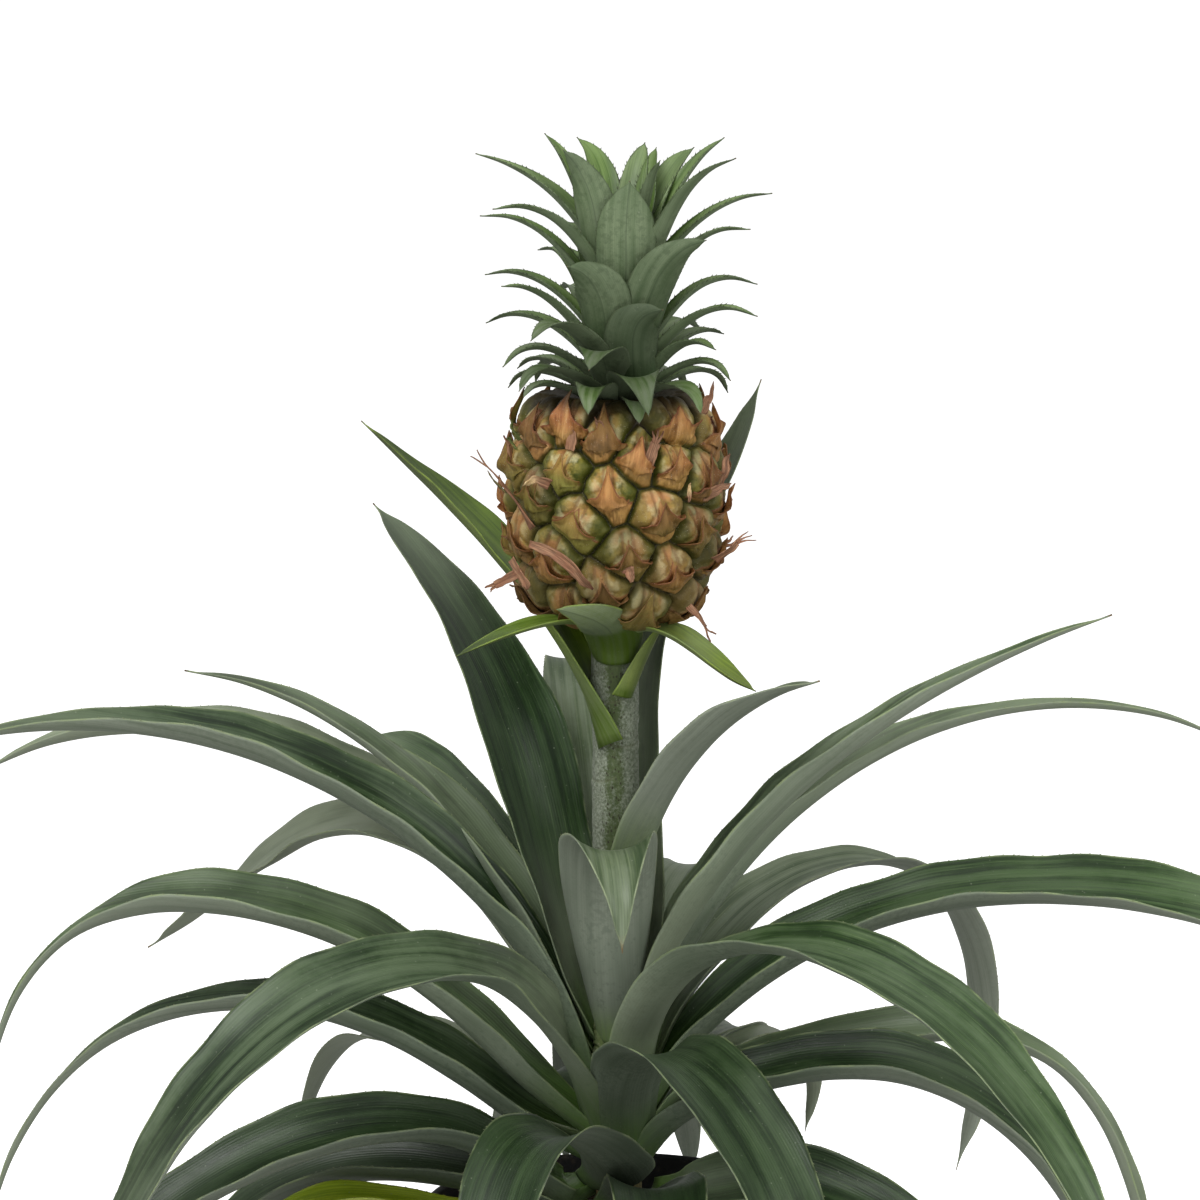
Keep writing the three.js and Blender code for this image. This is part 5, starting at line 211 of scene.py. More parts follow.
        (121.12, -8.71, 300.86, 6.27, 1.01, 0.066, 0.998, -0.001),
        (141.46, -10.04, 310.72, 3.72, 0.98, 0.064, 0.998, -0.001),
        (161.96, -11.33, 319, 0.5, 0.95, 0.062, 0.998, -0.001),
    ]),
    ("leaf_left_upright", "leaf_dark", 3, {'bloom': 0.15, 'painted_shade': 0.05, 'painted_shade_base': -0.7, 'painted_shade_tip': -0.4}, [
        (-7.26, 5.86, 171.8, 10, 1.3, -0.567, -0.822, -0.051),
        (-13.63, 9.57, 190.98, 14.11, 0.94, -0.621, -0.783, -0.032),
        (-18.72, 13.29, 210.74, 15.75, 0.86, -0.678, -0.735, -0.018),
        (-23.27, 17.38, 230.63, 16.95, 0.76, -0.731, -0.682, -0.015),
        (-27.98, 22.18, 250.24, 17.8, 0.67, -0.783, -0.621, -0.034),
        (-33.56, 28.05, 269.12, 18.3, 0.6, -0.804, -0.592, -0.064),
        (-40.72, 35.34, 286.84, 17.3, 0.56, -0.736, -0.676, -0.032),
        (-49.91, 44.26, 303.08, 14.49, 0.53, -0.696, -0.718, -0.004),
        (-60.66, 54.63, 317.79, 11.46, 0.52, -0.695, -0.719, 0.003),
        (-72.33, 66.15, 331, 7.32, 0.51, -0.706, -0.708, 0.007),
        (-84.29, 78.55, 342.75, 0.5, 0.5, -0.726, -0.687, 0.011),
    ]),
    ("leaf_left_middle", "leaf_green", 22, {'bloom': 0.3, 'painted_shade': -0.2}, [
        (-9.54, -0.45, 139.49, 10, 1.3, 0.01, -1, -0.002),
        (-31.82, -0.6, 157.56, 15.89, 1.31, -0.022, -0.999, -0.027),
        (-51.9, -0.68, 177.77, 17.31, 1.27, -0.033, -0.999, -0.04),
        (-73.88, -0.93, 196.08, 18.21, 1.23, -0.074, -0.988, -0.133),
        (-99.73, -1.25, 209.52, 18.48, 1.19, -0.062, -0.983, -0.174),
        (-127.98, -1.01, 216.77, 18.47, 1.15, -0.041, -0.992, -0.119),
        (-156.74, 0.35, 216.66, 15.83, 1.11, -0.056, -0.998, -0.042),
        (-182.46, 1.81, 207.46, 5.87, 1.07, -0.032, -0.999, -0.006),
        (-200.71, 1.39, 187.4, 4.08, 1.01, 0.066, -0.998, 0.021),
        (-210.61, -0.14, 159.56, 2.84, 0.98, 0.063, -0.998, 0.025),
        (-214.19, 0.1, 130.88, 0.5, 0.95, -0.162, -0.984, -0.071),
    ]),
    ("leaf_right_inner", "leaf_grey", 7, {'bloom': 0.45, 'painted_shade': 0.2, 'painted_shade_base': 0.4, 'painted_shade_tip': -0.15, 'base': 0.8, 'base_to': (0.34, 0.56)}, [
        (7.19, -4.62, 175.79, 8, 1.3, 0.923, 0.273, 0.272),
        (4.3, -6.92, 191.98, 8.98, 1.2, 0.824, 0.542, 0.162),
        (3.59, -9.03, 208.25, 10.34, 1.1, 0.708, 0.702, 0.076),
        (4.98, -11.22, 224.28, 12.14, 0.99, 0.616, 0.787, 0.021),
        (8.38, -13.74, 239.74, 13.23, 0.89, 0.556, 0.831, -0.008),
        (13.73, -16.88, 254.33, 14.37, 0.8, 0.523, 0.852, -0.02),
        (20.94, -20.9, 267.72, 15.91, 0.73, 0.513, 0.858, -0.021),
        (29.91, -26.06, 279.62, 16.4, 0.68, 0.523, 0.852, -0.014),
        (40.36, -32.58, 289.79, 14.53, 0.64, 0.551, 0.834, -0.005),
        (51.99, -40.67, 298.04, 8.9, 0.61, 0.593, 0.805, 0.003),
        (64.46, -50.53, 304.17, 0.5, 0.6, 0.644, 0.765, 0.008),
    ]),
    ("leaf_left_low", "leaf_dark", 28, {'bloom': 0.2, 'painted_shade': 0.4, 'painted_shade_tip': 0.6}, [
        (-7.92, -2.17, 120.59, 10, 1.3, 0.193, -0.981, -0.014),
        (-18.8, -4.43, 117.78, 14.83, 1.33, 0.184, -0.981, -0.063),
        (-37.16, -8.83, 130.65, 16.58, 1.29, 0.165, -0.979, -0.118),
        (-56.8, -13.81, 141.27, 17.78, 1.25, 0.2, -0.971, -0.13),
        (-77.86, -19.09, 144.63, 18.37, 1.2, 0.237, -0.949, -0.207),
        (-99.27, -24.36, 141.93, 18.49, 1.16, 0.284, -0.925, -0.253),
        (-119.82, -29.31, 135.33, 18.41, 1.12, 0.302, -0.933, -0.195),
        (-138.92, -33.75, 125.5, 17.58, 1.07, 0.293, -0.948, -0.125),
        (-156.18, -37.52, 112.57, 15.03, 1.02, 0.268, -0.961, -0.075),
        (-171.22, -40.48, 96.69, 9.1, 0.98, 0.215, -0.976, -0.031),
        (-183.67, -42.46, 78, 0.5, 0.95, 0.165, -0.986, -0.02),
    ]),
    ("leaf_right_low", "leaf_dark", 16, {'bloom': 0.25, 'painted_shade': 0.2}, [
        (8.26, -2.58, 128.82, 10, 1.3, 0.296, 0.955, 0.001),
        (19.38, -6.05, 143.63, 13.42, 1.35, 0.296, 0.955, 0.004),
        (35.1, -11.02, 154.71, 16.1, 1.3, 0.215, 0.962, 0.169),
        (53.52, -16.93, 162.46, 17.76, 1.25, 0.232, 0.945, 0.229),
        (72.9, -23.27, 167.08, 18.37, 1.2, 0.279, 0.938, 0.205),
        (92.15, -29.57, 167.49, 18.4, 1.15, 0.32, 0.937, 0.141),
        (110.39, -35.38, 162.43, 17.35, 1.1, 0.318, 0.947, 0.049),
        (126.83, -40.39, 152.18, 14.36, 1.05, 0.289, 0.957, 0.005),
        (140.64, -44.36, 137.76, 10.96, 1.01, 0.273, 0.962, 0.007),
        (151.04, -47.03, 120.17, 5.84, 0.97, 0.254, 0.967, 0.014),
        (157.22, -48.14, 100.43, 0.5, 0.95, 0.223, 0.974, 0.029),
    ]),
    ("leaf_left_drooping", "leaf_dark", 21, {'bloom': 0.3, 'painted_shade': 0.05, 'painted_shade_tip': -0.7}, [
        (-10.02, 0.97, 130.72, 9, 1.3, -0.052, -0.999, -0.005),
        (-31.97, 2.4, 142.21, 14.26, 1.33, -0.091, -0.996, -0.018),
        (-52.78, 4.3, 156.95, 16.94, 1.28, -0.134, -0.99, -0.048),
        (-75.1, 6.69, 169.92, 17.91, 1.23, -0.127, -0.991, -0.039),
        (-99.72, 9.47, 178.1, 16.91, 1.18, -0.115, -0.993, -0.006),
        (-125.48, 12.46, 180.46, 14.35, 1.14, -0.116, -0.993, -0),
        (-150.95, 15.44, 176.27, 10.74, 1.09, -0.116, -0.993, -0.001),
        (-174.07, 18.13, 165.4, 7.1, 1.04, -0.114, -0.994, -0.002),
        (-192.79, 20.26, 148.01, 4.16, 1, -0.109, -0.994, -0.001),
        (-206.51, 21.76, 125.67, 3, 0.99, -0.104, -0.995, 0),
        (-215.39, 22.63, 100.75, 0.5, 0.95, -0.098, -0.995, 0.003),
    ]),
    ("leaf_right_slender", "leaf_green", 10, {'bloom': 0.45, 'painted_shade': -0.4, 'painted_shade_base': 1.2, 'painted_shade_tip': -0.2}, [
        (9.8, 1.9, 156.97, 9, 1.3, -0.147, 0.989, 0.026),
        (16.42, 2.53, 184.13, 11.91, 1.35, -0.179, 0.984, 0.011),
        (27.7, 4.54, 208.84, 13.75, 1.29, -0.198, 0.98, 0.003),
        (43.03, 7.7, 230.62, 14.13, 1.25, -0.209, 0.978, -0),
        (61.8, 11.83, 249, 13.91, 1.2, -0.217, 0.976, -0.002),
        (83.42, 16.7, 263.5, 12.32, 1.15, -0.22, 0.975, -0.002),
        (107.26, 22.11, 273.69, 9.28, 1.1, -0.221, 0.975, -0.001),
        (132.62, 27.83, 279.22, 6.08, 1.06, -0.219, 0.976, -0),
        (158.81, 33.65, 279.81, 4.32, 1.02, -0.215, 0.977, 0),
        (185.08, 39.34, 275.17, 3.2, 1, -0.208, 0.978, 0),
        (210.73, 44.67, 265.02, 0.5, 0.95, -0.199, 0.98, -0.001),
    ]),
    ("leaf_left_upper", "leaf_dark", 2, {'bloom': 0.3, 'painted_shade': -0.3}, [
        (-8.92, 3.3, 159.68, 9, 1.3, -0.286, -0.958, -0.035),
        (-16.27, 5.12, 179.37, 10.09, 1.35, -0.324, -0.946, -0.019),
        (-25.23, 8.1, 198.26, 11.93, 1.32, -0.352, -0.936, -0.008),
        (-35.76, 12.12, 216.08, 14.3, 1.26, -0.372, -0.928, -0.001),
        (-47.8, 17.07, 232.56, 14.86, 1.22, -0.385, -0.923, 0.003),
        (-61.3, 22.84, 247.4, 13.9, 1.18, -0.393, -0.92, 0.004),
        (-76.19, 29.3, 260.34, 9.38, 1.12, -0.396, -0.918, 0.004),
        (-92.42, 36.36, 271.09, 7.48, 1.07, -0.396, -0.918, 0.003),
        (-109.94, 43.88, 279.39, 5.98, 1.02, -0.391, -0.92, 0.002),
        (-128.68, 51.76, 284.93, 3.38, 0.98, -0.383, -0.924, 0.001),
        (-148.6, 59.88, 287.46, 0.5, 0.95, -0.372, -0.928, -0),
    ]),
    ("leaf_back_right_arch", "leaf_grey", 11, {'bloom': 0.35, 'painted_shade': 0.2, 'painted_shade_tip': -0.2, 'painted_shade_base': 0.4}, [
        (6.94, 5.41, 152.21, 10, 1.3, -0.644, 0.765, -0.014),
        (16.9, 15.81, 176.81, 11.83, 1.11, -0.71, 0.704, -0.031),
        (32.27, 32.28, 194.25, 13.82, 0.9, -0.716, 0.698, -0.024),
        (49.95, 50.11, 208.15, 14.52, 0.72, -0.683, 0.73, -0.011),
        (71.52, 68.7, 215.41, 14.02, 0.61, -0.624, 0.782, -0),
        (94.94, 86.65, 213.37, 12.41, 0.6, -0.599, 0.8, -0.002),
        (114.39, 101.37, 200.74, 10.76, 0.6, -0.617, 0.787, 0),
        (126.28, 111.33, 178.22, 9.21, 0.6, -0.655, 0.756, 0.018),
        (131.07, 117.01, 149.85, 7.14, 0.6, -0.707, 0.706, 0.052),
        (129.65, 119.03, 120.02, 4.42, 0.6, -0.798, 0.59, 0.124),
        (122.91, 118.05, 93.11, 0.5, 0.6, -0.935, 0.039, 0.351),
    ]),
    ("leaf_back_left_arch", "leaf_grey", 24, {'bloom': 0.3, 'painted_shade': -1.0}, [
        (-7.67, 4.46, 150.29, 9, 1.3, -0.382, -0.923, -0.046),
        (-16.79, 7.87, 171.19, 10.79, 1.13, -0.442, -0.897, -0.022),
        (-28.01, 13.44, 192.33, 13.51, 0.96, -0.483, -0.876, -0.006),
        (-41.53, 21.2, 211.77, 15.33, 0.78, -0.512, -0.859, 0.003),
        (-57.91, 31.29, 226.37, 16.31, 0.65, -0.53, -0.848, 0.001),
        (-76.69, 43.12, 233.66, 17.82, 0.59, -0.54, -0.839, -0.065),
        (-96, 55.24, 232.43, 18.41, 0.56, -0.464, -0.857, -0.223),
        (-114.49, 66.56, 222.9, 18.24, 0.54, -0.307, -0.893, -0.33),
        (-132.19, 77.01, 208.56, 15.75, 0.52, -0.351, -0.914, -0.201),
        (-149.31, 86.71, 193.34, 9.29, 0.51, -0.469, -0.883, -0.022),
        (-166.09, 95.76, 181.21, 0.5, 0.5, -0.467, -0.884, 0.005),
    ]),
    ("leaf_back_right_upright", "leaf_dark", 6, {'bloom': 0.3, 'painted_shade': -0.4, 'painted_shade_base': -0.5}, [
        (4.3, 7.78, 171.9, 9, 1.3, -0.692, 0.712, 0.119),
        (8.13, 10.22, 194.31, 9.64, 1.02, -0.87, 0.493, 0.011),
        (8.43, 12.97, 217.18, 10.12, 0.92, -0.948, 0.309, -0.074),
        (7.06, 16.1, 240.2, 10.36, 0.84, -0.965, 0.241, -0.103),
        (5.83, 19.69, 263.07, 10.47, 0.76, -0.95, 0.304, -0.074),
        (6.57, 23.81, 285.5, 10.65, 0.7, -0.883, 0.469, -0),
        (11.13, 28.55, 307.17, 10.95, 0.67, -0.743, 0.664, 0.086),
        (19.96, 33.77, 328.02, 10.72, 0.64, -0.639, 0.759, 0.123),
        (30.65, 38.88, 348.48, 8.94, 0.62, -0.61, 0.781, 0.134),
        (40.53, 43.45, 369, 5.57, 0.61, -0.661, 0.741, 0.119),
        (48.52, 49.33, 389.38, 0.5, 0.6, -0.799, 0.599, 0.051),
    ]),
    ("leaf_back_upright", "leaf_grey", 5, {'bloom': 0.5, 'painted_shade': 0.12, 'painted_shade_tip': 0}, [
        (-0.79, 8.91, 163.95, 7, 1.3, -0.957, -0.278, -0.084),
        (-3.14, 12.41, 185.71, 7.94, 1.13, -0.974, -0.219, -0.051),
        (-5.36, 19.05, 204.78, 9.5, 0.91, -0.98, -0.194, -0.038),
        (-7.67, 27.28, 223.23, 11.13, 0.68, -0.98, -0.196, -0.038),
        (-10.28, 35.57, 243.07, 11.58, 0.55, -0.975, -0.217, -0.047),
        (-13.09, 44.16, 263.73, 11.4, 0.5, -0.98, -0.198, -0.037),
        (-15.47, 56.13, 280.42, 10.47, 0.47, -0.992, -0.123, -0.008),
        (-16.89, 73.94, 288.05, 8.37, 0.43, -0.999, -0.054, 0.001),
        (-17.98, 92.69, 282.28, 6.43, 0.41, -0.997, -0.08, -0.002),
        (-19.41, 106.52, 263.96, 4.08, 0.4, -0.994, -0.11, 0.007),
        (-20.55, 115.95, 245.52, 0.5, 0.4, -0.996, -0.092, 0.002),
    ]),
    ("leaf_right_lowest", "leaf_dark", 20, {'bloom': 0.2, 'painted_shade': 0, 'painted_shade_base': -0.4, 'painted_shade_tip': 1.0}, [
        (7.77, -4.98, 118.39, 11, 1.3, 0.907, 0.421, 0.029),
        (18.98, -14.06, 120.06, 14.35, 1.34, 0.31, 0.946, 0.099),
        (33.44, -18.79, 123.5, 16.72, 1.28, 0.193, 0.87, 0.453),
        (47.52, -25.63, 127.44, 17.85, 1.23, 0.362, 0.787, 0.499),
        (61.11, -33.99, 128.14, 18.36, 1.18, 0.516, 0.767, 0.382),
        (74.6, -42.33, 125.68, 18.37, 1.14, 0.543, 0.811, 0.219),
        (88.01, -49.89, 120.43, 17.84, 1.09, 0.518, 0.846, 0.126),
        (101.04, -56.63, 112.9, 16.23, 1.05, 0.484, 0.872, 0.077),
        (113.36, -62.53, 103.58, 12.62, 1.01, 0.45, 0.892, 0.045),
        (124.66, -67.58, 92.97, 6.9, 0.98, 0.42, 0.907, 0.027),
        (134.62, -71.76, 81.57, 0.5, 0.95, 0.4, 0.916, 0.02),
    ]),
    ("leaf_left_lower_back", "leaf_dark", 29, {'bloom': 0.35, 'painted_shade': 0.75, 'painted_shade_tip': -0.5}, [
        (-8.48, 1.15, 115.09, 10, 1.3, 0.794, -0.439, 0.421),
        (-13.3, 0.56, 109.6, 14.23, 1.33, -0.1, -0.995, -0.006),
        (-30.44, 2.58, 115.04, 16.39, 1.29, -0.131, -0.991, -0.026),
        (-48.5, 4.81, 119.73, 17.67, 1.25, -0.136, -0.989, -0.066),
        (-65.91, 6.96, 122.59, 18.3, 1.2, -0.133, -0.986, -0.1),
        (-82.98, 9.15, 122.65, 18.48, 1.16, -0.12, -0.987, -0.106),
        (-99.9, 11.46, 119.15, 18.37, 1.12, -0.103, -0.988, -0.111),
        (-115.95, 13.75, 112.11, 17.5, 1.07, -0.062, -0.988, -0.141),
        (-130.2, 15.81, 101.79, 14.5, 1.02, -0.021, -0.991, -0.132),
        (-141.68, 17.41, 88.45, 8.02, 0.98, -0.04, -0.997, -0.062),
        (-149.44, 18.36, 72.35, 0.5, 0.95, -0.11, -0.994, 0.004),
    ]),
    ("leaf_right_twisted", "leaf_green", 15, {'bloom': 0.35, 'painted_shade': -0.3, 'painted_shade_tip': -0.7}, [
        (8.89, -0.85, 136.4, 9, 1.3, -0.355, 0.917, -0.181),
        (22.8, 4.54, 153.37, 9.81, 1.34, -0.205, 0.978, 0.036),
        (47.14, 8.39, 159.77, 11.43, 1.29, -0.169, 0.947, 0.272),
        (71.19, 8.32, 166.12, 12.56, 1.25, 0.011, 0.904, 0.428),
        (94.26, 3.17, 171.94, 12.76, 1.2, 0.143, 0.919, 0.366),
        (120.5, -1.95, 173.73, 11.18, 1.16, 0.181, 0.969, 0.169),
        (143.4, -5.87, 166.43, 7.39, 1.1, 0.165, 0.986, -0.007),
        (159.52, -8.67, 149.56, 7.15, 1.06, 0.143, 0.99, -0.02),
        (170.09, -10.53, 126.65, 8.64, 1.02, 0.174, 0.985, 0),
        (176.46, -11.64, 101.32, 5.89, 0.98, 0.211, 0.977, 0.009),
        (180, -12.16, 77.21, 0.5, 0.95, 0.08, 0.997, -0.004),
    ]),
    ("leaf_back_left_inner", "leaf_green", 25, {'bloom': 0.35, 'painted_shade': 0.7, 'painted_shade_tip': -0.9}, [
        (-6.92, 6.72, 166.05, 8, 1.3, -0.646, -0.763, -0.026),
        (-13.23, 12.02, 179.52, 8.32, 1, -0.682, -0.732, -0.011),
        (-20.06, 18.53, 193.03, 8.9, 0.91, -0.708, -0.707, 0),
        (-27.38, 26.17, 206.17, 9.77, 0.84, -0.727, -0.687, 0.007),
        (-35.21, 34.83, 218.57, 11.25, 0.73, -0.742, -0.67, 0.012),
        (-43.53, 44.44, 229.83, 12.33, 0.64, -0.753, -0.657, 0.014),
        (-52.35, 54.91, 239.56, 12.62, 0.59, -0.762, -0.647, 0.014),
        (-61.66, 66.14, 247.37, 12.59, 0.57, -0.768, -0.64, 0.012),
        (-71.45, 78.05, 252.89, 12.58, 0.55, -0.772, -0.636, 0.008),
        (-81.72, 90.56, 255.71, 12.45, 0.52, -0.772, -0.636, 0.002),
        (-92.47, 103.56, 255.45, 0.5, 0.5, -0.769, -0.639, -0.003),
    ]),
    ("leaf_left_long_back", "leaf_grey", 26, {'bloom': 0.3, 'painted_shade': -0.9}, [
        (-8.26, 3.65, 146.17, 7, 1.3, -0.537, -0.833, 0.136),
        (-14.48, 10.46, 172.35, 8.98, 1.35, -0.454, -0.887, 0.085),
        (-26.33, 17.73, 196.29, 11.5, 1.32, -0.392, -0.919, 0.051),
        (-42.95, 25.15, 217.52, 13.9, 1.28, -0.34, -0.94, 0.029),
        (-63.48, 32.36, 235.6, 15.32, 1.25, -0.292, -0.956, 0.013),
        (-87.07, 39.03, 250.08, 16.62, 1.21, -0.244, -0.97, 0.003),
        (-112.85, 44.82, 260.5, 17.36, 1.18, -0.194, -0.981, -0.003),
        (-139.97, 49.39, 266.42, 16.45, 1.13, -0.139, -0.99, -0.003),
        (-167.56, 52.4, 267.38, 11.64, 1.09, -0.077, -0.997, 0.003),
        (-194.78, 53.53, 262.93, 6.49, 1.03, -0.007, -1, 0.018),
        (-220.77, 52.42, 252.63, 0.5, 0.95, 0.069, -0.997, 0.045),
    ]),
    ("leaf_back_left_low", "leaf_grey", 27, {'bloom': 0.4, 'painted_shade': -0.7}, [
        (-7.62, 5.46, 135.89, 8, 1.3, -0.539, -0.842, -0.002),
        (-20.82, 14.33, 138.78, 11.09, 0.98, -0.575, -0.818, -0.004),
        (-33.87, 23.83, 144.38, 13.03, 0.86, -0.603, -0.798, -0.002),
        (-46.89, 33.96, 150.77, 14.91, 0.74, -0.624, -0.781, 0),
        (-60.01, 44.69, 156.03, 16.52, 0.62, -0.641, -0.767, -0.003),
        (-73.13, 55.78, 158.42, 17.31, 0.52, -0.65, -0.76, -0.019),
        (-85.53, 66.39, 156.63, 14.6, 0.47, -0.644, -0.764, -0.028),
        (-96.4, 75.62, 149.52, 9.88, 0.45, -0.635, -0.772, -0.013),
        (-104.94, 82.67, 137.26, 5.86, 0.42, -0.622, -0.783, -0.003),
        (-110.4, 86.82, 121.27, 2.76, 0.4, -0.595, -0.804, 0.01),
        (-112, 87.39, 102.96, 0.5, 0.4, -0.529, -0.847, 0.049),
    ]),
    ("leaf_left_yellowing", "leaf_yellowing", 30, {'bloom': 0.0, 'yellow': 0.0, 'dry': 0.3, 'painted_shade': 0}, [
        (-9.48, -1.1, 109.81, 8, 1.3, 0.154, -0.988, 0.001),
        (-21.32, -2.96, 107.61, 9.56, 1.35, 0.155, -0.988, 0),
        (-33.83, -4.92, 107.98, 10.76, 1.29, 0.155, -0.988, -0.001),
        (-46.76, -6.95, 110.04, 11.4, 1.26, 0.154, -0.988, -0.001),
        (-59.88, -8.97, 112.87, 12.04, 1.23, 0.151, -0.988, -0.001),
        (-72.94, -10.95, 115.58, 12.7, 1.2, 0.148, -0.989, -0),
        (-85.71, -12.83, 117.28, 13.4, 1.16, 0.143, -0.99, -0),
        (-97.95, -14.55, 117.06, 13.35, 1.1, 0.135, -0.991, -0),
        (-109.43, -16.06, 114.03, 11.31, 1.04, 0.126, -0.992, -0.002),
        (-119.9, -17.31, 107.29, 6.37, 0.99, 0.116, -0.993, -0.005),
        (-129.12, -18.25, 95.94, 0.5, 0.95, 0.106, -0.994, -0.01),
    ]),
    ("leaf_back_right_low", "leaf_grey", 31, {'bloom': 0.4}, [
        (5.48, 7.1, 132.09, 8, 1.3, -0.534, 0.837, 0.123),
        (11.45, 10.24, 144.95, 8.58, 1.24, -0.66, 0.749, 0.054),
        (18, 16.44, 154.33, 9.05, 1.15, -0.751, 0.66, 0.012),
        (24.76, 25.02, 160.44, 9.39, 1.04, -0.816, 0.578, -0.005),
        (31.36, 35.32, 163.5, 9.63, 0.88, -0.863, 0.506, -0.005),
        (37.44, 46.68, 163.73, 9.75, 0.71, -0.898, 0.439, 0.006),
        (42.64, 58.44, 161.34, 9.03, 0.61, -0.928, 0.373, 0.024),
        (46.57, 69.93, 156.56, 7.72, 0.56, -0.953, 0.3, 0.052),
        (48.87, 80.47, 149.6, 5.81, 0.53, -0.973, 0.211, 0.094),
        (49.18, 89.42, 140.67, 3.44, 0.51, -0.984, 0.092, 0.155),
        (47.13, 96.1, 130, 0.5, 0.5, -0.966, -0.085, 0.243),
    ]),
    ("leaf_back_right_inner", "leaf_grey", 32, {'bloom': 0.5, 'painted_shade': 0.1}, [
        (1.02, 9.08, 140.05, 7, 1.3, -0.994, -0.02, -0.108),
        (0.85, 13.33, 150.02, 7.15, 1.23, -0.974, 0.223, -0.032),
        (2.09, 17.64, 162.8, 7.54, 1.14, -0.938, 0.347, 0.015),
        (4.48, 22.34, 176.96, 8.06, 1.02, -0.911, 0.41, 0.039),
        (7.73, 27.77, 191.05, 8.93, 0.87, -0.897, 0.439, 0.047),
        (11.59, 34.26, 203.65, 9.74, 0.73, -0.895, 0.443, 0.042),
        (15.77, 42.14, 213.31, 10.15, 0.63, -0.906, 0.422, 0.025),
        (20.01, 51.74, 218.59, 9.61, 0.57, -0.93, 0.367, 0.004),
        (24.01, 63.25, 218.15, 7.53, 0.54, -0.957, 0.292, 0.002),
        (27.03, 74.85, 211.56, 4.68, 0.51, -0.975, 0.221, 0.02),
        (28.07, 83.43, 199.02, 0.5, 0.5, -0.99, 0.127, 0.067),
    ]),
    ("leaf_back_right_small", "leaf_grey", 33, {'bloom': 0.3, 'painted_shade': -1.2}, [
        (7.24, 5.34, 125.88, 8, 1.3, -0.537, 0.842, 0.051),
        (12.19, 8.35, 138.3, 7.98, 1.24, -0.601, 0.799, 0.016),
        (19.52, 14.1, 148.5, 7.92, 1.15, -0.641, 0.768, 0.001),
        (28.41, 21.88, 156.2, 7.83, 1.05, -0.672, 0.741, -0.005),
        (38.03, 30.98, 161.11, 7.68, 0.91, -0.7, 0.714, -0.006),
        (47.54, 40.71, 162.95, 7.36, 0.74, -0.73, 0.684, -0.001),
        (56.13, 50.36, 161.45, 6.79, 0.62, -0.764, 0.645, 0.014),
        (62.97, 59.21, 156.34, 5.88, 0.56, -0.802, 0.595, 0.044),
        (67.34, 66.5, 147.6, 4.54, 0.52, -0.835, 0.543, 0.089),
        (68.61, 71.39, 135.45, 2.73, 0.51, -0.867, 0.475, 0.148),
        (66.16, 73.05, 120.07, 0.5, 0.5, -0.919, 0.31, 0.242),
    ]),
    ("leaf_back_middle", "leaf_dark", 34, {'bloom': 0.3, 'painted_shade': 0.8}, [
        (-1.45, 8.31, 134.66, 10, 1.3, -0.99, -0.141, 0.011),
        (-2.87, 20.81, 151.9, 11.58, 1.09, -0.993, -0.121, 0.012),
        (-4.67, 37.29, 161.34, 12.86, 0.89, -0.994, -0.11, 0.006),
        (-6.72, 56.38, 164.13, 13.21, 0.72, -0.994, -0.106, -0),
        (-8.88, 76.67, 161.44, 12.92, 0.62, -0.994, -0.107, -0.005),
        (-11.02, 96.77, 154.42, 11.87, 0.58, -0.994, -0.11, -0.008),
        (-13.01, 115.38, 144.16, 10.45, 0.56, -0.993, -0.114, -0.011),
        (-14.81, 131.82, 131.21, 8.67, 0.54, -0.992, -0.122, -0.012),
        (-16.41, 145.64, 115.96, 6.59, 0.52, -0.991, -0.135, -0.011),
        (-17.8, 156.39, 98.76, 4.29, 0.51, -0.988, -0.153, -0.007),
        (-18.96, 163.63, 79.99, 0.5, 0.5, -0.983, -0.181, 0.003),
    ]),
    ("leaf_back_right_drooping", "leaf_dark", 35, {'bloom': 0.3, 'painted_shade': 0.4}, [
        (1.76, 8.48, 122.62, 10, 1.3, -0.983, 0.18, -0.019),
        (3.76, 21.19, 137.11, 11.41, 1.12, -0.985, 0.171, -0.015),
        (6.28, 36.49, 145.71, 12.41, 0.94, -0.986, 0.168, -0.008),
        (9.17, 53.54, 149.08, 13.05, 0.77, -0.986, 0.169, -0.001),
        (12.29, 71.53, 147.87, 12.81, 0.65, -0.985, 0.173, 0.004),
        (15.48, 89.62, 142.76, 12.14, 0.59, -0.984, 0.178, 0.007),
        (18.6, 106.99, 134.41, 10.78, 0.56, -0.983, 0.184, 0.01),
        (21.51, 122.83, 123.46, 9.03, 0.54, -0.981, 0.192, 0.011),
        (24.1, 136.46, 110.42, 6.94, 0.52, -0.979, 0.203, 0.01),
        (26.28, 147.25, 95.71, 4.55, 0.51, -0.976, 0.219, 0.007),
        (27.96, 154.56, 79.77, 0.5, 0.5, -0.969, 0.247, -0.002),
    ]),
    ("leaf_back_left_drooping", "leaf_dark", 36, {'bloom': 0.3}, [
        (-4.49, 7.6, 118.58, 10, 1.3, -0.978, -0.175, 0.113),
        (-5.59, 19.37, 131.39, 11.32, 1.13, -0.975, -0.21, 0.071),
        (-8.44, 33.32, 139.3, 12.28, 0.97, -0.969, -0.246, 0.034),
        (-12.59, 48.77, 142.86, 13, 0.8, -0.96, -0.28, 0.008),
        (-17.6, 65.03, 142.58, 12.88, 0.67, -0.952, -0.307, -0.009),
        (-23.02, 81.42, 139, 12.27, 0.6, -0.945, -0.326, -0.02),
        (-28.43, 97.26, 132.65, 11, 0.57, -0.941, -0.336, -0.029),
        (-33.39, 111.88, 124.04, 9.28, 0.54, -0.939, -0.342, -0.038),
        (-37.65, 124.7, 113.4, 7.1, 0.52, -0.934, -0.353, -0.046),
        (-41.08, 135.19, 100.77, 4.51, 0.51, -0.925, -0.375, -0.05),
        (-43.55, 142.83, 86.21, 0.5, 0.5, -0.91, -0.413, -0.047),
    ]),
]
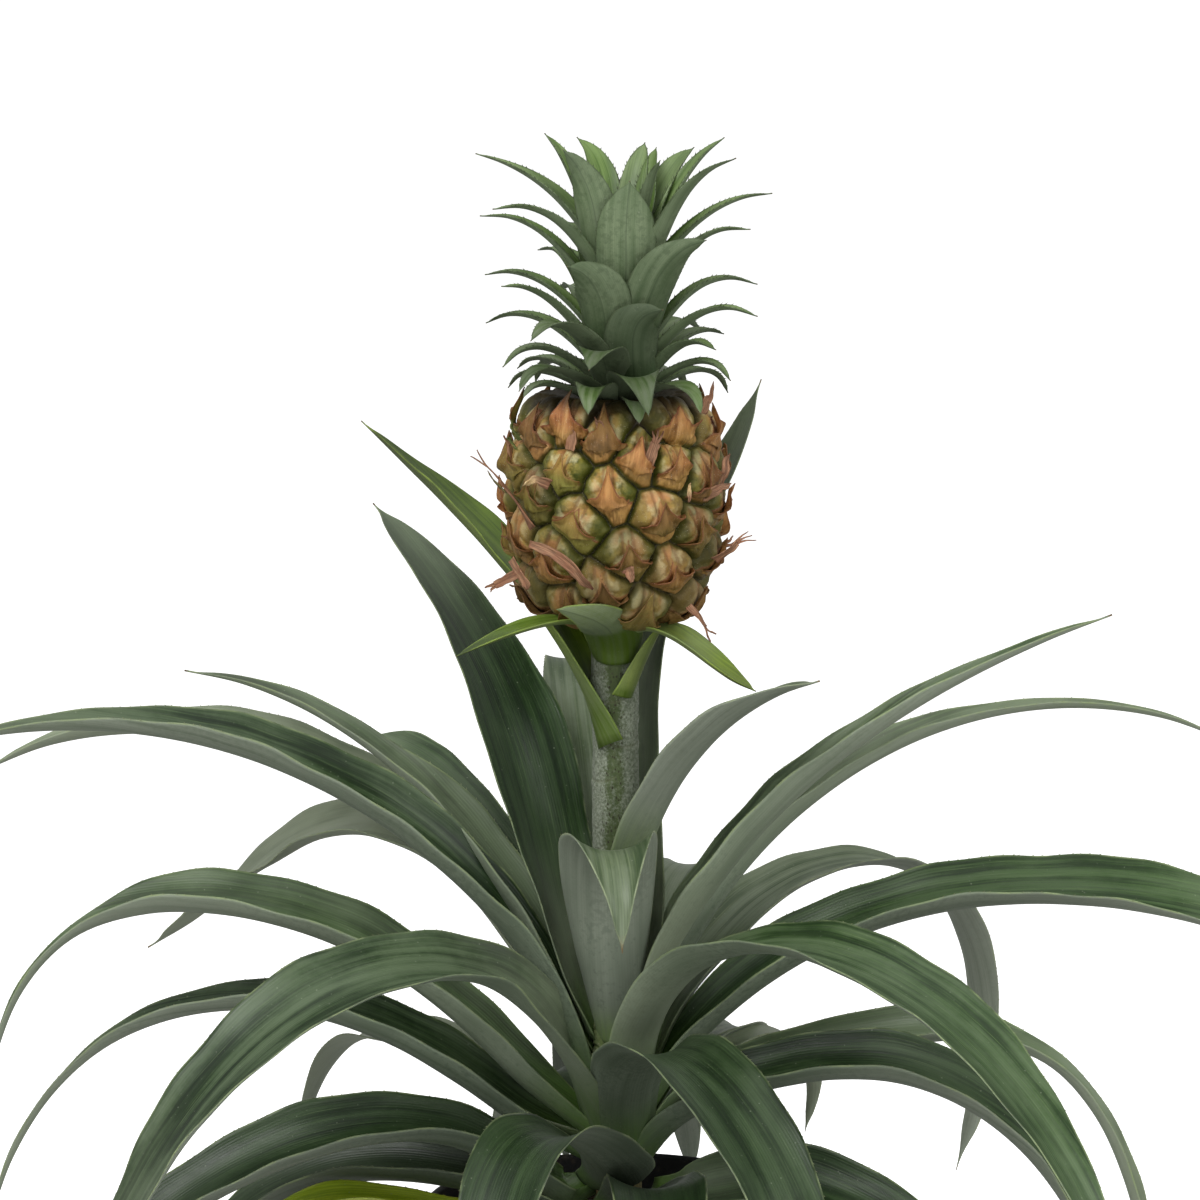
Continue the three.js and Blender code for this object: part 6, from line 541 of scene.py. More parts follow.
BRACTS = [
    ("bract_front", "bract_green", 44, {'bloom': 1.0, 'painted_shade': 0.0, 'base': 1.0, 'base_to': (0.3, 0.4), 'painted_shade_base': 0.25}, [
        (-0.6, -8.5, 301.79, 9.6, 1.35, 1, -0.001, 0.023),
        (-0.79, -9.79, 306.55, 10, 0.89, 0.998, -0.016, 0.055),
        (-1.18, -12.81, 310.33, 9.95, 0.56, 0.992, -0.036, 0.12),
        (-1.91, -16.99, 313.37, 9.56, 0.49, 0.973, -0.065, 0.22),
        (-3.09, -21.74, 315.94, 8.99, 0.47, 0.932, -0.105, 0.347),
        (-4.84, -26.48, 318.27, 8.1, 0.45, 0.862, -0.153, 0.483),
        (-7.28, -30.75, 320.45, 6.72, 0.43, 0.749, -0.207, 0.63),
        (-10.57, -34.27, 322.41, 4.87, 0.41, 0.585, -0.263, 0.767),
        (-14.83, -36.72, 324.06, 2.76, 0.4, 0.384, -0.31, 0.87),
        (-20.2, -37.8, 325.32, 0.5, 0.4, 0.177, -0.341, 0.923),
    ]),
    ("bract_left_long", "bract_green", 41, {'bloom': 0.0, 'painted_shade': 0.25, 'painted_shade_base': -0.9, 'painted_shade_tip': 0.5, 'base': 0.6, 'base_to': (0.1, 0.5)}, [
        (-5.43, -8.17, 274.04, 9.2, 1.15, 0.455, -0.865, 0.211),
        (-11.83, -2.27, 292.91, 10.72, 0.87, -0.249, -0.899, 0.359),
        (-20.49, 8.44, 308.46, 12.93, 0.77, -0.508, -0.799, 0.323),
        (-31.26, 20.62, 322.21, 15.44, 0.72, -0.506, -0.817, 0.278),
        (-43.9, 31.85, 335.33, 16.66, 0.67, -0.448, -0.86, 0.245),
        (-57.83, 41.99, 348.16, 14.97, 0.64, -0.388, -0.891, 0.236),
        (-72.47, 51.18, 360.94, 8.25, 0.61, -0.326, -0.912, 0.248),
        (-87.21, 59.59, 373.87, 0.5, 0.6, -0.283, -0.925, 0.255),
    ]),
    ("bract_left_thin", "bract_green", 42, {'bloom': 0.2, 'painted_shade': 0.1, 'painted_shade_tip': 0.8, 'base': 0.5}, [
        (-3.95, -5.97, 308.68, 4, 1, 0.817, -0.55, -0.175),
        (-8.16, -12.98, 314.3, 4.62, 0.8, 0.769, -0.631, -0.104),
        (-13.76, -19.43, 317.45, 5.47, 0.64, 0.697, -0.716, -0.043),
        (-20.46, -25.28, 318.54, 6.5, 0.6, 0.612, -0.791, -0.003),
        (-27.96, -30.49, 317.99, 6.61, 0.6, 0.527, -0.849, 0.016),
        (-35.98, -35.01, 316.21, 5.76, 0.6, 0.45, -0.893, 0.022),
        (-44.21, -38.82, 313.61, 3.49, 0.6, 0.378, -0.925, 0.021),
        (-52.37, -41.87, 310.6, 0.5, 0.6, 0.309, -0.951, 0.015),
    ]),
    ("bract_right", "bract_green", 43, {'bloom': 0.0, 'yellow': 0.35, 'painted_shade': -0.35, 'painted_shade_base': -0.4, 'painted_shade_tip': 0.9, 'base': 0.6}, [
        (2.43, -5.94, 308.72, 4, 1, 0.722, 0.677, 0.146),
        (7.37, -11.72, 313.63, 5.01, 0.79, 0.68, 0.73, 0.063),
        (12.91, -16.3, 314.54, 6.74, 0.63, 0.571, 0.821, -0.014),
        (18.91, -19.89, 312.51, 9.25, 0.6, 0.442, 0.896, -0.037),
        (25.24, -22.72, 308.65, 9.67, 0.6, 0.348, 0.937, -0.032),
        (31.74, -25.04, 304.01, 8.62, 0.6, 0.295, 0.955, -0.023),
        (38.29, -27.07, 299.69, 5.57, 0.6, 0.279, 0.96, -0.017),
        (44.75, -29.05, 296.76, 0.5, 0.6, 0.3, 0.954, -0.011),
    ]),
    ("bract_right_small", "bract_green", 45, {'bloom': 0, 'yellow': 0.2, 'painted_shade': -0.2, 'base': 0.6, 'painted_shade_tip': 0.5}, [
        (3.87, -8.27, 290.69, 8.2, 1.2, 0.322, 0.937, -0.137),
        (5.21, -8.27, 294.5, 6.99, 0.97, 0.38, 0.918, -0.113),
        (6.6, -8.46, 298.31, 5.95, 0.84, 0.426, 0.9, -0.093),
        (8.06, -8.83, 302.09, 5.06, 0.77, 0.462, 0.883, -0.076),
        (9.61, -9.37, 305.81, 4.27, 0.71, 0.49, 0.87, -0.064),
        (11.27, -10.09, 309.45, 3.47, 0.66, 0.509, 0.859, -0.054),
        (13.05, -10.96, 312.99, 2.31, 0.62, 0.522, 0.852, -0.046),
        (14.99, -11.98, 316.39, 0.5, 0.6, 0.529, 0.848, -0.041),
    ]),
]
CROWN_OUTER = [
    ("crown_leaf_01", 92, {'bloom': 0.75, 'painted_shade': 0.7}, [
        (0.8, -3.73, 384.57, 5.1, 1, 0.929, 0.369, -0.01),
        (2.7, -10.11, 388.75, 5.75, 1, 0.975, 0.22, 0.017),
        (3.79, -16.99, 393.26, 7.76, 0.86, 0.991, 0.133, 0.031),
        (4.48, -24.23, 397.13, 8.79, 0.67, 0.995, 0.098, 0.027),
        (5.21, -31.71, 399.4, 8.44, 0.58, 0.993, 0.119, 0.009),
        (6.38, -39.27, 399.14, 6.05, 0.54, 0.982, 0.189, -0.009),
        (7.95, -46.56, 395.97, 3.28, 0.51, 0.972, 0.236, -0.013),
        (9.51, -53.04, 389.96, 0.5, 0.5, 0.967, 0.254, -0.016),
    ]),
    ("crown_leaf_02", 89, {'bloom': 0.75, 'painted_shade': 0.7}, [
        (-1.18, -3.62, 385.71, 5.1, 1, 0.992, -0.129, -0.013),
        (-1.93, -9.3, 390.23, 5.85, 1, 0.988, -0.155, -0.013),
        (-2.77, -14.66, 395.82, 7.09, 0.89, 0.985, -0.174, -0.009),
        (-3.73, -20.06, 401.37, 7.96, 0.71, 0.982, -0.188, -0.005),
        (-4.85, -25.88, 405.78, 8.19, 0.6, 0.981, -0.195, -0.002),
        (-6.17, -32.48, 407.93, 7.12, 0.55, 0.98, -0.198, -0),
        (-7.72, -39.91, 407.19, 3.84, 0.51, 0.977, -0.213, -0),
        (-9.51, -47.54, 403.87, 0.5, 0.5, 0.97, -0.243, -0.006),
    ]),
    ("crown_leaf_03", 93, {'bloom': 0.75, 'painted_shade': 0.3}, [
        (-1.83, -3.72, 383.99, 4.68, 1, 0.957, -0.29, 0.006),
        (-3.51, -9.5, 387.78, 5.26, 1, 0.965, -0.264, 0.001),
        (-5.12, -15.74, 391.31, 6.13, 0.89, 0.972, -0.236, -0.003),
        (-6.59, -22.32, 394.15, 6.59, 0.68, 0.979, -0.203, -0.006),
        (-7.85, -29.1, 395.86, 6.39, 0.58, 0.986, -0.165, -0.004),
        (-8.84, -35.94, 396.02, 4.82, 0.54, 0.993, -0.121, 0.005),
        (-9.48, -42.71, 394.17, 3.03, 0.51, 0.997, -0.078, 0.024),
        (-9.71, -49.28, 389.9, 0.5, 0.5, 0.998, -0.043, 0.048),
    ]),
    ("crown_leaf_04", 86, {'bloom': 0.75, 'painted_shade': 0.5}, [
        (-1.69, -2.72, 388.82, 4.68, 1.1, 0.976, -0.182, -0.123),
        (-2.96, -7.63, 393.91, 5.55, 1.1, 0.873, -0.482, -0.074),
        (-5.61, -11.93, 400.11, 6.71, 0.98, 0.768, -0.64, -0.024),
        (-9.32, -15.98, 406.4, 7.29, 0.84, 0.701, -0.713, 0.002),
        (-13.75, -20.11, 411.76, 6.7, 0.79, 0.678, -0.735, 0.008),
        (-18.59, -24.66, 415.16, 5.53, 0.75, 0.703, -0.711, 0),
        (-23.5, -29.97, 415.58, 3.37, 0.72, 0.767, -0.641, 0.005),
        (-28.16, -36.38, 412.01, 0.5, 0.7, 0.833, -0.552, 0.038),
    ]),
    ("crown_leaf_05", 82, {'bloom': 0.1, 'painted_shade': -0.2}, [
        (-0.45, 0.74, 421.19, 3.82, 1.1, -0.366, -0.93, 0.04),
        (-4.25, 2.62, 430.53, 5.1, 1.09, -0.363, -0.931, 0.037),
        (-8.88, 4.73, 439.34, 6.62, 0.99, -0.357, -0.934, 0.031),
        (-14.43, 7.06, 447.39, 6.93, 0.92, -0.347, -0.938, 0.024),
        (-20.98, 9.58, 454.43, 6.32, 0.87, -0.332, -0.943, 0.017),
        (-28.61, 12.28, 460.25, 4.39, 0.83, -0.316, -0.949, 0.01),
        (-37.27, 15.11, 464.73, 2.18, 0.81, -0.299, -0.954, 0.005),
        (-46.85, 18.02, 467.8, 0.5, 0.8, -0.281, -0.96, 0.002),
    ]),
    ("crown_leaf_06", 68, {'bloom': 0.25, 'painted_shade': -0.1}, [
        (3.34, -1.48, 418.74, 3.82, 1.1, 0.497, 0.868, 0.021),
        (7.83, -4.3, 425.88, 4.82, 1.09, 0.505, 0.863, 0.029),
        (11.52, -6.74, 434.05, 6.1, 1, 0.501, 0.865, 0.03),
        (14.98, -8.96, 442.65, 6.45, 0.92, 0.483, 0.875, 0.023),
        (18.76, -11.15, 451.07, 5.84, 0.88, 0.454, 0.891, 0.011),
        (23.45, -13.45, 458.68, 4.68, 0.84, 0.416, 0.909, -0.002),
        (29.61, -16.05, 464.89, 2.75, 0.81, 0.374, 0.927, -0.01),
        (37.8, -19.11, 469.09, 0.5, 0.8, 0.338, 0.941, -0.008),
    ]),
    ("crown_leaf_07", 70, {'bloom': 0.25, 'painted_shade': 0}, [
        (3.39, -0.82, 407.01, 3.4, 1.1, 0.144, 0.99, 0.001),
        (8.3, -1.78, 413.27, 4.11, 1.1, 0.209, 0.978, 0.021),
        (12.51, -3.04, 420.68, 4.78, 1.01, 0.261, 0.964, 0.04),
        (16.59, -4.62, 428.41, 4.98, 0.92, 0.3, 0.952, 0.052),
        (21.1, -6.52, 435.62, 4.66, 0.88, 0.325, 0.944, 0.053),
        (26.59, -8.74, 441.46, 3.87, 0.84, 0.333, 0.942, 0.039),
        (33.61, -11.28, 445.12, 2.42, 0.81, 0.317, 0.948, 0.015),
        (42.69, -14.13, 445.74, 0.5, 0.8, 0.279, 0.96, -0.005),
    ]),
    ("crown_leaf_08", 72, {'bloom': 0.25, 'painted_shade': 0}, [
        (2.97, -0.09, 397.58, 3.4, 1.1, 0.004, 1, 0.021),
        (8, 0.27, 403.38, 4.06, 1.1, -0.145, 0.989, -0.016),
        (12.81, 1.48, 410.03, 4.76, 1.01, -0.248, 0.968, -0.046),
        (17.79, 3.33, 416.63, 4.96, 0.92, -0.311, 0.949, -0.059),
        (23.34, 5.6, 422.28, 4.45, 0.87, -0.339, 0.939, -0.052),
        (29.84, 8.1, 426.09, 3.56, 0.83, -0.332, 0.943, -0.026),
        (37.37, 10.63, 427.29, 2.22, 0.81, -0.294, 0.956, 0.003),
        (45.93, 13, 425.18, 0.5, 0.8, -0.231, 0.973, 0.018),
    ]),
    ("crown_leaf_09", 73, {'bloom': 0.25, 'painted_shade': -0.1}, [
        (2.62, -1.63, 392.57, 3.4, 1.1, 0.523, 0.851, 0.039),
        (7.51, -4.62, 397.66, 3.98, 1.1, 0.464, 0.885, 0.033),
        (12.45, -7.23, 403.69, 4.68, 1.02, 0.421, 0.907, 0.022),
        (17.63, -9.65, 409.83, 4.99, 0.93, 0.393, 0.919, 0.013),
        (23.26, -12.05, 415.21, 4.68, 0.88, 0.379, 0.926, 0.008),
        (29.54, -14.63, 418.97, 3.92, 0.84, 0.377, 0.926, 0.004),
        (36.69, -17.57, 420.27, 2.47, 0.81, 0.384, 0.923, -0),
        (44.91, -21.06, 418.23, 0.5, 0.8, 0.395, 0.919, -0.007),
    ]),
    ("crown_leaf_10", 81, {'bloom': 0.25, 'painted_shade': -0.05}, [
        (-0.8, -0.44, 407.16, 3.82, 1.1, 0.095, -0.994, -0.061),
        (-4.8, -0.87, 415.12, 4.83, 1.08, -0.027, -0.999, -0.02),
        (-9.31, -0.58, 423.5, 5.4, 0.98, -0.113, -0.994, 0.008),
        (-14.5, 0.33, 431.64, 5.42, 0.91, -0.173, -0.985, 0.025),
        (-20.52, 1.74, 438.84, 4.92, 0.87, -0.214, -0.976, 0.031),
        (-27.55, 3.56, 444.45, 3.85, 0.83, -0.239, -0.971, 0.025),
        (-35.75, 5.67, 447.78, 2.28, 0.81, -0.243, -0.97, 0.01),
        (-45.28, 7.99, 448.15, 0.5, 0.8, -0.225, -0.974, -0.005),
    ]),
    ("crown_leaf_11", 83, {'bloom': 0.25, 'painted_shade': 0.05}, [
        (-1.43, 0.83, 397.57, 3.82, 1.1, -0.266, -0.963, 0.032),
        (-5.05, 2.12, 404.62, 4.64, 1.09, -0.284, -0.958, 0.035),
        (-9.62, 3.78, 411.65, 4.93, 1, -0.298, -0.954, 0.036),
        (-15.06, 5.75, 418.15, 4.98, 0.92, -0.311, -0.95, 0.034),
        (-21.29, 8.01, 423.57, 4.52, 0.88, -0.322, -0.946, 0.028),
        (-28.22, 10.51, 427.38, 3.76, 0.84, -0.331, -0.943, 0.018),
        (-35.79, 13.2, 429.06, 2.47, 0.81, -0.333, -0.943, 0.003),
        (-43.91, 16.05, 428.06, 0.5, 0.8, -0.324, -0.946, -0.013),
    ]),
    ("crown_leaf_12", 85, {'bloom': 0.25, 'painted_shade': 0.15}, [
        (-1.92, 0.68, 389.69, 3.4, 1.1, -0.367, -0.93, 0.036),
        (-5.82, 2.53, 396.17, 4.21, 1.09, -0.387, -0.921, 0.038),
        (-10.7, 4.89, 402.4, 4.8, 1.01, -0.402, -0.915, 0.037),
        (-16.41, 7.66, 407.86, 4.98, 0.93, -0.416, -0.909, 0.033),
        (-22.74, 10.75, 412.02, 4.54, 0.88, -0.429, -0.903, 0.024),
        (-29.54, 14.07, 414.37, 3.74, 0.84, -0.438, -0.899, 0.01),
        (-36.61, 17.53, 414.38, 2.41, 0.81, -0.437, -0.899, -0.01),
        (-43.78, 21.02, 411.52, 0.5, 0.8, -0.423, -0.905, -0.028),
    ]),
    ("crown_leaf_13", 76, {'bloom': 0.25, 'painted_shade': 0.3}, [
        (1.7, -1.34, 385.86, 3.4, 1.1, 0.453, 0.89, 0.061),
        (5.91, -3.31, 389.34, 3.93, 1.1, 0.343, 0.938, 0.043),
        (10.88, -5.15, 393.47, 4.28, 1.05, 0.304, 0.952, 0.034),
        (16.3, -7.02, 397.5, 4.5, 0.95, 0.311, 0.95, 0.031),
        (21.86, -9.08, 400.64, 4.27, 0.9, 0.361, 0.932, 0.028),
        (27.26, -11.51, 402.12, 3.64, 0.85, 0.454, 0.891, 0.007),
        (32.2, -14.47, 401.16, 2.38, 0.82, 0.559, 0.827, -0.057),
        (36.38, -18.14, 397, 0.5, 0.8, 0.624, 0.769, -0.138),
    ]),
    ("crown_leaf_14", 87, {'bloom': 0.75, 'painted_shade': 0.4}, [
        (-2.32, -1.2, 386.3, 3.4, 1.1, 0.38, -0.92, -0.097),
        (-5.5, -2.63, 391.55, 4.06, 1.1, 0.266, -0.963, -0.051),
        (-9.88, -3.95, 396.85, 4.43, 1.03, 0.229, -0.973, -0.035),
        (-15.12, -5.35, 401.53, 4.6, 0.94, 0.238, -0.971, -0.03),
        (-20.85, -6.99, 404.96, 4.3, 0.89, 0.287, -0.958, -0.025),
        (-26.73, -9.06, 406.46, 3.64, 0.85, 0.372, -0.928, -0.005),
        (-32.4, -11.73, 405.38, 2.38, 0.81, 0.467, -0.883, 0.048),
        (-37.53, -15.18, 401.08, 0.5, 0.8, 0.537, -0.835, 0.117),
    ]),
    ("crown_leaf_15", 69, {'bloom': 0.25, 'painted_shade': 0}, [
        (3.43, -0.12, 414.92, 3.4, 1.1, -0.104, 0.994, 0.023),
        (7.9, 0.55, 423.08, 4.26, 1.09, -0.203, 0.979, -0.01),
        (12.91, 1.94, 431.09, 4.9, 0.98, -0.264, 0.964, -0.027),
        (18.6, 3.85, 438.55, 4.92, 0.91, -0.295, 0.955, -0.032),
        (25.08, 6.09, 445.07, 4.51, 0.86, -0.301, 0.953, -0.027),
        (32.49, 8.49, 450.27, 3.45, 0.83, -0.283, 0.959, -0.017),
        (40.96, 10.86, 453.76, 2.04, 0.81, -0.244, 0.97, -0.006),
        (50.62, 13.01, 455.14, 0.5, 0.8, -0.188, 0.982, -0),
    ]),
]
CROWN_INNER = [
    (62, {'bloom': 0.05, 'painted_shade': -0.15, 'painted_shade_tip': 0.5, 'base': 0.9, 'base_to': (0.05, 0.38)}, [
        (-0.09, -1.54, 417.19, 4.68, 1.05, 0.87, -0.261, 0.417),
        (-2.55, -3.58, 422.47, 5.57, 1.05, 0.933, -0.272, 0.237),
        (-4.19, -5.37, 428.41, 6.37, 1.02, 0.954, -0.268, 0.132),
        (-5.29, -6.87, 434.79, 7.01, 0.97, 0.962, -0.259, 0.086),
        (-6.18, -8.02, 441.42, 7.33, 0.92, 0.964, -0.25, 0.092),
        (-7.16, -8.77, 448.08, 7.49, 0.87, 0.959, -0.243, 0.144),
        (-8.53, -9.05, 454.57, 7.2, 0.8, 0.94, -0.236, 0.247),
        (-10.61, -8.81, 460.68, 5.64, 0.73, 0.886, -0.228, 0.403),
        (-13.69, -8, 466.21, 3.14, 0.66, 0.772, -0.216, 0.598),
        (-18.09, -6.56, 470.95, 0.5, 0.6, 0.585, -0.196, 0.787),
    ]),
    (63, {'bloom': 0.1, 'painted_shade': 0}, [
        (0.75, 0.92, 428.96, 3.4, 1.1, -0.692, -0.717, -0.079),
        (-1.9, 3.61, 435.1, 4.24, 1.1, -0.835, -0.55, -0.02),
        (-3.31, 6.32, 441.76, 5.56, 1.01, -0.909, -0.416, 0.033),
        (-4.1, 9.08, 448.66, 6.47, 0.92, -0.93, -0.362, 0.054),
        (-4.91, 11.97, 455.52, 6.31, 0.87, -0.916, -0.399, 0.039),
        (-6.34, 15.05, 462.03, 5.66, 0.84, -0.858, -0.514, -0.005),
        (-9.02, 18.38, 467.93, 3.93, 0.81, -0.743, -0.667, -0.054),
        (-13.56, 22.01, 472.91, 0.5, 0.8, -0.593, -0.802, -0.073),
    ]),
    (64, {'bloom': 0.1, 'painted_shade': -0.3}, [
        (2.23, 1, 428.97, 3.4, 1.1, -0.99, 0.14, -0.012),
        (2.6, 3.43, 435.16, 4.18, 1.1, -0.983, 0.182, 0.003),
        (3.1, 5.52, 441.53, 4.88, 1.03, -0.974, 0.224, 0.019),
        (3.78, 7.51, 447.94, 5.4, 0.94, -0.964, 0.263, 0.034),
        (4.67, 9.62, 454.26, 5.42, 0.89, -0.954, 0.296, 0.046),
        (5.79, 12.09, 460.38, 4.73, 0.85, -0.946, 0.321, 0.051),
        (7.18, 15.15, 466.16, 3.37, 0.82, -0.94, 0.338, 0.051),
        (8.87, 19.04, 471.48, 0.5, 0.8, -0.937, 0.345, 0.045),
    ]),
    (65, {'bloom': 0.1, 'painted_shade': 0.25}, [
        (3.35, 0.61, 429.05, 3.4, 1.1, -0.592, 0.803, 0.071),
        (5.87, 2.25, 434.63, 4.07, 1.1, -0.678, 0.734, 0.044),
        (7.51, 3.72, 440.67, 4.46, 1.05, -0.759, 0.651, 0.004),
        (8.54, 5.24, 446.93, 4.73, 0.96, -0.823, 0.567, -0.036),
        (9.26, 7.01, 453.22, 4.76, 0.89, -0.864, 0.499, -0.065),
        (9.98, 9.26, 459.31, 3.86, 0.85, -0.886, 0.458, -0.077),
        (10.97, 12.18, 464.99, 2.49, 0.82, -0.893, 0.445, -0.071),
        (12.54, 16, 470.05, 0.5, 0.8, -0.888, 0.457, -0.053),
    ]),
    (66, {'bloom': 0.1, 'painted_shade': -0.25}, [
        (3.33, 0.62, 427.04, 3.4, 1.1, -0.556, 0.831, 0.035),
        (6.12, 2.51, 433.59, 4.28, 1.09, -0.627, 0.779, 0.007),
        (8.57, 4.65, 440.33, 5.57, 1.01, -0.673, 0.739, -0.014),
        (10.94, 7.07, 447.05, 6.47, 0.92, -0.696, 0.718, -0.023),
        (13.49, 9.78, 453.55, 6.42, 0.87, -0.697, 0.716, -0.023),
        (16.52, 12.82, 459.64, 6.12, 0.84, -0.68, 0.733, -0.014),
        (20.29, 16.22, 465.11, 4.55, 0.81, -0.646, 0.763, -0.001),
        (25.06, 20, 469.75, 0.5, 0.8, -0.6, 0.8, 0.009),
    ]),
    (97, {'bloom': 0.05, 'painted_shade': 0.12, 'painted_shade_tip': -0.1, 'base': 0.9, 'base_to': (0.05, 0.38)}, [
        (1.44, -2.48, 413.64, 5.52, 1.05, 0.985, 0.009, -0.172),
        (1.95, -6.88, 417.51, 6.25, 1.05, 0.996, 0.005, -0.087),
        (2.24, -10.39, 422.07, 7.81, 1.03, 0.999, 0.002, -0.04),
        (2.38, -13.05, 427.16, 9.73, 0.97, 1, 0.001, -0.014),
        (2.42, -14.9, 432.66, 10.82, 0.92, 1, 0, -0.004),
        (2.44, -15.99, 438.42, 11, 0.87, 1, 0, -0.006),
        (2.51, -16.35, 444.31, 10.8, 0.82, 1, 0.002, -0.019),
        (2.69, -16.04, 450.18, 9.45, 0.76, 0.999, 0.004, -0.045),
        (3.05, -15.09, 455.91, 5.91, 0.67, 0.996, 0.008, -0.086),
        (3.66, -13.55, 461.35, 0.5, 0.6, 0.989, 0.015, -0.148),
    ]),
    (98, {'bloom': 0.1, 'painted_shade': -0.15}, [
        (3.09, -0.38, 429.34, 2.98, 1.1, 0.264, 0.964, -0.028),
        (5.28, -0.96, 434.89, 3.56, 1.1, 0.331, 0.943, -0.004),
        (6.87, -1.68, 440.66, 3.9, 1.05, 0.419, 0.908, 0.032),
        (8.07, -2.67, 446.52, 4.14, 0.96, 0.516, 0.853, 0.076),
        (9.11, -4.08, 452.31, 4.16, 0.89, 0.609, 0.785, 0.116),
        (10.22, -6.02, 457.9, 3.33, 0.85, 0.687, 0.712, 0.143),
        (11.6, -8.63, 463.14, 2.11, 0.82, 0.746, 0.649, 0.15),
        (13.48, -12.05, 467.9, 0.5, 0.8, 0.785, 0.605, 0.136),
    ]),
    (103, {'bloom': 0.25, 'painted_shade': 0.12}, [
        (1.57, 2.01, 412.13, 5.1, 1.1, -0.983, 0.183, 0.002),
        (2.43, 6.18, 418.03, 6.2, 1.1, -0.98, 0.2, 0.009),
        (3.07, 9.04, 424.73, 7.89, 0.99, -0.981, 0.193, 0.007),
        (3.45, 11.12, 431.91, 8.99, 0.86, -0.988, 0.154, -0.008),
        (3.52, 12.94, 439.27, 8.74, 0.8, -0.996, 0.086, -0.035),
        (3.24, 15.03, 446.5, 7.96, 0.76, -0.998, -0.003, -0.066),
        (2.56, 17.93, 453.3, 5.03, 0.72, -0.992, -0.094, -0.087),
        (1.43, 22.15, 459.35, 0.5, 0.7, -0.982, -0.17, -0.087),
    ]),
    (102, {'bloom': 0.25, 'painted_shade': 0.12}, [
        (-0.52, 2.3, 404.59, 5.1, 1.1, -0.889, -0.458, -0.023),
        (-2.73, 6.84, 409.44, 6.07, 1.1, -0.923, -0.385, -0.013),
        (-4.14, 10.26, 415.8, 7.55, 0.99, -0.933, -0.361, -0.007),
        (-5.33, 12.96, 422.95, 8.5, 0.85, -0.916, -0.401, -0.023),
        (-6.86, 15.32, 430.17, 8.32, 0.79, -0.861, -0.505, -0.064),
        (-9.29, 17.74, 436.71, 7.61, 0.75, -0.754, -0.648, -0.108),
        (-13.19, 20.62, 441.85, 4.6, 0.72, -0.616, -0.781, -0.107),
        (-19.12, 24.33, 444.85, 0.5, 0.7, -0.52, -0.853, -0.042),
    ]),
    (101, {'bloom': 0.25, 'painted_shade': 0.12}, [
        (1.26, 2.74, 398.82, 5.52, 1.1, -0.91, 0.413, 0.007),
        (3.46, 8.05, 402.15, 6.32, 1.1, -0.938, 0.346, 0.001),
        (4.83, 12.11, 407.46, 7.69, 1.02, -0.95, 0.311, -0.01),
        (5.87, 15.45, 413.76, 8.96, 0.87, -0.946, 0.325, -0.006),
        (7.08, 18.59, 420.09, 8.68, 0.8, -0.921, 0.39, 0.016),
        (8.97, 22.04, 425.48, 7.6, 0.75, -0.866, 0.498, 0.042),
        (12.04, 26.33, 428.94, 4.51, 0.72, -0.793, 0.608, 0.032),
        (16.8, 31.98, 429.5, 0.5, 0.7, -0.749, 0.662, -0.016),
    ]),
    (79, {'bloom': 0.05, 'painted_shade': 0.36, 'base': 0.9, 'base_to': (0.08, 0.55)}, [
        (-0.69, -2.6, 399.65, 5.95, 1.05, 0.763, -0.114, 0.636),
        (-2.37, -7.21, 402.04, 6.6, 1.05, 0.972, -0.165, 0.168),
        (-3.27, -11.01, 405.58, 7.51, 1.04, 0.984, -0.18, -0.001),
        (-3.74, -14.12, 409.93, 8.69, 0.98, 0.98, -0.194, -0.04),
        (-4.11, -16.63, 414.77, 9.53, 0.92, 0.977, -0.211, -0.008),
        (-4.74, -18.65, 419.77, 9.86, 0.86, 0.969, -0.233, 0.085),
        (-5.97, -20.27, 424.59, 9.73, 0.79, 0.934, -0.258, 0.248),
        (-8.13, -21.61, 428.92, 8.1, 0.73, 0.828, -0.278, 0.487),
        (-11.58, -22.77, 432.42, 4.4, 0.66, 0.602, -0.271, 0.751),
        (-16.65, -23.85, 434.76, 0.5, 0.6, 0.296, -0.228, 0.928),
    ]),
    (71, {'bloom': 0.05, 'painted_shade': 0.3, 'base': 0.9, 'base_to': (0.05, 0.38)}, [
        (1.59, -2.44, 400.68, 5.52, 1.05, 0.849, 0.127, -0.513),
        (3.82, -7.03, 404.36, 6.31, 1.05, 0.949, 0.163, -0.268),
        (5.55, -10.92, 409.11, 7.59, 1.02, 0.968, 0.183, -0.17),
        (7.08, -14.15, 414.58, 8.6, 0.96, 0.967, 0.201, -0.154),
        (8.69, -16.8, 420.42, 8.69, 0.91, 0.956, 0.22, -0.195),
        (10.68, -18.93, 426.29, 8.58, 0.85, 0.927, 0.24, -0.288),
        (13.35, -20.6, 431.85, 7.88, 0.79, 0.862, 0.259, -0.435),
        (16.99, -21.87, 436.74, 6.09, 0.73, 0.731, 0.268, -0.628),
        (21.89, -22.82, 440.62, 3.22, 0.66, 0.511, 0.254, -0.821),
        (28.35, -23.49, 443.14, 0.5, 0.6, 0.24, 0.214, -0.947),
    ]),
    (78, {'bloom': 0.05, 'painted_shade': 0.72, 'base': 0.9, 'base_to': (0.08, 0.55)}, [
        (1.07, -3.63, 388.19, 6.38, 1.05, 0.078, 0.004, -0.997),
        (3.9, -8.21, 389.47, 6.87, 1.05, 0.807, 0.061, -0.588),
        (5.09, -12.03, 392.43, 7.52, 1.05, 0.994, 0.066, -0.089),
        (5.2, -15.21, 396.61, 8.56, 1.02, 0.994, 0.059, 0.09),
        (4.78, -17.82, 401.54, 9.46, 0.95, 0.991, 0.058, 0.122),
        (4.4, -19.99, 406.74, 9.75, 0.89, 0.996, 0.069, 0.06),
        (4.62, -21.79, 411.75, 9.61, 0.82, 0.989, 0.101, -0.11),
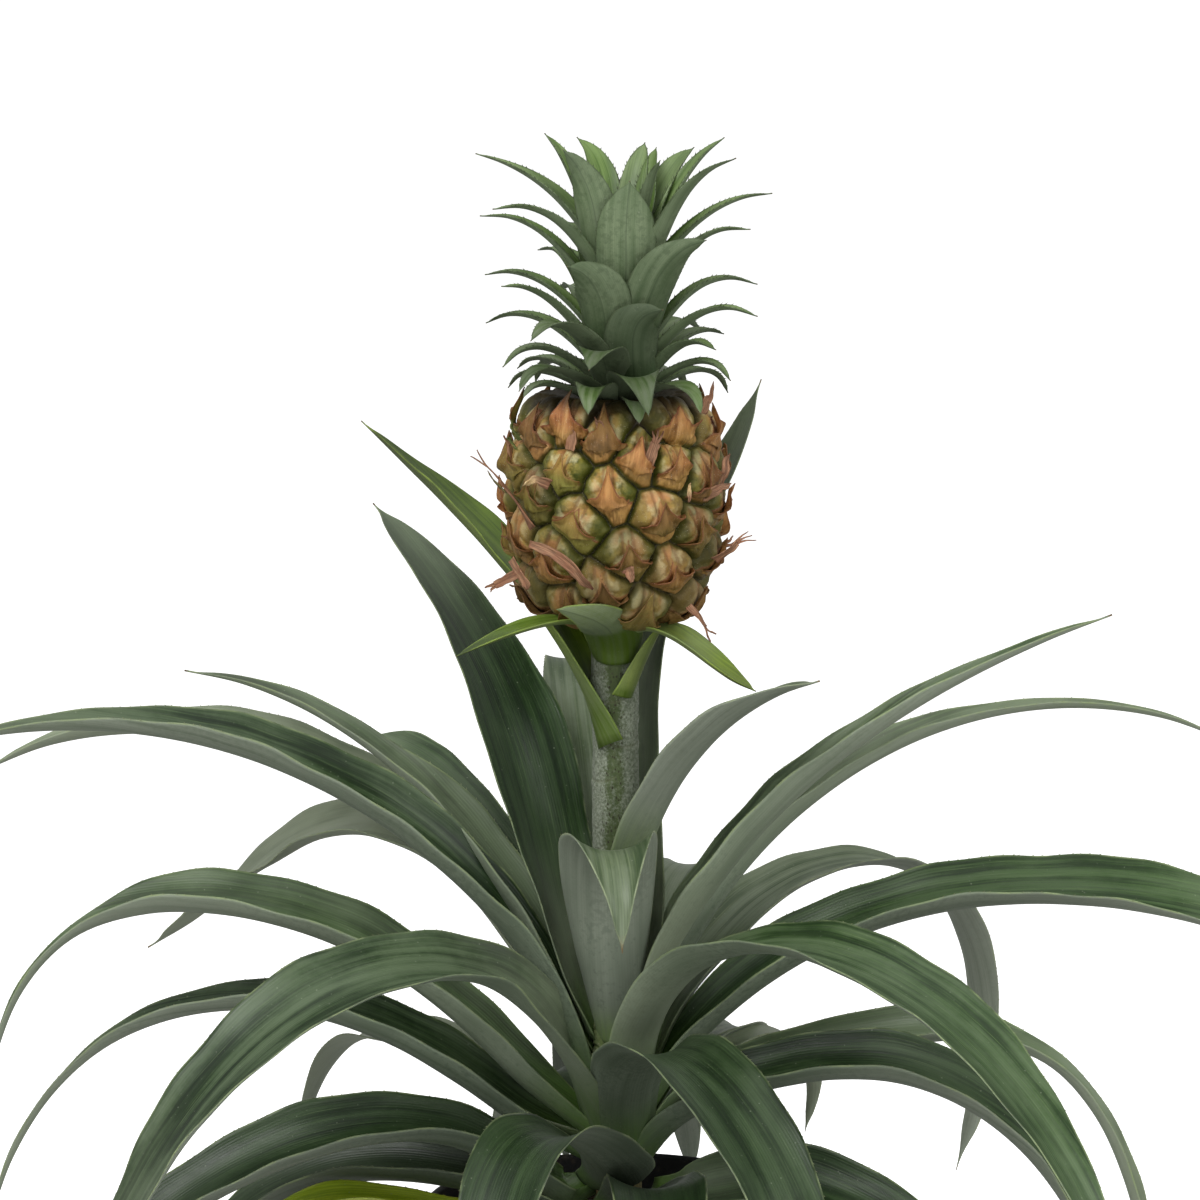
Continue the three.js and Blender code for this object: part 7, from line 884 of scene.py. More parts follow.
        (5.98, -23.35, 416.1, 8.15, 0.74, 0.889, 0.162, -0.429),
        (9.07, -24.74, 419.32, 4.06, 0.66, 0.558, 0.23, -0.797),
        (14.42, -26.08, 420.94, 0.5, 0.6, 0.146, 0.254, -0.956),
    ]),
    (100, {'bloom': 0.25, 'painted_shade': 0.12}, [
        (-0.84, 3.51, 385.32, 5.1, 1.1, -0.997, 0.074, 0.021),
        (-0.61, 9.66, 388.78, 5.84, 1.1, -0.999, -0.037, 0.03),
        (-0.97, 14.96, 394.51, 7.57, 1.01, -0.99, -0.137, 0.01),
        (-1.86, 19.85, 401.17, 9, 0.85, -0.976, -0.216, -0.012),
        (-3.26, 24.76, 407.42, 8.55, 0.79, -0.96, -0.28, -0.027),
        (-5.12, 30.12, 411.89, 7.16, 0.74, -0.944, -0.33, -0.024),
        (-7.41, 36.37, 413.26, 3.89, 0.71, -0.94, -0.341, 0.005),
        (-10.07, 43.92, 410.15, 0.5, 0.7, -0.951, -0.307, 0.025),
    ]),
    (61, {'bloom': 0.25, 'painted_shade': 0.12}, [
        (-0.1, 0.05, 429.07, 3.4, 1.1, -0.348, -0.938, 0.002),
        (-4.11, 1.84, 435.23, 4.17, 1.1, -0.429, -0.903, 0.029),
        (-7.37, 3.86, 441.9, 5.12, 1.01, -0.492, -0.869, 0.054),
        (-10.22, 6.09, 448.83, 5.49, 0.93, -0.534, -0.843, 0.071),
        (-12.98, 8.53, 455.79, 5.25, 0.89, -0.552, -0.83, 0.077),
        (-16, 11.15, 462.55, 4.63, 0.85, -0.549, -0.833, 0.071),
        (-19.61, 13.94, 468.88, 2.94, 0.82, -0.526, -0.849, 0.056),
        (-24.13, 16.9, 474.54, 0.5, 0.8, -0.484, -0.874, 0.035),
    ]),
    (67, {'bloom': 0.25, 'painted_shade': -0.1}, [
        (3.74, -0.07, 423.19, 3.4, 1.1, -0.13, 0.991, 0.042),
        (7.64, 0.29, 430.82, 4.29, 1.09, -0.187, 0.982, 0.025),
        (11.19, 0.95, 438.83, 5.17, 1.01, -0.247, 0.969, 0.004),
        (14.72, 2.02, 446.91, 5.49, 0.93, -0.305, 0.952, -0.016),
        (18.53, 3.57, 454.75, 5.09, 0.89, -0.358, 0.933, -0.033),
        (22.93, 5.71, 462, 4.33, 0.86, -0.405, 0.914, -0.043),
        (28.25, 8.51, 468.37, 2.75, 0.82, -0.441, 0.897, -0.043),
        (34.8, 12.07, 473.52, 0.5, 0.8, -0.464, 0.885, -0.034),
    ]),
    (74, {'bloom': 0.25, 'painted_shade': 0.5}, [
        (2.08, 0.87, 391.92, 3.4, 1.1, -0.302, 0.953, 0.037),
        (6.82, 2.65, 395.39, 3.93, 1.1, -0.427, 0.904, 0.016),
        (11.35, 5.05, 399.29, 4.25, 1.05, -0.512, 0.859, -0.003),
        (15.79, 7.95, 403.11, 4.47, 0.94, -0.565, 0.825, -0.014),
        (20.28, 11.22, 406.36, 4.4, 0.88, -0.594, 0.804, -0.016),
        (24.93, 14.74, 408.56, 3.82, 0.84, -0.6, 0.8, -0.009),
        (29.86, 18.36, 409.2, 2.65, 0.81, -0.58, 0.815, 0.001),
        (35.2, 21.98, 407.79, 0.5, 0.8, -0.537, 0.844, 0.005),
    ]),
    (75, {'bloom': 0.25, 'painted_shade': 0.4}, [
        (1.72, -1.85, 388.72, 3.4, 1.1, 0.6, 0.8, 0.004),
        (5.93, -5.05, 391.89, 3.91, 1.1, 0.606, 0.795, 0.008),
        (9.83, -8.11, 396.24, 4.22, 1.07, 0.613, 0.79, 0.011),
        (13.61, -11.14, 400.96, 4.44, 0.96, 0.619, 0.785, 0.013),
        (17.47, -14.28, 405.29, 4.47, 0.89, 0.626, 0.78, 0.013),
        (21.59, -17.67, 408.42, 4.09, 0.85, 0.633, 0.774, 0.009),
        (26.19, -21.45, 409.56, 3.06, 0.82, 0.634, 0.773, -0),
        (31.43, -25.73, 407.94, 0.5, 0.8, 0.628, 0.778, -0.009),
    ]),
    (77, {'bloom': 0.25, 'painted_shade': 0.3}, [
        (1.81, 1.21, 384.91, 3.4, 1.1, -0.444, 0.896, -0.004),
        (6.46, 3.44, 388.19, 3.92, 1.1, -0.427, 0.904, -0.001),
        (11.89, 6.02, 391.57, 4.27, 1.04, -0.431, 0.902, -0.001),
        (17.71, 8.88, 394.43, 4.49, 0.92, -0.451, 0.892, -0.003),
        (23.51, 11.96, 396.15, 4.15, 0.87, -0.49, 0.872, -0.003),
        (28.87, 15.21, 396.09, 3.15, 0.83, -0.551, 0.834, 0.009),
        (33.38, 18.58, 393.62, 1.96, 0.81, -0.625, 0.779, 0.047),
        (36.63, 22, 388.11, 0.5, 0.8, -0.688, 0.718, 0.104),
    ]),
    (80, {'bloom': 0.25, 'painted_shade': 0}, [
        (-0.57, -1.15, 415.42, 3.82, 1.1, 0.435, -0.896, -0.089),
        (-3.91, -3.33, 422.77, 4.78, 1.09, 0.393, -0.916, -0.076),
        (-7.7, -5.48, 430.65, 5.55, 1, 0.366, -0.928, -0.064),
        (-12.15, -7.66, 438.31, 5.78, 0.93, 0.35, -0.935, -0.053),
        (-17.46, -9.95, 445.06, 5.34, 0.88, 0.34, -0.94, -0.041),
        (-23.83, -12.41, 450.16, 4.35, 0.84, 0.333, -0.943, -0.025),
        (-31.46, -15.11, 452.91, 2.53, 0.81, 0.322, -0.947, -0.007),
        (-40.54, -18.11, 452.57, 0.5, 0.8, 0.305, -0.952, 0.008),
    ]),
    (84, {'bloom': 0.25, 'painted_shade': 0}, [
        (-1.47, -1.46, 395.77, 3.4, 1.1, 0.518, -0.853, -0.068),
        (-5.58, -4.05, 401.15, 4.11, 1.1, 0.438, -0.898, -0.052),
        (-9.9, -6.3, 407.26, 4.6, 1.02, 0.391, -0.92, -0.039),
        (-14.52, -8.43, 413.49, 4.8, 0.93, 0.374, -0.927, -0.032),
        (-19.53, -10.67, 419.25, 4.39, 0.89, 0.385, -0.923, -0.031),
        (-25.02, -13.23, 423.97, 3.64, 0.85, 0.42, -0.907, -0.03),
        (-31.06, -16.32, 427.04, 2.4, 0.82, 0.471, -0.882, -0.02),
        (-37.76, -20.18, 427.88, 0.5, 0.8, 0.522, -0.853, 0.005),
    ]),
    (88, {'bloom': 0.75, 'painted_shade': 0.3}, [
        (-2.16, 0.92, 385.59, 3.4, 1.1, -0.53, -0.848, 0.029),
        (-5.5, 3.04, 389.18, 4.01, 1.1, -0.508, -0.861, 0.021),
        (-9.66, 5.54, 392.96, 4.19, 1.04, -0.5, -0.866, 0.017),
        (-14.35, 8.31, 396.4, 4.29, 0.94, -0.5, -0.866, 0.013),
        (-19.34, 11.24, 398.99, 4.19, 0.88, -0.505, -0.863, 0.01),
        (-24.35, 14.23, 400.21, 3.44, 0.84, -0.516, -0.857, 0.002),
        (-29.13, 17.16, 399.56, 2.29, 0.82, -0.528, -0.849, -0.012),
        (-33.43, 19.94, 396.51, 0.5, 0.8, -0.534, -0.845, -0.029),
    ]),
    (90, {'bloom': 0.75, 'painted_shade': 0.3}, [
        (-2.47, -0.59, 383.78, 3.4, 1.1, 0.469, -0.874, -0.122),
        (-6.05, -2.05, 387.66, 4.01, 1.1, 0.169, -0.985, -0.039),
        (-10.77, -2.4, 391.5, 4.36, 1.04, -0.023, -1, 0.004),
        (-16.17, -1.84, 394.77, 4.58, 0.93, -0.158, -0.987, 0.023),
        (-21.85, -0.54, 396.95, 4.38, 0.87, -0.269, -0.963, 0.021),
        (-27.36, 1.32, 397.52, 3.47, 0.83, -0.366, -0.931, -0.008),
        (-32.28, 3.57, 395.97, 2.22, 0.81, -0.432, -0.899, -0.069),
        (-36.19, 6.01, 391.78, 0.5, 0.8, -0.442, -0.887, -0.134),
    ]),
    (91, {'bloom': 0.75, 'painted_shade': 0.6}, [
        (-2.32, -2.51, 384.31, 4.25, 1, 0.929, -0.355, -0.107),
        (-4.79, -7.33, 388.35, 4.95, 1, 0.778, -0.626, -0.058),
        (-8.72, -11.57, 392.76, 5.47, 0.92, 0.659, -0.752, -0.021),
        (-13.58, -15.5, 396.82, 5.79, 0.77, 0.598, -0.801, -0.005),
        (-18.86, -19.41, 399.83, 5.43, 0.7, 0.598, -0.801, -0.003),
        (-24.03, -23.55, 401.08, 4.42, 0.66, 0.66, -0.751, -0.001),
        (-28.58, -28.2, 399.85, 2.59, 0.62, 0.767, -0.641, 0.032),
        (-31.99, -33.64, 395.42, 0.5, 0.6, 0.862, -0.496, 0.103),
    ]),
    (94, {'bloom': 0.75, 'painted_shade': 0.3}, [
        (-2.68, -1.58, 382.83, 2.98, 1.1, 0.706, -0.701, -0.104),
        (-5.78, -4.24, 385.86, 3.44, 1.1, 0.523, -0.851, -0.056),
        (-9.85, -6.56, 389.01, 3.63, 1.07, 0.431, -0.902, -0.032),
        (-14.51, -8.77, 391.86, 3.76, 0.98, 0.411, -0.911, -0.023),
        (-19.33, -11.1, 394, 3.79, 0.9, 0.453, -0.891, -0.019),
        (-23.93, -13.77, 395.01, 3.14, 0.85, 0.558, -0.83, -0.006),
        (-27.89, -17.03, 394.47, 2.05, 0.82, 0.708, -0.705, 0.046),
        (-30.8, -21.08, 391.96, 0.5, 0.8, 0.836, -0.53, 0.141),
    ]),
    (95, {'bloom': 0.75, 'painted_shade': 0.2}, [
        (1.53, -2.49, 384.13, 4.25, 1, 0.719, 0.694, 0.029),
        (5.19, -6.14, 387.83, 4.78, 1, 0.677, 0.735, 0.014),
        (9.41, -10.01, 391.11, 5.38, 0.95, 0.67, 0.743, 0.01),
        (13.83, -14.12, 393.61, 5.96, 0.78, 0.692, 0.722, 0.01),
        (18.11, -18.52, 394.95, 5.52, 0.7, 0.743, 0.669, 0.006),
        (21.88, -23.21, 394.75, 4.15, 0.65, 0.817, 0.577, -0.017),
        (24.8, -28.22, 392.62, 2.25, 0.61, 0.89, 0.451, -0.069),
        (26.51, -33.59, 388.2, 0.5, 0.6, 0.939, 0.314, -0.142),
    ]),
    (104, {'bloom': 0.25, 'painted_shade': 0.12}, [
        (-2.33, 2.93, 382.68, 4.25, 1, -0.907, -0.417, 0.058),
        (-4.96, 8.03, 387.26, 4.94, 1, -0.843, -0.537, 0.026),
        (-8.62, 13.41, 391.62, 5.99, 0.88, -0.804, -0.595, 0.01),
        (-12.88, 19.02, 395.18, 6.46, 0.73, -0.788, -0.616, 0.004),
        (-17.35, 24.76, 397.32, 5.55, 0.67, -0.794, -0.608, 0.002),
        (-21.6, 30.58, 397.43, 4.02, 0.64, -0.823, -0.568, -0.005),
        (-25.23, 36.38, 394.91, 2.1, 0.61, -0.867, -0.498, -0.03),
        (-27.82, 42.1, 389.15, 0.5, 0.6, -0.908, -0.412, -0.075),
    ]),
    (105, {'bloom': 0.25, 'painted_shade': 0.12}, [
        (1.22, 3.07, 382.49, 4.68, 1, -0.837, 0.547, 0.011),
        (4.68, 8.53, 386.85, 5.33, 1, -0.856, 0.517, 0.003),
        (8.28, 14.7, 390.74, 6.41, 0.89, -0.871, 0.491, -0.001),
        (11.87, 21.32, 393.63, 6.94, 0.73, -0.886, 0.464, -0.004),
        (15.3, 28.14, 395.02, 5.72, 0.67, -0.9, 0.435, -0.001),
        (18.43, 34.93, 394.39, 3.74, 0.63, -0.915, 0.403, 0.008),
        (21.11, 41.42, 391.24, 1.83, 0.61, -0.927, 0.374, 0.026),
        (23.18, 47.37, 385.06, 0.5, 0.6, -0.934, 0.353, 0.046),
    ]),
    (106, {'bloom': 0.25, 'painted_shade': 0.12}, [
        (-0.54, 3.64, 380.85, 5.1, 1, -0.987, 0.157, 0.027),
        (0.34, 10.34, 385.52, 5.82, 1, -0.996, 0.084, 0.008),
        (0.76, 17.67, 388.65, 6.95, 0.84, -0.999, 0.033, -0),
        (0.88, 25.32, 390.15, 7.4, 0.63, -1, 0, -0.001),
        (0.81, 32.98, 389.89, 6.15, 0.57, -1, -0.014, 0.002),
        (0.7, 40.34, 387.77, 4.24, 0.53, -1, -0.01, 0.006),
        (0.68, 47.09, 383.68, 2.2, 0.51, -1, 0.014, 0.004),
        (0.88, 52.92, 377.5, 0.5, 0.5, -0.998, 0.059, -0.007),
    ]),
    (107, {'bloom': 0.25, 'painted_shade': 0.12}, [
        (1.83, 2.62, 406.08, 5.1, 1.1, -0.868, 0.496, 0.005),
        (4.63, 8.16, 411.46, 6.12, 1.1, -0.911, 0.413, -0.017),
        (6.31, 12.73, 418.61, 7.36, 0.98, -0.932, 0.36, -0.038),
        (7.49, 16.83, 426.61, 8, 0.85, -0.936, 0.349, -0.044),
        (8.77, 20.96, 434.53, 7.55, 0.79, -0.923, 0.383, -0.03),
        (10.79, 25.63, 441.44, 6.44, 0.75, -0.89, 0.455, -0.004),
        (14.14, 31.35, 446.42, 3.83, 0.72, -0.837, 0.546, 0.012),
        (19.46, 38.62, 448.53, 0.5, 0.7, -0.784, 0.621, 0.002),
    ]),
    (108, {'bloom': 0.25, 'painted_shade': 0.12}, [
        (-0.86, 3.26, 392, 5.1, 1.1, -0.983, -0.179, 0.046),
        (-2.14, 9.72, 396.72, 6.04, 1.1, -0.96, -0.275, 0.047),
        (-3.84, 15.72, 402.98, 7.31, 0.98, -0.937, -0.347, 0.034),
        (-6, 21.54, 409.71, 8, 0.85, -0.918, -0.396, 0.02),
        (-8.61, 27.51, 415.81, 7.47, 0.78, -0.904, -0.428, 0.01),
        (-11.71, 33.93, 420.22, 6.12, 0.74, -0.895, -0.445, 0.003),
        (-15.3, 41.12, 421.84, 3.49, 0.71, -0.893, -0.449, -0),
        (-19.42, 49.37, 419.61, 0.5, 0.7, -0.896, -0.444, -0.004),
    ]),
    (109, {'bloom': 0.25, 'painted_shade': 0.12}, [
        (0.42, 3.57, 391.91, 5.1, 1.1, -0.98, 0.197, 0.026),
        (1.68, 10.52, 396.39, 6.01, 1.1, -0.993, 0.115, 0.034),
        (2.37, 16.66, 403.19, 7.54, 0.99, -0.999, 0.046, 0.022),
        (2.6, 22.51, 410.95, 8.5, 0.85, -1, -0.003, 0.009),
        (2.52, 28.57, 418.28, 8.02, 0.79, -0.999, -0.033, 0),
        (2.23, 35.36, 423.83, 6.73, 0.74, -0.999, -0.046, -0.002),
        (1.87, 43.38, 426.2, 3.94, 0.71, -0.999, -0.04, -0),
        (1.56, 53.15, 424.04, 0.5, 0.7, -1, -0.023, -0.002),
    ]),
    (110, {'bloom': 0.25, 'painted_shade': 0.12}, [
        (1.47, 2.9, 387.66, 4.68, 1.1, -0.785, 0.619, -0.011),
        (5.18, 8.09, 392.19, 5.43, 1.1, -0.821, 0.57, -0.026),
        (8.6, 13.58, 397.62, 6.43, 0.99, -0.844, 0.535, -0.036),
        (11.91, 19.37, 403.04, 7, 0.84, -0.858, 0.513, -0.039),
        (15.31, 25.47, 407.53, 6.4, 0.78, -0.865, 0.501, -0.031),
        (18.96, 31.88, 410.19, 5.02, 0.74, -0.861, 0.508, -0.012),
        (23.07, 38.61, 410.09, 2.78, 0.71, -0.842, 0.54, 0.011),
        (27.82, 45.66, 406.34, 0.5, 0.7, -0.808, 0.589, 0.019),
    ]),
    (111, {'bloom': 0.25, 'painted_shade': 0.12}, [
        (-1.14, 2.29, 402.29, 4.68, 1.1, -0.842, -0.537, 0.043),
        (-4.05, 7.13, 407.38, 5.59, 1.1, -0.822, -0.567, 0.051),
        (-6.75, 11.48, 413.86, 6.54, 0.98, -0.804, -0.593, 0.048),
        (-9.52, 15.66, 420.8, 7, 0.85, -0.79, -0.612, 0.041),
        (-12.63, 19.97, 427.26, 6.52, 0.79, -0.779, -0.626, 0.031),
        (-16.35, 24.75, 432.29, 5.38, 0.74, -0.771, -0.637, 0.019),
        (-20.96, 30.29, 434.95, 3.08, 0.71, -0.761, -0.649, 0.004),
        (-26.74, 36.93, 434.3, 0.5, 0.7, -0.748, -0.664, -0.006),
    ]),
    (112, {'bloom': 0.75, 'painted_shade': 0.5}, [
        (0.88, -3.6, 382.03, 4.25, 1, 0.83, 0.553, -0.074),
        (3.64, -8.6, 385.47, 4.76, 1, 0.933, 0.358, -0.029),
        (5.26, -14.21, 388.17, 5.13, 0.96, 0.981, 0.192, -0.002),
        (6.04, -20.26, 390, 5.39, 0.7, 0.997, 0.075, 0.007),
        (6.27, -26.58, 390.87, 5.02, 0.6, 1, 0.009, 0.003),
        (6.25, -33, 390.65, 3.96, 0.54, 1, -0.007, -0.007),
        (6.27, -39.36, 389.25, 2.29, 0.51, 1, 0.026, -0.014),
        (6.61, -45.48, 386.55, 0.5, 0.5, 0.994, 0.108, -0.011),
    ]),
]


# ---------------------------------------------------------------- numbers
def noise3(p, seed=0):
    """Smooth value noise from 0 to 1 at points p, one cell to a unit."""
    p = np.asarray(p, float)
    i = np.floor(p).astype(np.int64)
    f = p - i
    f = f * f * (3 - 2 * f)

    def value(dx, dy, dz):
        n = (
            (i[:, 0] + dx) * 73856093
            ^ (i[:, 1] + dy) * 19349663
            ^ (i[:, 2] + dz) * 83492791
            ^ (seed * 7919 + 101)
        ) & 0x7FFFFFFF
        n = ((n ^ (n >> 13)) * 1274126177) & 0x7FFFFFFF
        n = n ^ (n >> 15)
        return (n & 0xFFFF) / 65535.0

    def lerp(a, b, t):
        return a + (b - a) * t

    x0 = lerp(value(0, 0, 0), value(1, 0, 0), f[:, 0])
    x1 = lerp(value(0, 1, 0), value(1, 1, 0), f[:, 0])
    x2 = lerp(value(0, 0, 1), value(1, 0, 1), f[:, 0])
    x3 = lerp(value(0, 1, 1), value(1, 1, 1), f[:, 0])
    return lerp(lerp(x0, x1, f[:, 1]), lerp(x2, x3, f[:, 1]), f[:, 2])


def fbm(p, seed=0, octaves=3):
    total, weight, size = 0.0, 0.0, 1.0
    for k in range(octaves):
        total = total + noise3(np.asarray(p) * size, seed + k * 17) / size
        weight += 1 / size
        size *= 2.03
    return total / weight


def smooth(a, b, x):
    t = np.clip((np.asarray(x, float) - a) / (b - a), 0, 1)
    return t * t * (3 - 2 * t)


def unit(v):
    return v / np.maximum(np.linalg.norm(v, axis=-1, keepdims=True), 1e-9)


def table_at(table, t):
    """The values of a leaf table at t (0 base, 1 tip) on a smooth curve."""
    table = np.asarray(table, float)
    n = len(table) - 1
    full = np.vstack([2 * table[0] - table[1], table, 2 * table[-1] - table[-2]])
    x = np.clip(np.asarray(t, float), 0, 1) * n
    i = np.minimum(np.floor(x).astype(int), n - 1)
    a = (x - i)[:, None]
    p0, p1, p2, p3 = full[i], full[i + 1], full[i + 2], full[i + 3]
    return 0.5 * (
        2 * p1
        + (p2 - p0) * a
        + (2 * p0 - 5 * p1 + 4 * p2 - p3) * a * a
        + (3 * p1 - p0 - 3 * p2 + p3) * a * a * a
    )


# ---------------------------------------------------------------- mesh making
class Body:
    """Vertices, faces and per-vertex values of one piece, gathered part by part."""

    def __init__(self):
        self.points, self.quads, self.tris = [], [], []
        self.values, self.count = {}, 0
        self.quad_slot, self.tri_slot = [], []

    def add(self, points, quads=None, tris=None, slot=0, **values):
        points = np.asarray(points, float).reshape(-1, 3)
        if quads is not None and len(quads):
            quads = np.asarray(quads, np.int64)
            self.quads.append(quads + self.count)
            self.quad_slot.append(np.full(len(quads), slot))
        if tris is not None and len(tris):
            tris = np.asarray(tris, np.int64)
            self.tris.append(tris + self.count)
            self.tri_slot.append(np.full(len(tris), slot))
        for key, value in values.items():
            self.values.setdefault(key, []).append(np.asarray(value, float))
        self.points.append(points)
        self.count += len(points)

    def build(self, name, *materials):
        mesh = bpy.data.meshes.new(name)
        points = np.vstack(self.points)
        quads = np.vstack(self.quads) if self.quads else np.zeros((0, 4), np.int64)
        tris = np.vstack(self.tris) if self.tris else np.zeros((0, 3), np.int64)
        mesh.vertices.add(len(points))
        mesh.vertices.foreach_set("co", (points * MM).astype(np.float32).ravel())
        corners = np.concatenate([quads.ravel(), tris.ravel()]).astype(np.int32)
        mesh.loops.add(len(corners))
        mesh.loops.foreach_set("vertex_index", corners)
        total = len(quads) + len(tris)
        mesh.polygons.add(total)
        starts = np.concatenate(
            [np.arange(len(quads)) * 4, len(quads) * 4 + np.arange(len(tris)) * 3]
        )
        mesh.polygons.foreach_set("loop_start", starts.astype(np.int32))
        mesh.polygons.foreach_set("use_smooth", np.ones(total, bool))
        slots = np.concatenate(self.quad_slot + self.tri_slot).astype(np.int32)
        mesh.polygons.foreach_set("material_index", slots)
        for key, parts in self.values.items():
            value = np.concatenate(parts, axis=0).astype(np.float32)
            kind, field = ("FLOAT", "value") if value.ndim == 1 else ("FLOAT_VECTOR", "vector")
            layer = mesh.attributes.new(key, kind, "POINT")
            layer.data.foreach_set(field, value.ravel())
        for m in materials:
            mesh.materials.append(m)
        mesh.update(calc_edges=True)
        mesh.validate()
        item = bpy.data.objects.new(name, mesh)
        bpy.context.scene.collection.objects.link(item)
        return item


def grid_quads(rows, cols, start=0, wrap=False, flip=False):
    """Quads of a grid of rows x cols points, closed round its columns if wrap."""
    i = np.arange(rows - 1)[:, None]
    j = np.arange(cols if wrap else cols - 1)[None, :]
    k = (j + 1) % cols
    a, b = i * cols + j, i * cols + k
    c, d = (i + 1) * cols + k, (i + 1) * cols + j
    quads = np.stack([a, b, c, d], -1).reshape(-1, 4) + start
    return quads[:, ::-1] if flip else quads


def stand_in(item, node):
    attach(item, "root")
    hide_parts(node)
    return item


# ---------------------------------------------------------------- materials
class Nodes:
    """A short way to write a node material."""

    def __init__(self, name):
        self.material = bpy.data.materials.new(name)
        self.material.use_nodes = True
        self.tree = self.material.node_tree
        self.shader = self.tree.nodes["Principled BSDF"]

    def put(self, socket, value):
        if isinstance(value, bpy.types.NodeSocket):
            self.tree.links.new(value, socket)
        elif value is not None:
            socket.default_value = value

    def attr(self, name):
        node = self.tree.nodes.new("ShaderNodeAttribute")
        node.attribute_name = name
        return node

    def parts(self, vector):
        node = self.tree.nodes.new("ShaderNodeSeparateXYZ")
        self.put(node.inputs[0], vector)
        return node.outputs[0], node.outputs[1], node.outputs[2]

    def vec(self, x, y, z):
        node = self.tree.nodes.new("ShaderNodeCombineXYZ")
        for socket, value in zip(node.inputs, (x, y, z)):
            self.put(socket, value)
        return node.outputs[0]

    def math(self, kind, a, b=None, c=None, clamp=False):
        node = self.tree.nodes.new("ShaderNodeMath")
        node.operation = kind
        node.use_clamp = clamp
        for socket, value in zip(node.inputs, (a, b, c)):
            self.put(socket, value)
        return node.outputs[0]

    def mul(self, a, b):
        return self.math("MULTIPLY", a, b)

    def plus(self, a, b):
        return self.math("ADD", a, b)

    def fit(self, value, a, b, low=0.0, high=1.0, kind="SMOOTHSTEP"):
        node = self.tree.nodes.new("ShaderNodeMapRange")
        node.interpolation_type = kind
        for socket, v in zip(node.inputs, (value, a, b, low, high)):
            self.put(socket, v)
        return node.outputs[0]

    def mix(self, factor, a, b, kind="MIX"):
        node = self.tree.nodes.new("ShaderNodeMix")
        node.data_type = "RGBA"
        node.blend_type = kind
        node.clamp_factor = True
        self.put(node.inputs[0], factor)
        self.put(node.inputs[6], rgb(a))
        self.put(node.inputs[7], rgb(b))
        return node.outputs[2]

    def blend(self, factor, a, b):
        node = self.tree.nodes.new("ShaderNodeMix")
        node.data_type = "FLOAT"
        self.put(node.inputs[0], factor)
        self.put(node.inputs[2], a)
        self.put(node.inputs[3], b)
        return node.outputs[0]

    def noise(self, vector, scale=1.0, detail=2.0, rough=0.5, kind=None):
        node = self.tree.nodes.new("ShaderNodeTexNoise")
        if kind:
            node.noise_type = kind
        self.put(node.inputs["Vector"], vector)
        node.inputs["Scale"].default_value = scale
        node.inputs["Detail"].default_value = detail
        node.inputs["Roughness"].default_value = rough
        return node.outputs[0]

    def cells(self, vector, scale=1.0, feature="F1", out="Distance", random=1.0):
        node = self.tree.nodes.new("ShaderNodeTexVoronoi")
        node.feature = feature
        self.put(node.inputs["Vector"], vector)
        node.inputs["Scale"].default_value = scale
        node.inputs["Randomness"].default_value = random
        return node.outputs[out]

    def place(self):
        """Object coordinates in millimetres."""
        node = self.tree.nodes.new("ShaderNodeTexCoord")
        scale = self.tree.nodes.new("ShaderNodeVectorMath")
        scale.operation = "SCALE"
        self.put(scale.inputs[0], node.outputs["Object"])
        scale.inputs["Scale"].default_value = 1000.0
        return scale.outputs[0]

    def bump(self, height, distance, strength=1.0, normal=None):
        """height in 0..1 stands distance millimetres proud at 1."""
        node = self.tree.nodes.new("ShaderNodeBump")
        node.inputs["Strength"].default_value = strength
        node.inputs["Distance"].default_value = distance * MM
        self.put(node.inputs["Height"], height)
        if normal is not None:
            self.put(node.inputs["Normal"], normal)
        return node.outputs[0]

    def finish(self, colour, roughness, normal=None, **fixed):
        self.put(self.shader.inputs["Base Color"], rgb(colour))
        self.put(self.shader.inputs["Roughness"], roughness)
        self.put(self.shader.inputs["Normal"], normal)
        for key, value in fixed.items():
            socket = self.shader.inputs[key.replace("_", " ")]
            socket.default_value = value
        return self.material


def rgb(value):
    """An sRGB colour of 0-255 numbers as linear light; sockets pass through."""
    if not isinstance(value, tuple):
        return value
    out = []
    for v in value[:3]:
        v = v / 255.0
        out.append(v / 12.92 if v <= 0.04045 else ((v + 0.055) / 1.055) ** 2.4)
    return (*out, 1.0)


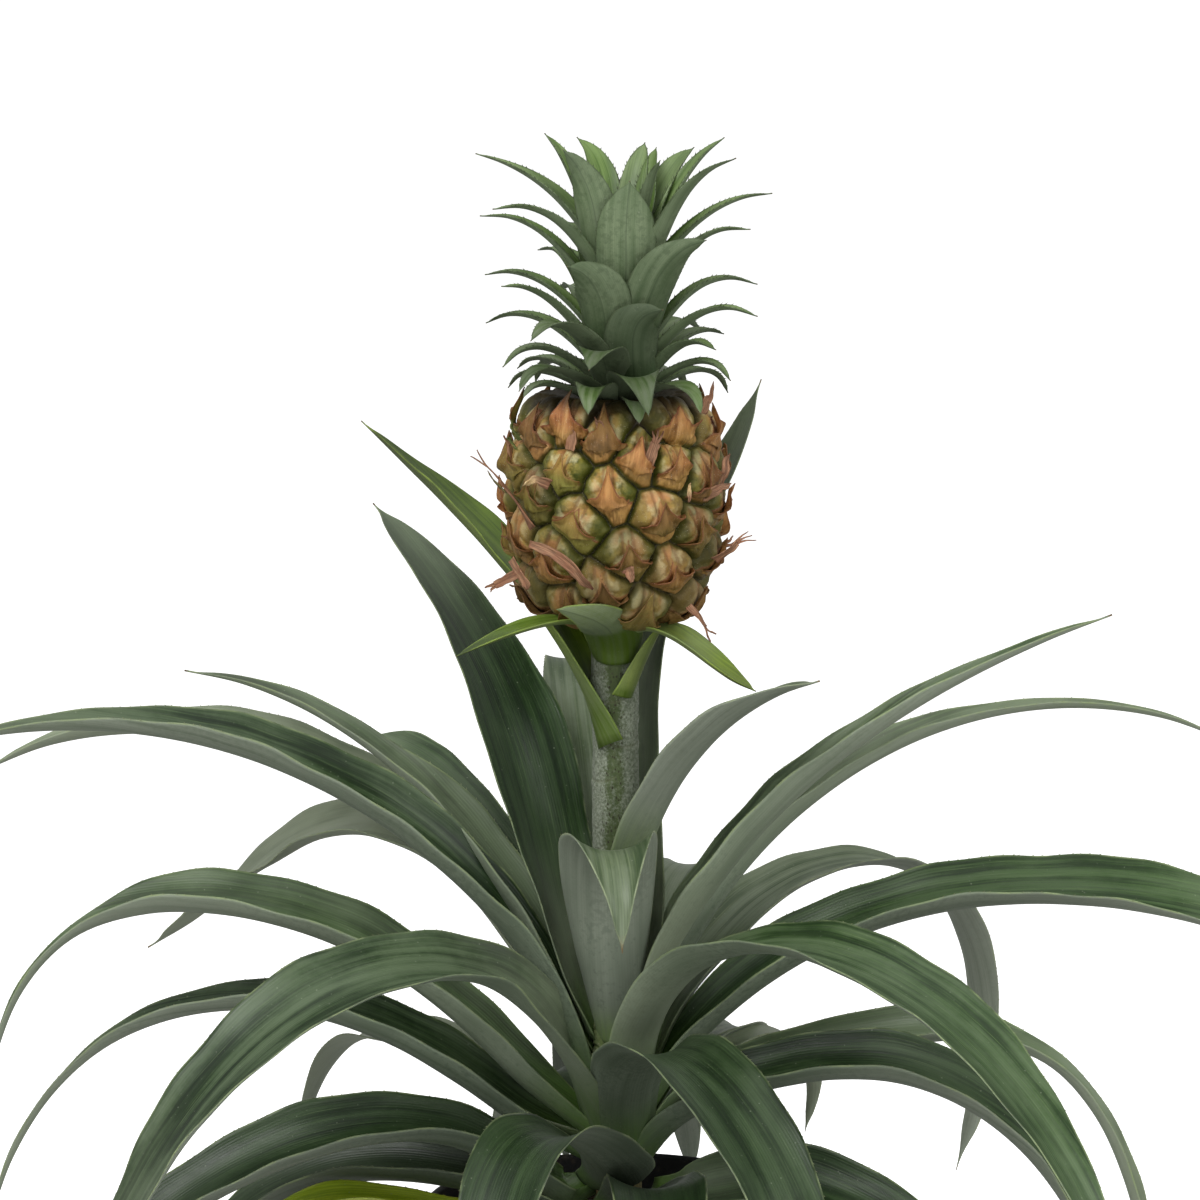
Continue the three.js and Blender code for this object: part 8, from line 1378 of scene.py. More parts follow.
def leaf_material(name, dark, light, bloom, under_dark, under_light, base, margin, tooth, tip, fine=1.0, gloss=0.0,
                  under_stain=(72, 84, 68), far_painted_light=0.6):
    g = Nodes(name)
    across, along, seed = g.parts(g.attr("lc").outputs["Vector"])
    rim, q, side = g.parts(g.attr("la").outputs["Vector"])
    p_bloom, p_painted_shade, p_yellow = g.parts(g.attr("lp").outputs["Vector"])
    p_dry, p_base, p_tooth = g.parts(g.attr("lq").outputs["Vector"])
    where = g.place()

    thread = g.noise(g.vec(g.mul(across, 2.1 * fine), g.mul(along, 0.035 * fine), seed), detail=3.0, rough=0.6)
    band = g.noise(g.vec(g.mul(across, 0.42 * fine), g.mul(along, 0.011 * fine), g.plus(seed, 9.0)), detail=2.0)
    cloud = g.noise(g.vec(g.mul(across, 0.07 * fine), g.mul(along, 0.03 * fine), g.plus(seed, 4.0)), detail=3.0, rough=0.55)
    mealy = g.noise(where, scale=2.6, detail=3.0, rough=0.7)
    dust = g.noise(where, scale=0.5, detail=4.0, rough=0.65)
    rib = g.math("SINE", g.mul(g.plus(across, g.mul(thread, 0.35)), 6.4 * fine))
    rib = g.fit(rib, -1.0, 1.0, 0.0, 1.0, "LINEAR")

    streak = g.plus(g.mul(thread, 0.5), g.mul(band, 0.5))
    tone = g.fit(g.plus(g.mul(streak, 0.72), g.mul(cloud, 0.28)), 0.34, 0.68)

    # upper side: dark green, pale threads, a grey bloom in lengthwise bands
    top = g.mix(tone, dark, light)
    top = g.mix(g.mul(g.fit(thread, 0.58, 0.78), 0.3), top, margin)
    veil = g.mul(p_bloom, g.fit(g.plus(g.mul(band, 0.45), g.plus(g.mul(cloud, 0.45), g.mul(dust, 0.1))), 0.38, 0.64, 0.05, 1.3))
    top = g.mix(veil, top, bloom)
    top = g.mix(g.mul(rib, 0.07), top, (20, 32, 22))
    top = g.mix(g.mul(g.fit(g.plus(g.mul(band, 0.5), g.plus(g.mul(thread, 0.2), g.mul(cloud, 0.3))), 0.5, 0.34), 0.5), top, dark)

    # underside: mealy grey-green with fine lines
    low = g.mix(g.fit(g.plus(g.mul(band, 0.4), g.mul(cloud, 0.6)), 0.3, 0.7), under_dark, under_light)
    low = g.mix(g.mul(g.fit(mealy, 0.45, 0.75), 0.3), low, bloom)
    low = g.mix(g.mul(p_bloom, 0.7), low, bloom)
    low = g.mix(g.mul(g.fit(g.plus(g.mul(dust, 0.6), g.mul(cloud, 0.4)), 0.5, 0.62), 0.4), low, under_stain)
    low = g.mix(g.mul(g.fit(rib, 0.45, 1.0), 0.16), low, under_dark)
    # painted light: the underside grows paler grey towards the tip, and stays darker near the foot as painted shade
    low = g.mix(g.mul(g.fit(q, 0.22, 0.7, 0.0, far_painted_light), g.fit(g.plus(g.mul(band, 0.4), g.plus(g.mul(thread, 0.3), g.mul(dust, 0.3))), 0.36, 0.6, 0.35, 1.0)), low, (168, 175, 158))
    low = g.mix(g.mul(g.fit(thread, 0.3, 0.1), 0.5), low, (52, 62, 50))

    if fine > 1.2:
        low = g.mix(g.mul(g.fit(g.math("ABSOLUTE", g.plus(across, g.mul(g.plus(cloud, -0.5), 1.2))), 0.45, 0.0), 0.4), low, (44, 58, 34))

    colour = g.mix(side, top, low)
    # painted shade and painted light: above 0 the colour goes towards deep green, below 0 towards a pale grey; set leaf
    # by leaf, partly each leaf's own darker or paler tone
    colour = g.mix(g.fit(p_painted_shade, 0.0, 1.0, 0.0, 0.8, "LINEAR"), colour, (18, 32, 12))
    colour = g.mix(g.mul(g.fit(p_painted_shade, 0.0, -1.0, 0.0, 0.8, "LINEAR"), g.fit(cloud, 0.3, 0.6, 0.6, 1.0)), colour, (156, 166, 140))
    colour = g.mix(g.mul(p_yellow, g.fit(g.plus(g.mul(band, 0.6), g.mul(dust, 0.4)), 0.3, 0.65, 0.55, 1.0)), colour, g.mix(band, (96, 112, 38), (150, 158, 66)))
    colour = g.mix(g.mul(p_base, g.fit(band, 0.25, 0.7, 0.55, 1.0)), colour, base)

    # scale dots and small pale marks
    dots = g.cells(where, scale=0.42, random=1.0)
    dots = g.mul(g.fit(dots, 0.17, 0.06), g.fit(dust, 0.5, 0.62))
    colour = g.mix(g.mul(dots, 0.32), colour, (150, 160, 136))

    # pale horny margin, brown teeth tips, withered tip
    colour = g.mix(g.mul(g.fit(rim, 0.7, 0.1), g.fit(g.noise(g.vec(g.mul(along, 0.12), seed, 0.0), detail=2.0), 0.4, 0.66, 0.12, 0.8)), colour, margin)
    colour = g.mix(p_tooth, colour, tooth)
    wither = g.fit(g.plus(p_dry, g.mul(g.plus(dust, -0.5), 0.5)), 0.35, 0.75)
    colour = g.mix(wither, colour, g.mix(thread, tip, (72, 58, 40)))

    roughness = g.blend(side, g.fit(g.plus(g.mul(thread, 0.5), g.mul(dust, 0.5)), 0.3, 0.7, 0.3 - gloss, 0.48 - gloss, "LINEAR"), g.fit(mealy, 0.3, 0.7, 0.55, 0.75, "LINEAR"))
    height = g.plus(g.mul(rib, 0.5), g.plus(g.mul(thread, 0.9), g.mul(mealy, g.blend(side, 0.25, 0.7))))
    normal = g.bump(height, 0.07 / fine, 0.7)
    normal = g.bump(cloud, 0.9, 0.5, normal)
    return g.finish(
        colour, roughness, normal,
        Sheen_Weight=0.04, Sheen_Roughness=0.45, Sheen_Tint=rgb((190, 200, 186)),
        Specular_IOR_Level=0.4,
    )


LEAF_LOOKS = {
    "leaf_dark": leaf_material(
        "leaf_dark_skin", (14, 34, 7), (40, 72, 20), (102, 117, 90), (98, 111, 92), (138, 150, 130),
        (84, 118, 38), (134, 148, 106), (134, 134, 98), (142, 120, 84)),
    "leaf_green": leaf_material(
        "leaf_green_skin", (20, 44, 8), (58, 96, 26), (110, 124, 98), (104, 117, 96), (142, 154, 133),
        (96, 134, 44), (140, 156, 110), (136, 136, 98), (148, 126, 88)),
    "leaf_grey": leaf_material(
        "leaf_grey_skin", (50, 72, 36), (104, 122, 80), (138, 148, 128), (112, 122, 106), (150, 158, 142),
        (112, 138, 70), (150, 162, 126), (136, 134, 102), (160, 138, 98), under_stain=(84, 94, 80)),
    "leaf_yellowing": leaf_material(
        "leaf_yellowing_skin", (132, 158, 18), (196, 214, 54), (168, 182, 84), (120, 138, 48), (160, 172, 80),
        (150, 164, 60), (180, 190, 80), (120, 90, 50), (142, 104, 56), under_stain=(110, 116, 44), far_painted_light=0.1),
    "bract_green": leaf_material(
        "bract_green_skin", (66, 94, 10), (124, 154, 36), (100, 112, 92), (96, 116, 40), (140, 158, 72),
        (72, 96, 8), (134, 156, 64), (150, 150, 96), (120, 112, 60), fine=1.6, under_stain=(90, 108, 44), far_painted_light=0.1),
    # the crown's leaf-foot colour (38, 80, 12) is dark: painted shade where the crown sits on the fruit, partly the
    # deep green of the leaf bases
    "crown_green": leaf_material(
        "crown_green_skin", (70, 98, 34), (124, 152, 80), (134, 147, 116), (72, 92, 56), (118, 134, 100),
        (38, 80, 12), (58, 72, 40), (44, 44, 24), (118, 104, 78), fine=1.6, under_stain=(60, 76, 46), far_painted_light=0.0),
}


# ---------------------------------------------------------------- blades
def blade(body, table, thick, edge, seed, stations, across=15, teeth=3.2, tooth=0.55,
          wave=0.35, slot=0, bloom=0.3, painted_shade=0.0, yellow=0.0, dry=0.0, base=0.0, first=0.1,
          bloom_tip=None, painted_shade_base=0.0, painted_shade_tip=0.0, tip_long=0.06, base_to=(0.02, 0.3)):
    """One leaf: a thin channelled sheet on its table, with hooked margin teeth."""
    rng = np.random.default_rng(seed)
    fine = np.linspace(0, 1, 500)
    track = table_at(table, fine)[:, :3]
    step = np.linalg.norm(np.diff(track, axis=0), axis=1)
    length = np.concatenate([[0], np.cumsum(step)])
    total = length[-1]

    def frame_at(s):
        t = np.interp(s, length, fine)
        e = 0.004
        r = table_at(table, t)
        a = table_at(table, np.clip(t - e, 0, 1))[:, :3]
        b = table_at(table, np.clip(t + e, 0, 1))[:, :3]
        T = unit(b - a)
        B = r[:, 5:8] - (r[:, 5:8] * T).sum(-1, keepdims=True) * T
        B = unit(B)
        N = np.cross(T, B)
        q = s / total
        w = np.maximum(r[:, 3], 0.2) * (1 - smooth(1 - tip_long, 1.0, q) * 0.82)
        phi = np.maximum(r[:, 4], 0.08)
        return r[:, :3], T, B, N, w, phi, q

    def surface(s, u):
        """Points and normals of the middle sheet for each s (n) and u (m)."""
        K, T, B, N, w, phi, q = frame_at(s)
        u = np.asarray(u, float)[None, :]
        ang = phi[:, None] * u
        x = (w / phi)[:, None] * np.sin(ang)
        y = (w / phi)[:, None] * (1 - np.cos(ang))
        # the blade isn't perfectly even: slow waves along its margins
        along = s[:, None] / 34.0
        ripple = np.sin(along * 2 * math.pi / 1.7 + seed) + 0.6 * np.sin(along * 2 * math.pi / 0.74 + 2.1 * seed + 1.2 * np.sign(u))
        lift = wave * ripple * np.abs(u) ** 2.2 * (w[:, None] / 12.0) * smooth(0.05, 0.25, q)[:, None]
        y = y + lift
        P = K[:, None, :] + x[..., None] * B[:, None, :] + y[..., None] * N[:, None, :]
        n = -np.sin(ang)[..., None] * B[:, None, :] + np.cos(ang)[..., None] * N[:, None, :]
        side = np.cos(ang)[..., None] * B[:, None, :] + np.sin(ang)[..., None] * N[:, None, :]
        return P, n, side, T, w, q

    s = total * (1 - (1 - np.linspace(0, 1, stations)) ** 1.12)
    inner = np.linspace(-0.93, 0.93, across - 2)
    u = np.concatenate([[-1.0], inner, [1.0]])
    u = np.sign(u) * np.abs(u) ** 0.94
    P, n, side, T, w, q = surface(s, u)
    slim = 1 - 0.45 * smooth(0.8, 1.0, q)
    h = 0.5 * (edge + (thick - edge) * (1 - np.abs(u) ** 1.6))[None, :] * slim[:, None]
    upper = P + n * h[..., None]
    lower = P - n * h[..., None]
    m = len(u)
    rows = len(s)
    top_quads = grid_quads(rows, m)
    low_quads = grid_quads(rows, m, rows * m, flip=True)
    i = np.arange(rows - 1)
    left = np.stack([i * m, (i + 1) * m, rows * m + (i + 1) * m, rows * m + i * m], -1)
    r = m - 1
    right = np.stack([i * m + r, rows * m + i * m + r, rows * m + (i + 1) * m + r, (i + 1) * m + r], -1)
    j = np.arange(m - 1)
    foot = np.stack([j, rows * m + j, rows * m + j + 1, j + 1], -1)
    end = (rows - 1) * m
    tipq = np.stack([end + j, end + j + 1, rows * m + end + j + 1, rows * m + end + j], -1)

    across_mm = (w[:, None] * u[None, :]).ravel()
    along_mm = np.repeat(s, m)
    rim = (w[:, None] * (1 - np.abs(u))[None, :]).ravel()
    qq = np.repeat(q, m)
    size = rows * m
    seed_mm = np.full(size, (seed % 97) * 3.71)
    bt = bloom if bloom_tip is None else bloom_tip
    v_bloom = bloom + (bt - bloom) * smooth(0.3, 0.9, qq)
    # painted shade and light along each leaf: one value for the whole leaf, with more added at its base and at its tip
    v_painted_shade = painted_shade + painted_shade_base * (1 - smooth(0.05, 0.4, qq)) + painted_shade_tip * smooth(0.55, 0.95, qq)
    v_dry = dry * smooth(0.9, 1.0, qq) + 0.9 * smooth(0.985, 1.0, qq)
    v_base = base * (1 - smooth(base_to[0], base_to[1], qq)) + (1 - smooth(0.0, 0.14, qq)) * 0.8
    v_base = np.clip(v_base, 0, 1)
    v_yellow = np.full(size, yellow)
    lc = np.stack([across_mm, along_mm, seed_mm], -1)
    lp = np.stack([v_bloom, v_painted_shade, v_yellow], -1)
    lq = np.stack([v_dry, v_base, np.zeros(size)], -1)
    for k, pts in enumerate((upper, lower)):
        pass
    la0 = np.stack([rim, qq, np.zeros(size)], -1)
    la1 = np.stack([rim, qq, np.ones(size)], -1)
    body.add(
        np.concatenate([upper.reshape(-1, 3), lower.reshape(-1, 3)]),
        np.concatenate([top_quads, low_quads, left, right, foot, tipq]),
        slot=slot,
        lc=np.concatenate([lc, lc]), la=np.concatenate([la0, la1]),
        lp=np.concatenate([lp, lp]), lq=np.concatenate([lq, lq]),
    )

    if teeth:
        for sign in (-1.0, 1.0):
            number = max(2, int(total * (0.97 - first) / teeth))
            at = total * first + (np.arange(number) + rng.uniform(0.2, 0.8, number)) * teeth
            at = at[at < total * 0.972]
            P, n, sd, T, w, q = surface(at, [sign])
            P, n, sd = P[:, 0], n[:, 0], sd[:, 0] * sign
            big = tooth * rng.uniform(0.65, 1.25, len(at)) * (1 - 0.5 * smooth(0.75, 1.0, q)) * (0.5 + 0.5 * smooth(first, first + 0.12, q))
            big = big[:, None]
            P = P - sd * 0.12
            a = P - T * big * 0.75
            b = P + T * big * 0.5
            thin = edge * 0.42
            c = P + n * thin
            d = P - n * thin
            mid = P + sd * big * 0.55 + T * big * 0.42
            m1 = mid - T * big * 0.2 - sd * big * 0.06
            m2 = mid + T * big * 0.16 - sd * big * 0.12
            m3 = mid + n * thin * 0.45
            m4 = mid - n * thin * 0.45
            top = P + sd * big * 0.95 + T * big * 1.15 + n * big * 0.08
            pts = np.stack([a, c, b, d, m1, m3, m2, m4, top], 1).reshape(-1, 3)
            k = np.arange(len(at))[:, None, None] * 9
            ring = np.array([[0, 1, 5, 4], [1, 2, 6, 5], [2, 3, 7, 6], [3, 0, 4, 7], [0, 3, 2, 1]])
            cap = np.array([[4, 5, 8], [5, 6, 8], [6, 7, 8], [7, 4, 8]])
            if sign > 0:
                ring, cap = ring[:, ::-1], cap[:, ::-1]
            quads = (ring[None] + k).reshape(-1, 4)
            tris = (cap[None] + k).reshape(-1, 3)
            size9 = len(pts)
            level = np.tile([0.15, 0.15, 0.15, 0.15, 0.6, 0.6, 0.6, 0.6, 1.0], len(at))
            q9, s9, w9 = np.repeat(q, 9), np.repeat(at, 9), np.repeat(w, 9)
            body.add(
                pts, quads, tris, slot=slot,
                lc=np.stack([w9 * sign, s9, np.full(size9, (seed % 97) * 3.71)], -1),
                la=np.stack([np.zeros(size9), q9, np.full(size9, 0.3)], -1),
                lp=np.stack([np.full(size9, bloom), np.full(size9, painted_shade), np.full(size9, yellow)], -1),
                lq=np.stack([np.zeros(size9), np.zeros(size9), level], -1),
            )


for name, slot_name, seed, look, table in LEAVES:
    body = Body()
    span = np.linalg.norm(np.diff(np.array(table)[:, :3], axis=0), axis=1).sum()
    blade(body, table, 1.15, 0.42, seed, stations=int(24 + span / 4.2), across=17, **look)
    stand_in(body.build(name + "_skin", LEAF_LOOKS[slot_name]), name)

for name, slot_name, seed, look, table in BRACTS:
    body = Body()
    blade(body, table, 0.85, 0.4, seed, stations=46, across=13, teeth=2.6, tooth=0.35, wave=0.25, **look)
    stand_in(body.build(name + "_skin", LEAF_LOOKS[slot_name]), name)

for name, seed, look, table in CROWN_OUTER:
    body = Body()
    blade(body, table, 0.8, 0.36, seed, stations=40, across=13, teeth=1.9, tooth=0.78, wave=0.2, **look)
    stand_in(body.build(name + "_skin", LEAF_LOOKS["crown_green"]), name)


# ---------------------------------------------------------------- bodies of revolution
def turn(profile, segments, centre=lambda z: (0.0, 0.0), shift=None, start=0.0):
    """Rings of points from a profile of (radius, z); shift moves them outwards."""
    profile = np.asarray(profile, float)
    a = start + np.linspace(0, 2 * math.pi, segments, endpoint=False)
    r = np.repeat(profile[:, 0][:, None], segments, 1)
    z = np.repeat(profile[:, 1][:, None], segments, 1)
    ang = np.repeat(a[None, :], len(profile), 0)
    if shift is not None:
        dr, dz = shift(r, z, ang)
        r, z = r + dr, z + dz
    cx, cy = centre(z)
    return np.stack([cx + r * np.cos(ang), cy + r * np.sin(ang), z], -1), ang


def smooth_profile(points, per=6):
    """A finer profile through the points, straight between them."""
    out = []
    for (r0, z0), (r1, z1) in zip(points[:-1], points[1:]):
        for k in range(per):
            t = k / per
            out.append((r0 + (r1 - r0) * t, z0 + (z1 - z0) * t))
    out.append(points[-1])
    return out


# crown heart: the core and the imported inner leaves
body = Body()
core = [(0.01, 389.3), (6, 389.3), (9.9, 389.6), (10.3, 392), (10.6, 397), (9.9, 403), (9.2, 410), (7, 424), (4.6, 438), (2.2, 445), (0.01, 448.5)]
fine_core = smooth_profile(core, 5)
rings, ang = turn(
    fine_core, 48, lambda z: (-1 + (z - 388) * 4 / 60, 0.0),
    lambda r, z, a: (0.35 * np.sin(a * 9 + z * 0.7) * np.minimum(1, r / 4), 0 * z),
)
n_r, n_s = rings.shape[:2]
flat = rings.reshape(-1, 3)
# the core carries a painted shade value of 0.35 and the crown's dark leaf-foot colour, which darkens it as painted
# shade
body.add(
    flat, grid_quads(n_r, n_s, wrap=True),
    lc=np.stack([ang.ravel() * 9, flat[:, 2] - 388, np.full(len(flat), 11.0)], -1),
    la=np.stack([np.full(len(flat), 5.0), np.full(len(flat), 0.2), np.full(len(flat), 0.0)], -1),
    lp=np.stack([np.full(len(flat), 0.1), np.full(len(flat), 0.35), np.full(len(flat), 0.0)], -1),
    lq=np.stack([np.zeros(len(flat)), np.full(len(flat), 0.6), np.zeros(len(flat))], -1),
)
for seed, look, table in CROWN_INNER:
    blade(body, table, 0.8, 0.36, seed, stations=40, across=13, teeth=1.9, tooth=0.78, wave=0.2, **look)
stand_in(body.build("crown_heart_skin", LEAF_LOOKS["crown_green"]), "crown_heart")


# ---------------------------------------------------------------- pot
def plastic_material():
    g = Nodes("pot_plastic_skin")
    where = g.place()
    x, y, z = g.parts(where)
    cloud = g.noise(where, scale=0.045, detail=4.0, rough=0.6)
    grain = g.noise(where, scale=3.2, detail=3.0, rough=0.7)
    scuff = g.noise(g.vec(g.mul(x, 0.35), g.mul(y, 0.35), g.mul(z, 1.6)), detail=4.0, rough=0.7)
    dust = g.noise(where, scale=0.16, detail=5.0, rough=0.75)
    colour = g.mix(cloud, (24, 25, 26), (36, 37, 38))
    colour = g.mix(g.mul(g.fit(scuff, 0.58, 0.74), 0.35), colour, (88, 88, 86))
    soiled = g.mul(g.fit(dust, 0.5, 0.72), g.fit(z, 80.0, 118.0, 0.12, 0.5))
    colour = g.mix(soiled, colour, (104, 92, 76))
    low = g.mul(g.fit(dust, 0.42, 0.7), g.fit(z, 16.0, 0.0, 0.0, 0.4))
    colour = g.mix(low, colour, (96, 86, 72))
    roughness = g.fit(g.plus(g.mul(grain, 0.4), g.mul(scuff, 0.6)), 0.3, 0.7, 0.38, 0.62, "LINEAR")
    normal = g.bump(grain, 0.035, 0.8)
    normal = g.bump(scuff, 0.03, 0.6, normal)
    return g.finish(colour, roughness, normal, Specular_IOR_Level=0.45)


def rounded(points, radius, per=4):
    """A profile with its corners rounded, where radius gives one."""
    out = [points[0]]
    for k in range(1, len(points) - 1):
        p, r = np.array(points[k], float), radius.get(k, 0)
        if not r:
            out.append(tuple(p))
            continue
        a, b = np.array(points[k - 1], float) - p, np.array(points[k + 1], float) - p
        r = min(r, 0.45 * np.linalg.norm(a), 0.45 * np.linalg.norm(b))
        a, b = p + unit(a) * r, p + unit(b) * r
        for t in np.linspace(0, 1, per + 1):
            out.append(tuple((1 - t) ** 2 * a + 2 * t * (1 - t) * p + t * t * b))
    out.append(points[-1])
    return out


pot_points = [
    (0.01, 0.0), (40.0, 0.0), (POT_FOOT_R, 0.0), (POT_FOOT_R + 1.2, 1.6),
    (POT_BAND_R - 0.2, POT_HEIGHT - POT_BAND_H - 0.8), (POT_RIM_R - 0.5, POT_HEIGHT - POT_BAND_H),
    (POT_RIM_R, POT_HEIGHT - POT_BAND_H + 1.2), (POT_RIM_R, POT_HEIGHT - 4.6), (POT_RIM_R - 0.35, POT_HEIGHT - 4.2),
    (POT_RIM_R - 0.35, POT_HEIGHT - 3.6), (POT_RIM_R, POT_HEIGHT - 3.2), (POT_RIM_R, POT_HEIGHT - 0.7),
    (POT_RIM_R - 0.8, POT_HEIGHT), (POT_RIM_R - POT_WALL + 0.2, POT_HEIGHT), (POT_RIM_R - POT_WALL - 0.5, POT_HEIGHT - 0.8),
    (POT_RIM_R - POT_WALL - 1.2, POT_HEIGHT - POT_BAND_H), (POT_BAND_R - POT_WALL, POT_HEIGHT - POT_BAND_H - 3),
    (POT_FOOT_R - POT_WALL + 1.4, POT_FLOOR), (0.01, POT_FLOOR),
]
pot_profile = rounded(pot_points, {2: 1.2, 3: 0.8, 4: 0.8, 5: 0.5, 6: 0.5, 7: 0.2, 8: 0.15, 9: 0.15, 10: 0.2, 11: 0.5, 12: 0.6, 13: 0.4, 14: 0.5, 15: 1.0, 16: 1.5, 17: 2.0})
long = []
for (r0, z0), (r1, z1) in zip(pot_profile[:-1], pot_profile[1:]):
    cut = max(1, int(math.hypot(r1 - r0, z1 - z0) / 9))
    for k in range(cut):
        long.append((r0 + (r1 - r0) * k / cut, z0 + (z1 - z0) * k / cut))
long.append(pot_profile[-1])


def pot_shift(r, z, a):
    # the thin wall is not perfectly round
    k = smooth(20, 110, z) * (r > 20)
    return k * (0.12 * np.sin(2 * a + 0.6) + 0.07 * np.sin(3 * a + 2.0)), 0 * z


body = Body()
rings, ang = turn(long, 160, shift=pot_shift)
body.add(rings.reshape(-1, 3), grid_quads(len(long), 160, wrap=True))
pot = body.build("pot_shell", plastic_material())
stand_in(pot, "pot")


# ---------------------------------------------------------------- soil
def soil_material():
    g = Nodes("potting_soil_skin")
    where = g.place()
    kind = g.attr("kind").outputs["Fac"]
    clump = g.noise(where, scale=0.16, detail=5.0, rough=0.7)
    crumb = g.noise(where, scale=0.75, detail=4.0, rough=0.75)
    fibre = g.noise(g.vec(*[g.mul(v, k) for v, k in zip(g.parts(where), (1.8, 0.5, 1.0))]), detail=3.0, rough=0.6)
    cell = g.cells(where, scale=0.55, random=1.0)
    colour = g.mix(g.fit(clump, 0.35, 0.65), (34, 25, 18), (66, 50, 36))
    colour = g.mix(g.mul(g.fit(crumb, 0.5, 0.72), 0.7), colour, (92, 70, 48))
    colour = g.mix(g.mul(g.fit(fibre, 0.62, 0.75), 0.6), colour, (118, 90, 60))
    # painted shade: near black in the pits of the bump relief, between the crumbs
    colour = g.mix(g.fit(cell, 0.45, 0.1, 0.0, 0.35), colour, (20, 14, 10))
    bark = g.mix(fibre, (84, 56, 34), (134, 98, 62))
    grit = g.mix(crumb, (176, 170, 156), (214, 210, 198))
    colour = g.mix(g.fit(kind, 0.4, 0.6), colour, bark)
    colour = g.mix(g.fit(kind, 1.4, 1.6), colour, grit)
    height = g.plus(g.mul(crumb, 0.6), g.mul(cell, 0.6))
    normal = g.bump(height, 1.1, 0.9)
    return g.finish(colour, g.fit(crumb, 0.3, 0.7, 0.82, 0.98, "LINEAR"), normal, Specular_IOR_Level=0.25)


def soil_wall(z):
    a, b, top = POT_FOOT_R - POT_WALL + 1.4, POT_BAND_R - POT_WALL, POT_HEIGHT - POT_BAND_H - 3
    low = a + (b - a) * (z - POT_FLOOR) / (top - POT_FLOOR) - 0.45
    high = b + (POT_RIM_R - POT_WALL - 1.2 - b) * (z - top) / 3 - 0.5
    return np.where(z <= top, low, np.minimum(high, POT_RIM_R - POT_WALL - 1.6))


def soil_height(x, y):
    r, a = np.hypot(x, y), np.arctan2(y, x)
    base = np.interp(r, [0, 12.5, 26, 40, 54, 61.5], [104.3, 104.2, 103.3, 102.7, 101.9, 100.6])
    lump = 1.1 * np.sin(0.21 * x + 1.3) * np.cos(0.19 * y + 0.4) + 0.7 * np.sin(0.47 * r * np.sin(a + 0.6)) - 0.02 * r
    p = np.stack([x, y, 0 * x], -1).reshape(-1, 3)
    rough = (fbm(p / 7.0, 5, 4) - 0.5) * 2.6 + (fbm(p / 1.9, 9, 2) - 0.5) * 1.1
    return np.minimum(base + np.where(r < 13, 0, lump) + rough.reshape(x.shape) * smooth(6, 14, r) * 0.8, 106.5)


body = Body()
side_z = np.array([POT_FLOOR + 0.5, 20, 40, 60, 80, 94.5, 98.5])
side_r = soil_wall(side_z)
under = np.linspace(0.01, side_r[0], 6)[:-1]
radii = np.concatenate([np.linspace(61.6, 12, 92), np.linspace(11, 0.01, 8)])
profile = [(r, POT_FLOOR + 0.5) for r in under] + list(zip(side_r, side_z))
seg = 260
rings, ang = turn(profile, seg)
a = np.linspace(0, 2 * math.pi, seg, endpoint=False)
tx, ty = radii[:, None] * np.cos(a), radii[:, None] * np.sin(a)
top = np.stack([tx, ty, soil_height(tx, ty)], -1)
rings = np.concatenate([rings, top])
body.add(rings.reshape(-1, 3), grid_quads(len(rings), seg, wrap=True), kind=np.zeros(rings.size // 3))
rng = np.random.default_rng(31)
# crumbs, bark chips and a little white grit, each pressed into the surface
phi_g = (1 + 5 ** 0.5) / 2
ico = unit(np.array([[-1, phi_g, 0], [1, phi_g, 0], [-1, -phi_g, 0], [1, -phi_g, 0], [0, -1, phi_g], [0, 1, phi_g], [0, -1, -phi_g], [0, 1, -phi_g], [phi_g, 0, -1], [phi_g, 0, 1], [-phi_g, 0, -1], [-phi_g, 0, 1]]))
ico_f = np.array([[0, 11, 5], [0, 5, 1], [0, 1, 7], [0, 7, 10], [0, 10, 11], [1, 5, 9], [5, 11, 4], [11, 10, 2], [10, 7, 6], [7, 1, 8], [3, 9, 4], [3, 4, 2], [3, 2, 6], [3, 6, 8], [3, 8, 9], [4, 9, 5], [2, 4, 11], [6, 2, 10], [8, 6, 7], [9, 8, 1]])
edges, fine_f, pts = {}, [], list(ico)
for f in ico_f:
    mid = []
    for a0, b0 in ((f[0], f[1]), (f[1], f[2]), (f[2], f[0])):
        key = (min(a0, b0), max(a0, b0))
        if key not in edges:
            edges[key] = len(pts)
            pts.append(unit((pts[a0] + pts[b0])[None])[0])
        mid.append(edges[key])
    fine_f += [[f[0], mid[0], mid[2]], [f[1], mid[1], mid[0]], [f[2], mid[2], mid[1]], mid]
ball, ball_f = np.array(pts), np.array(fine_f)
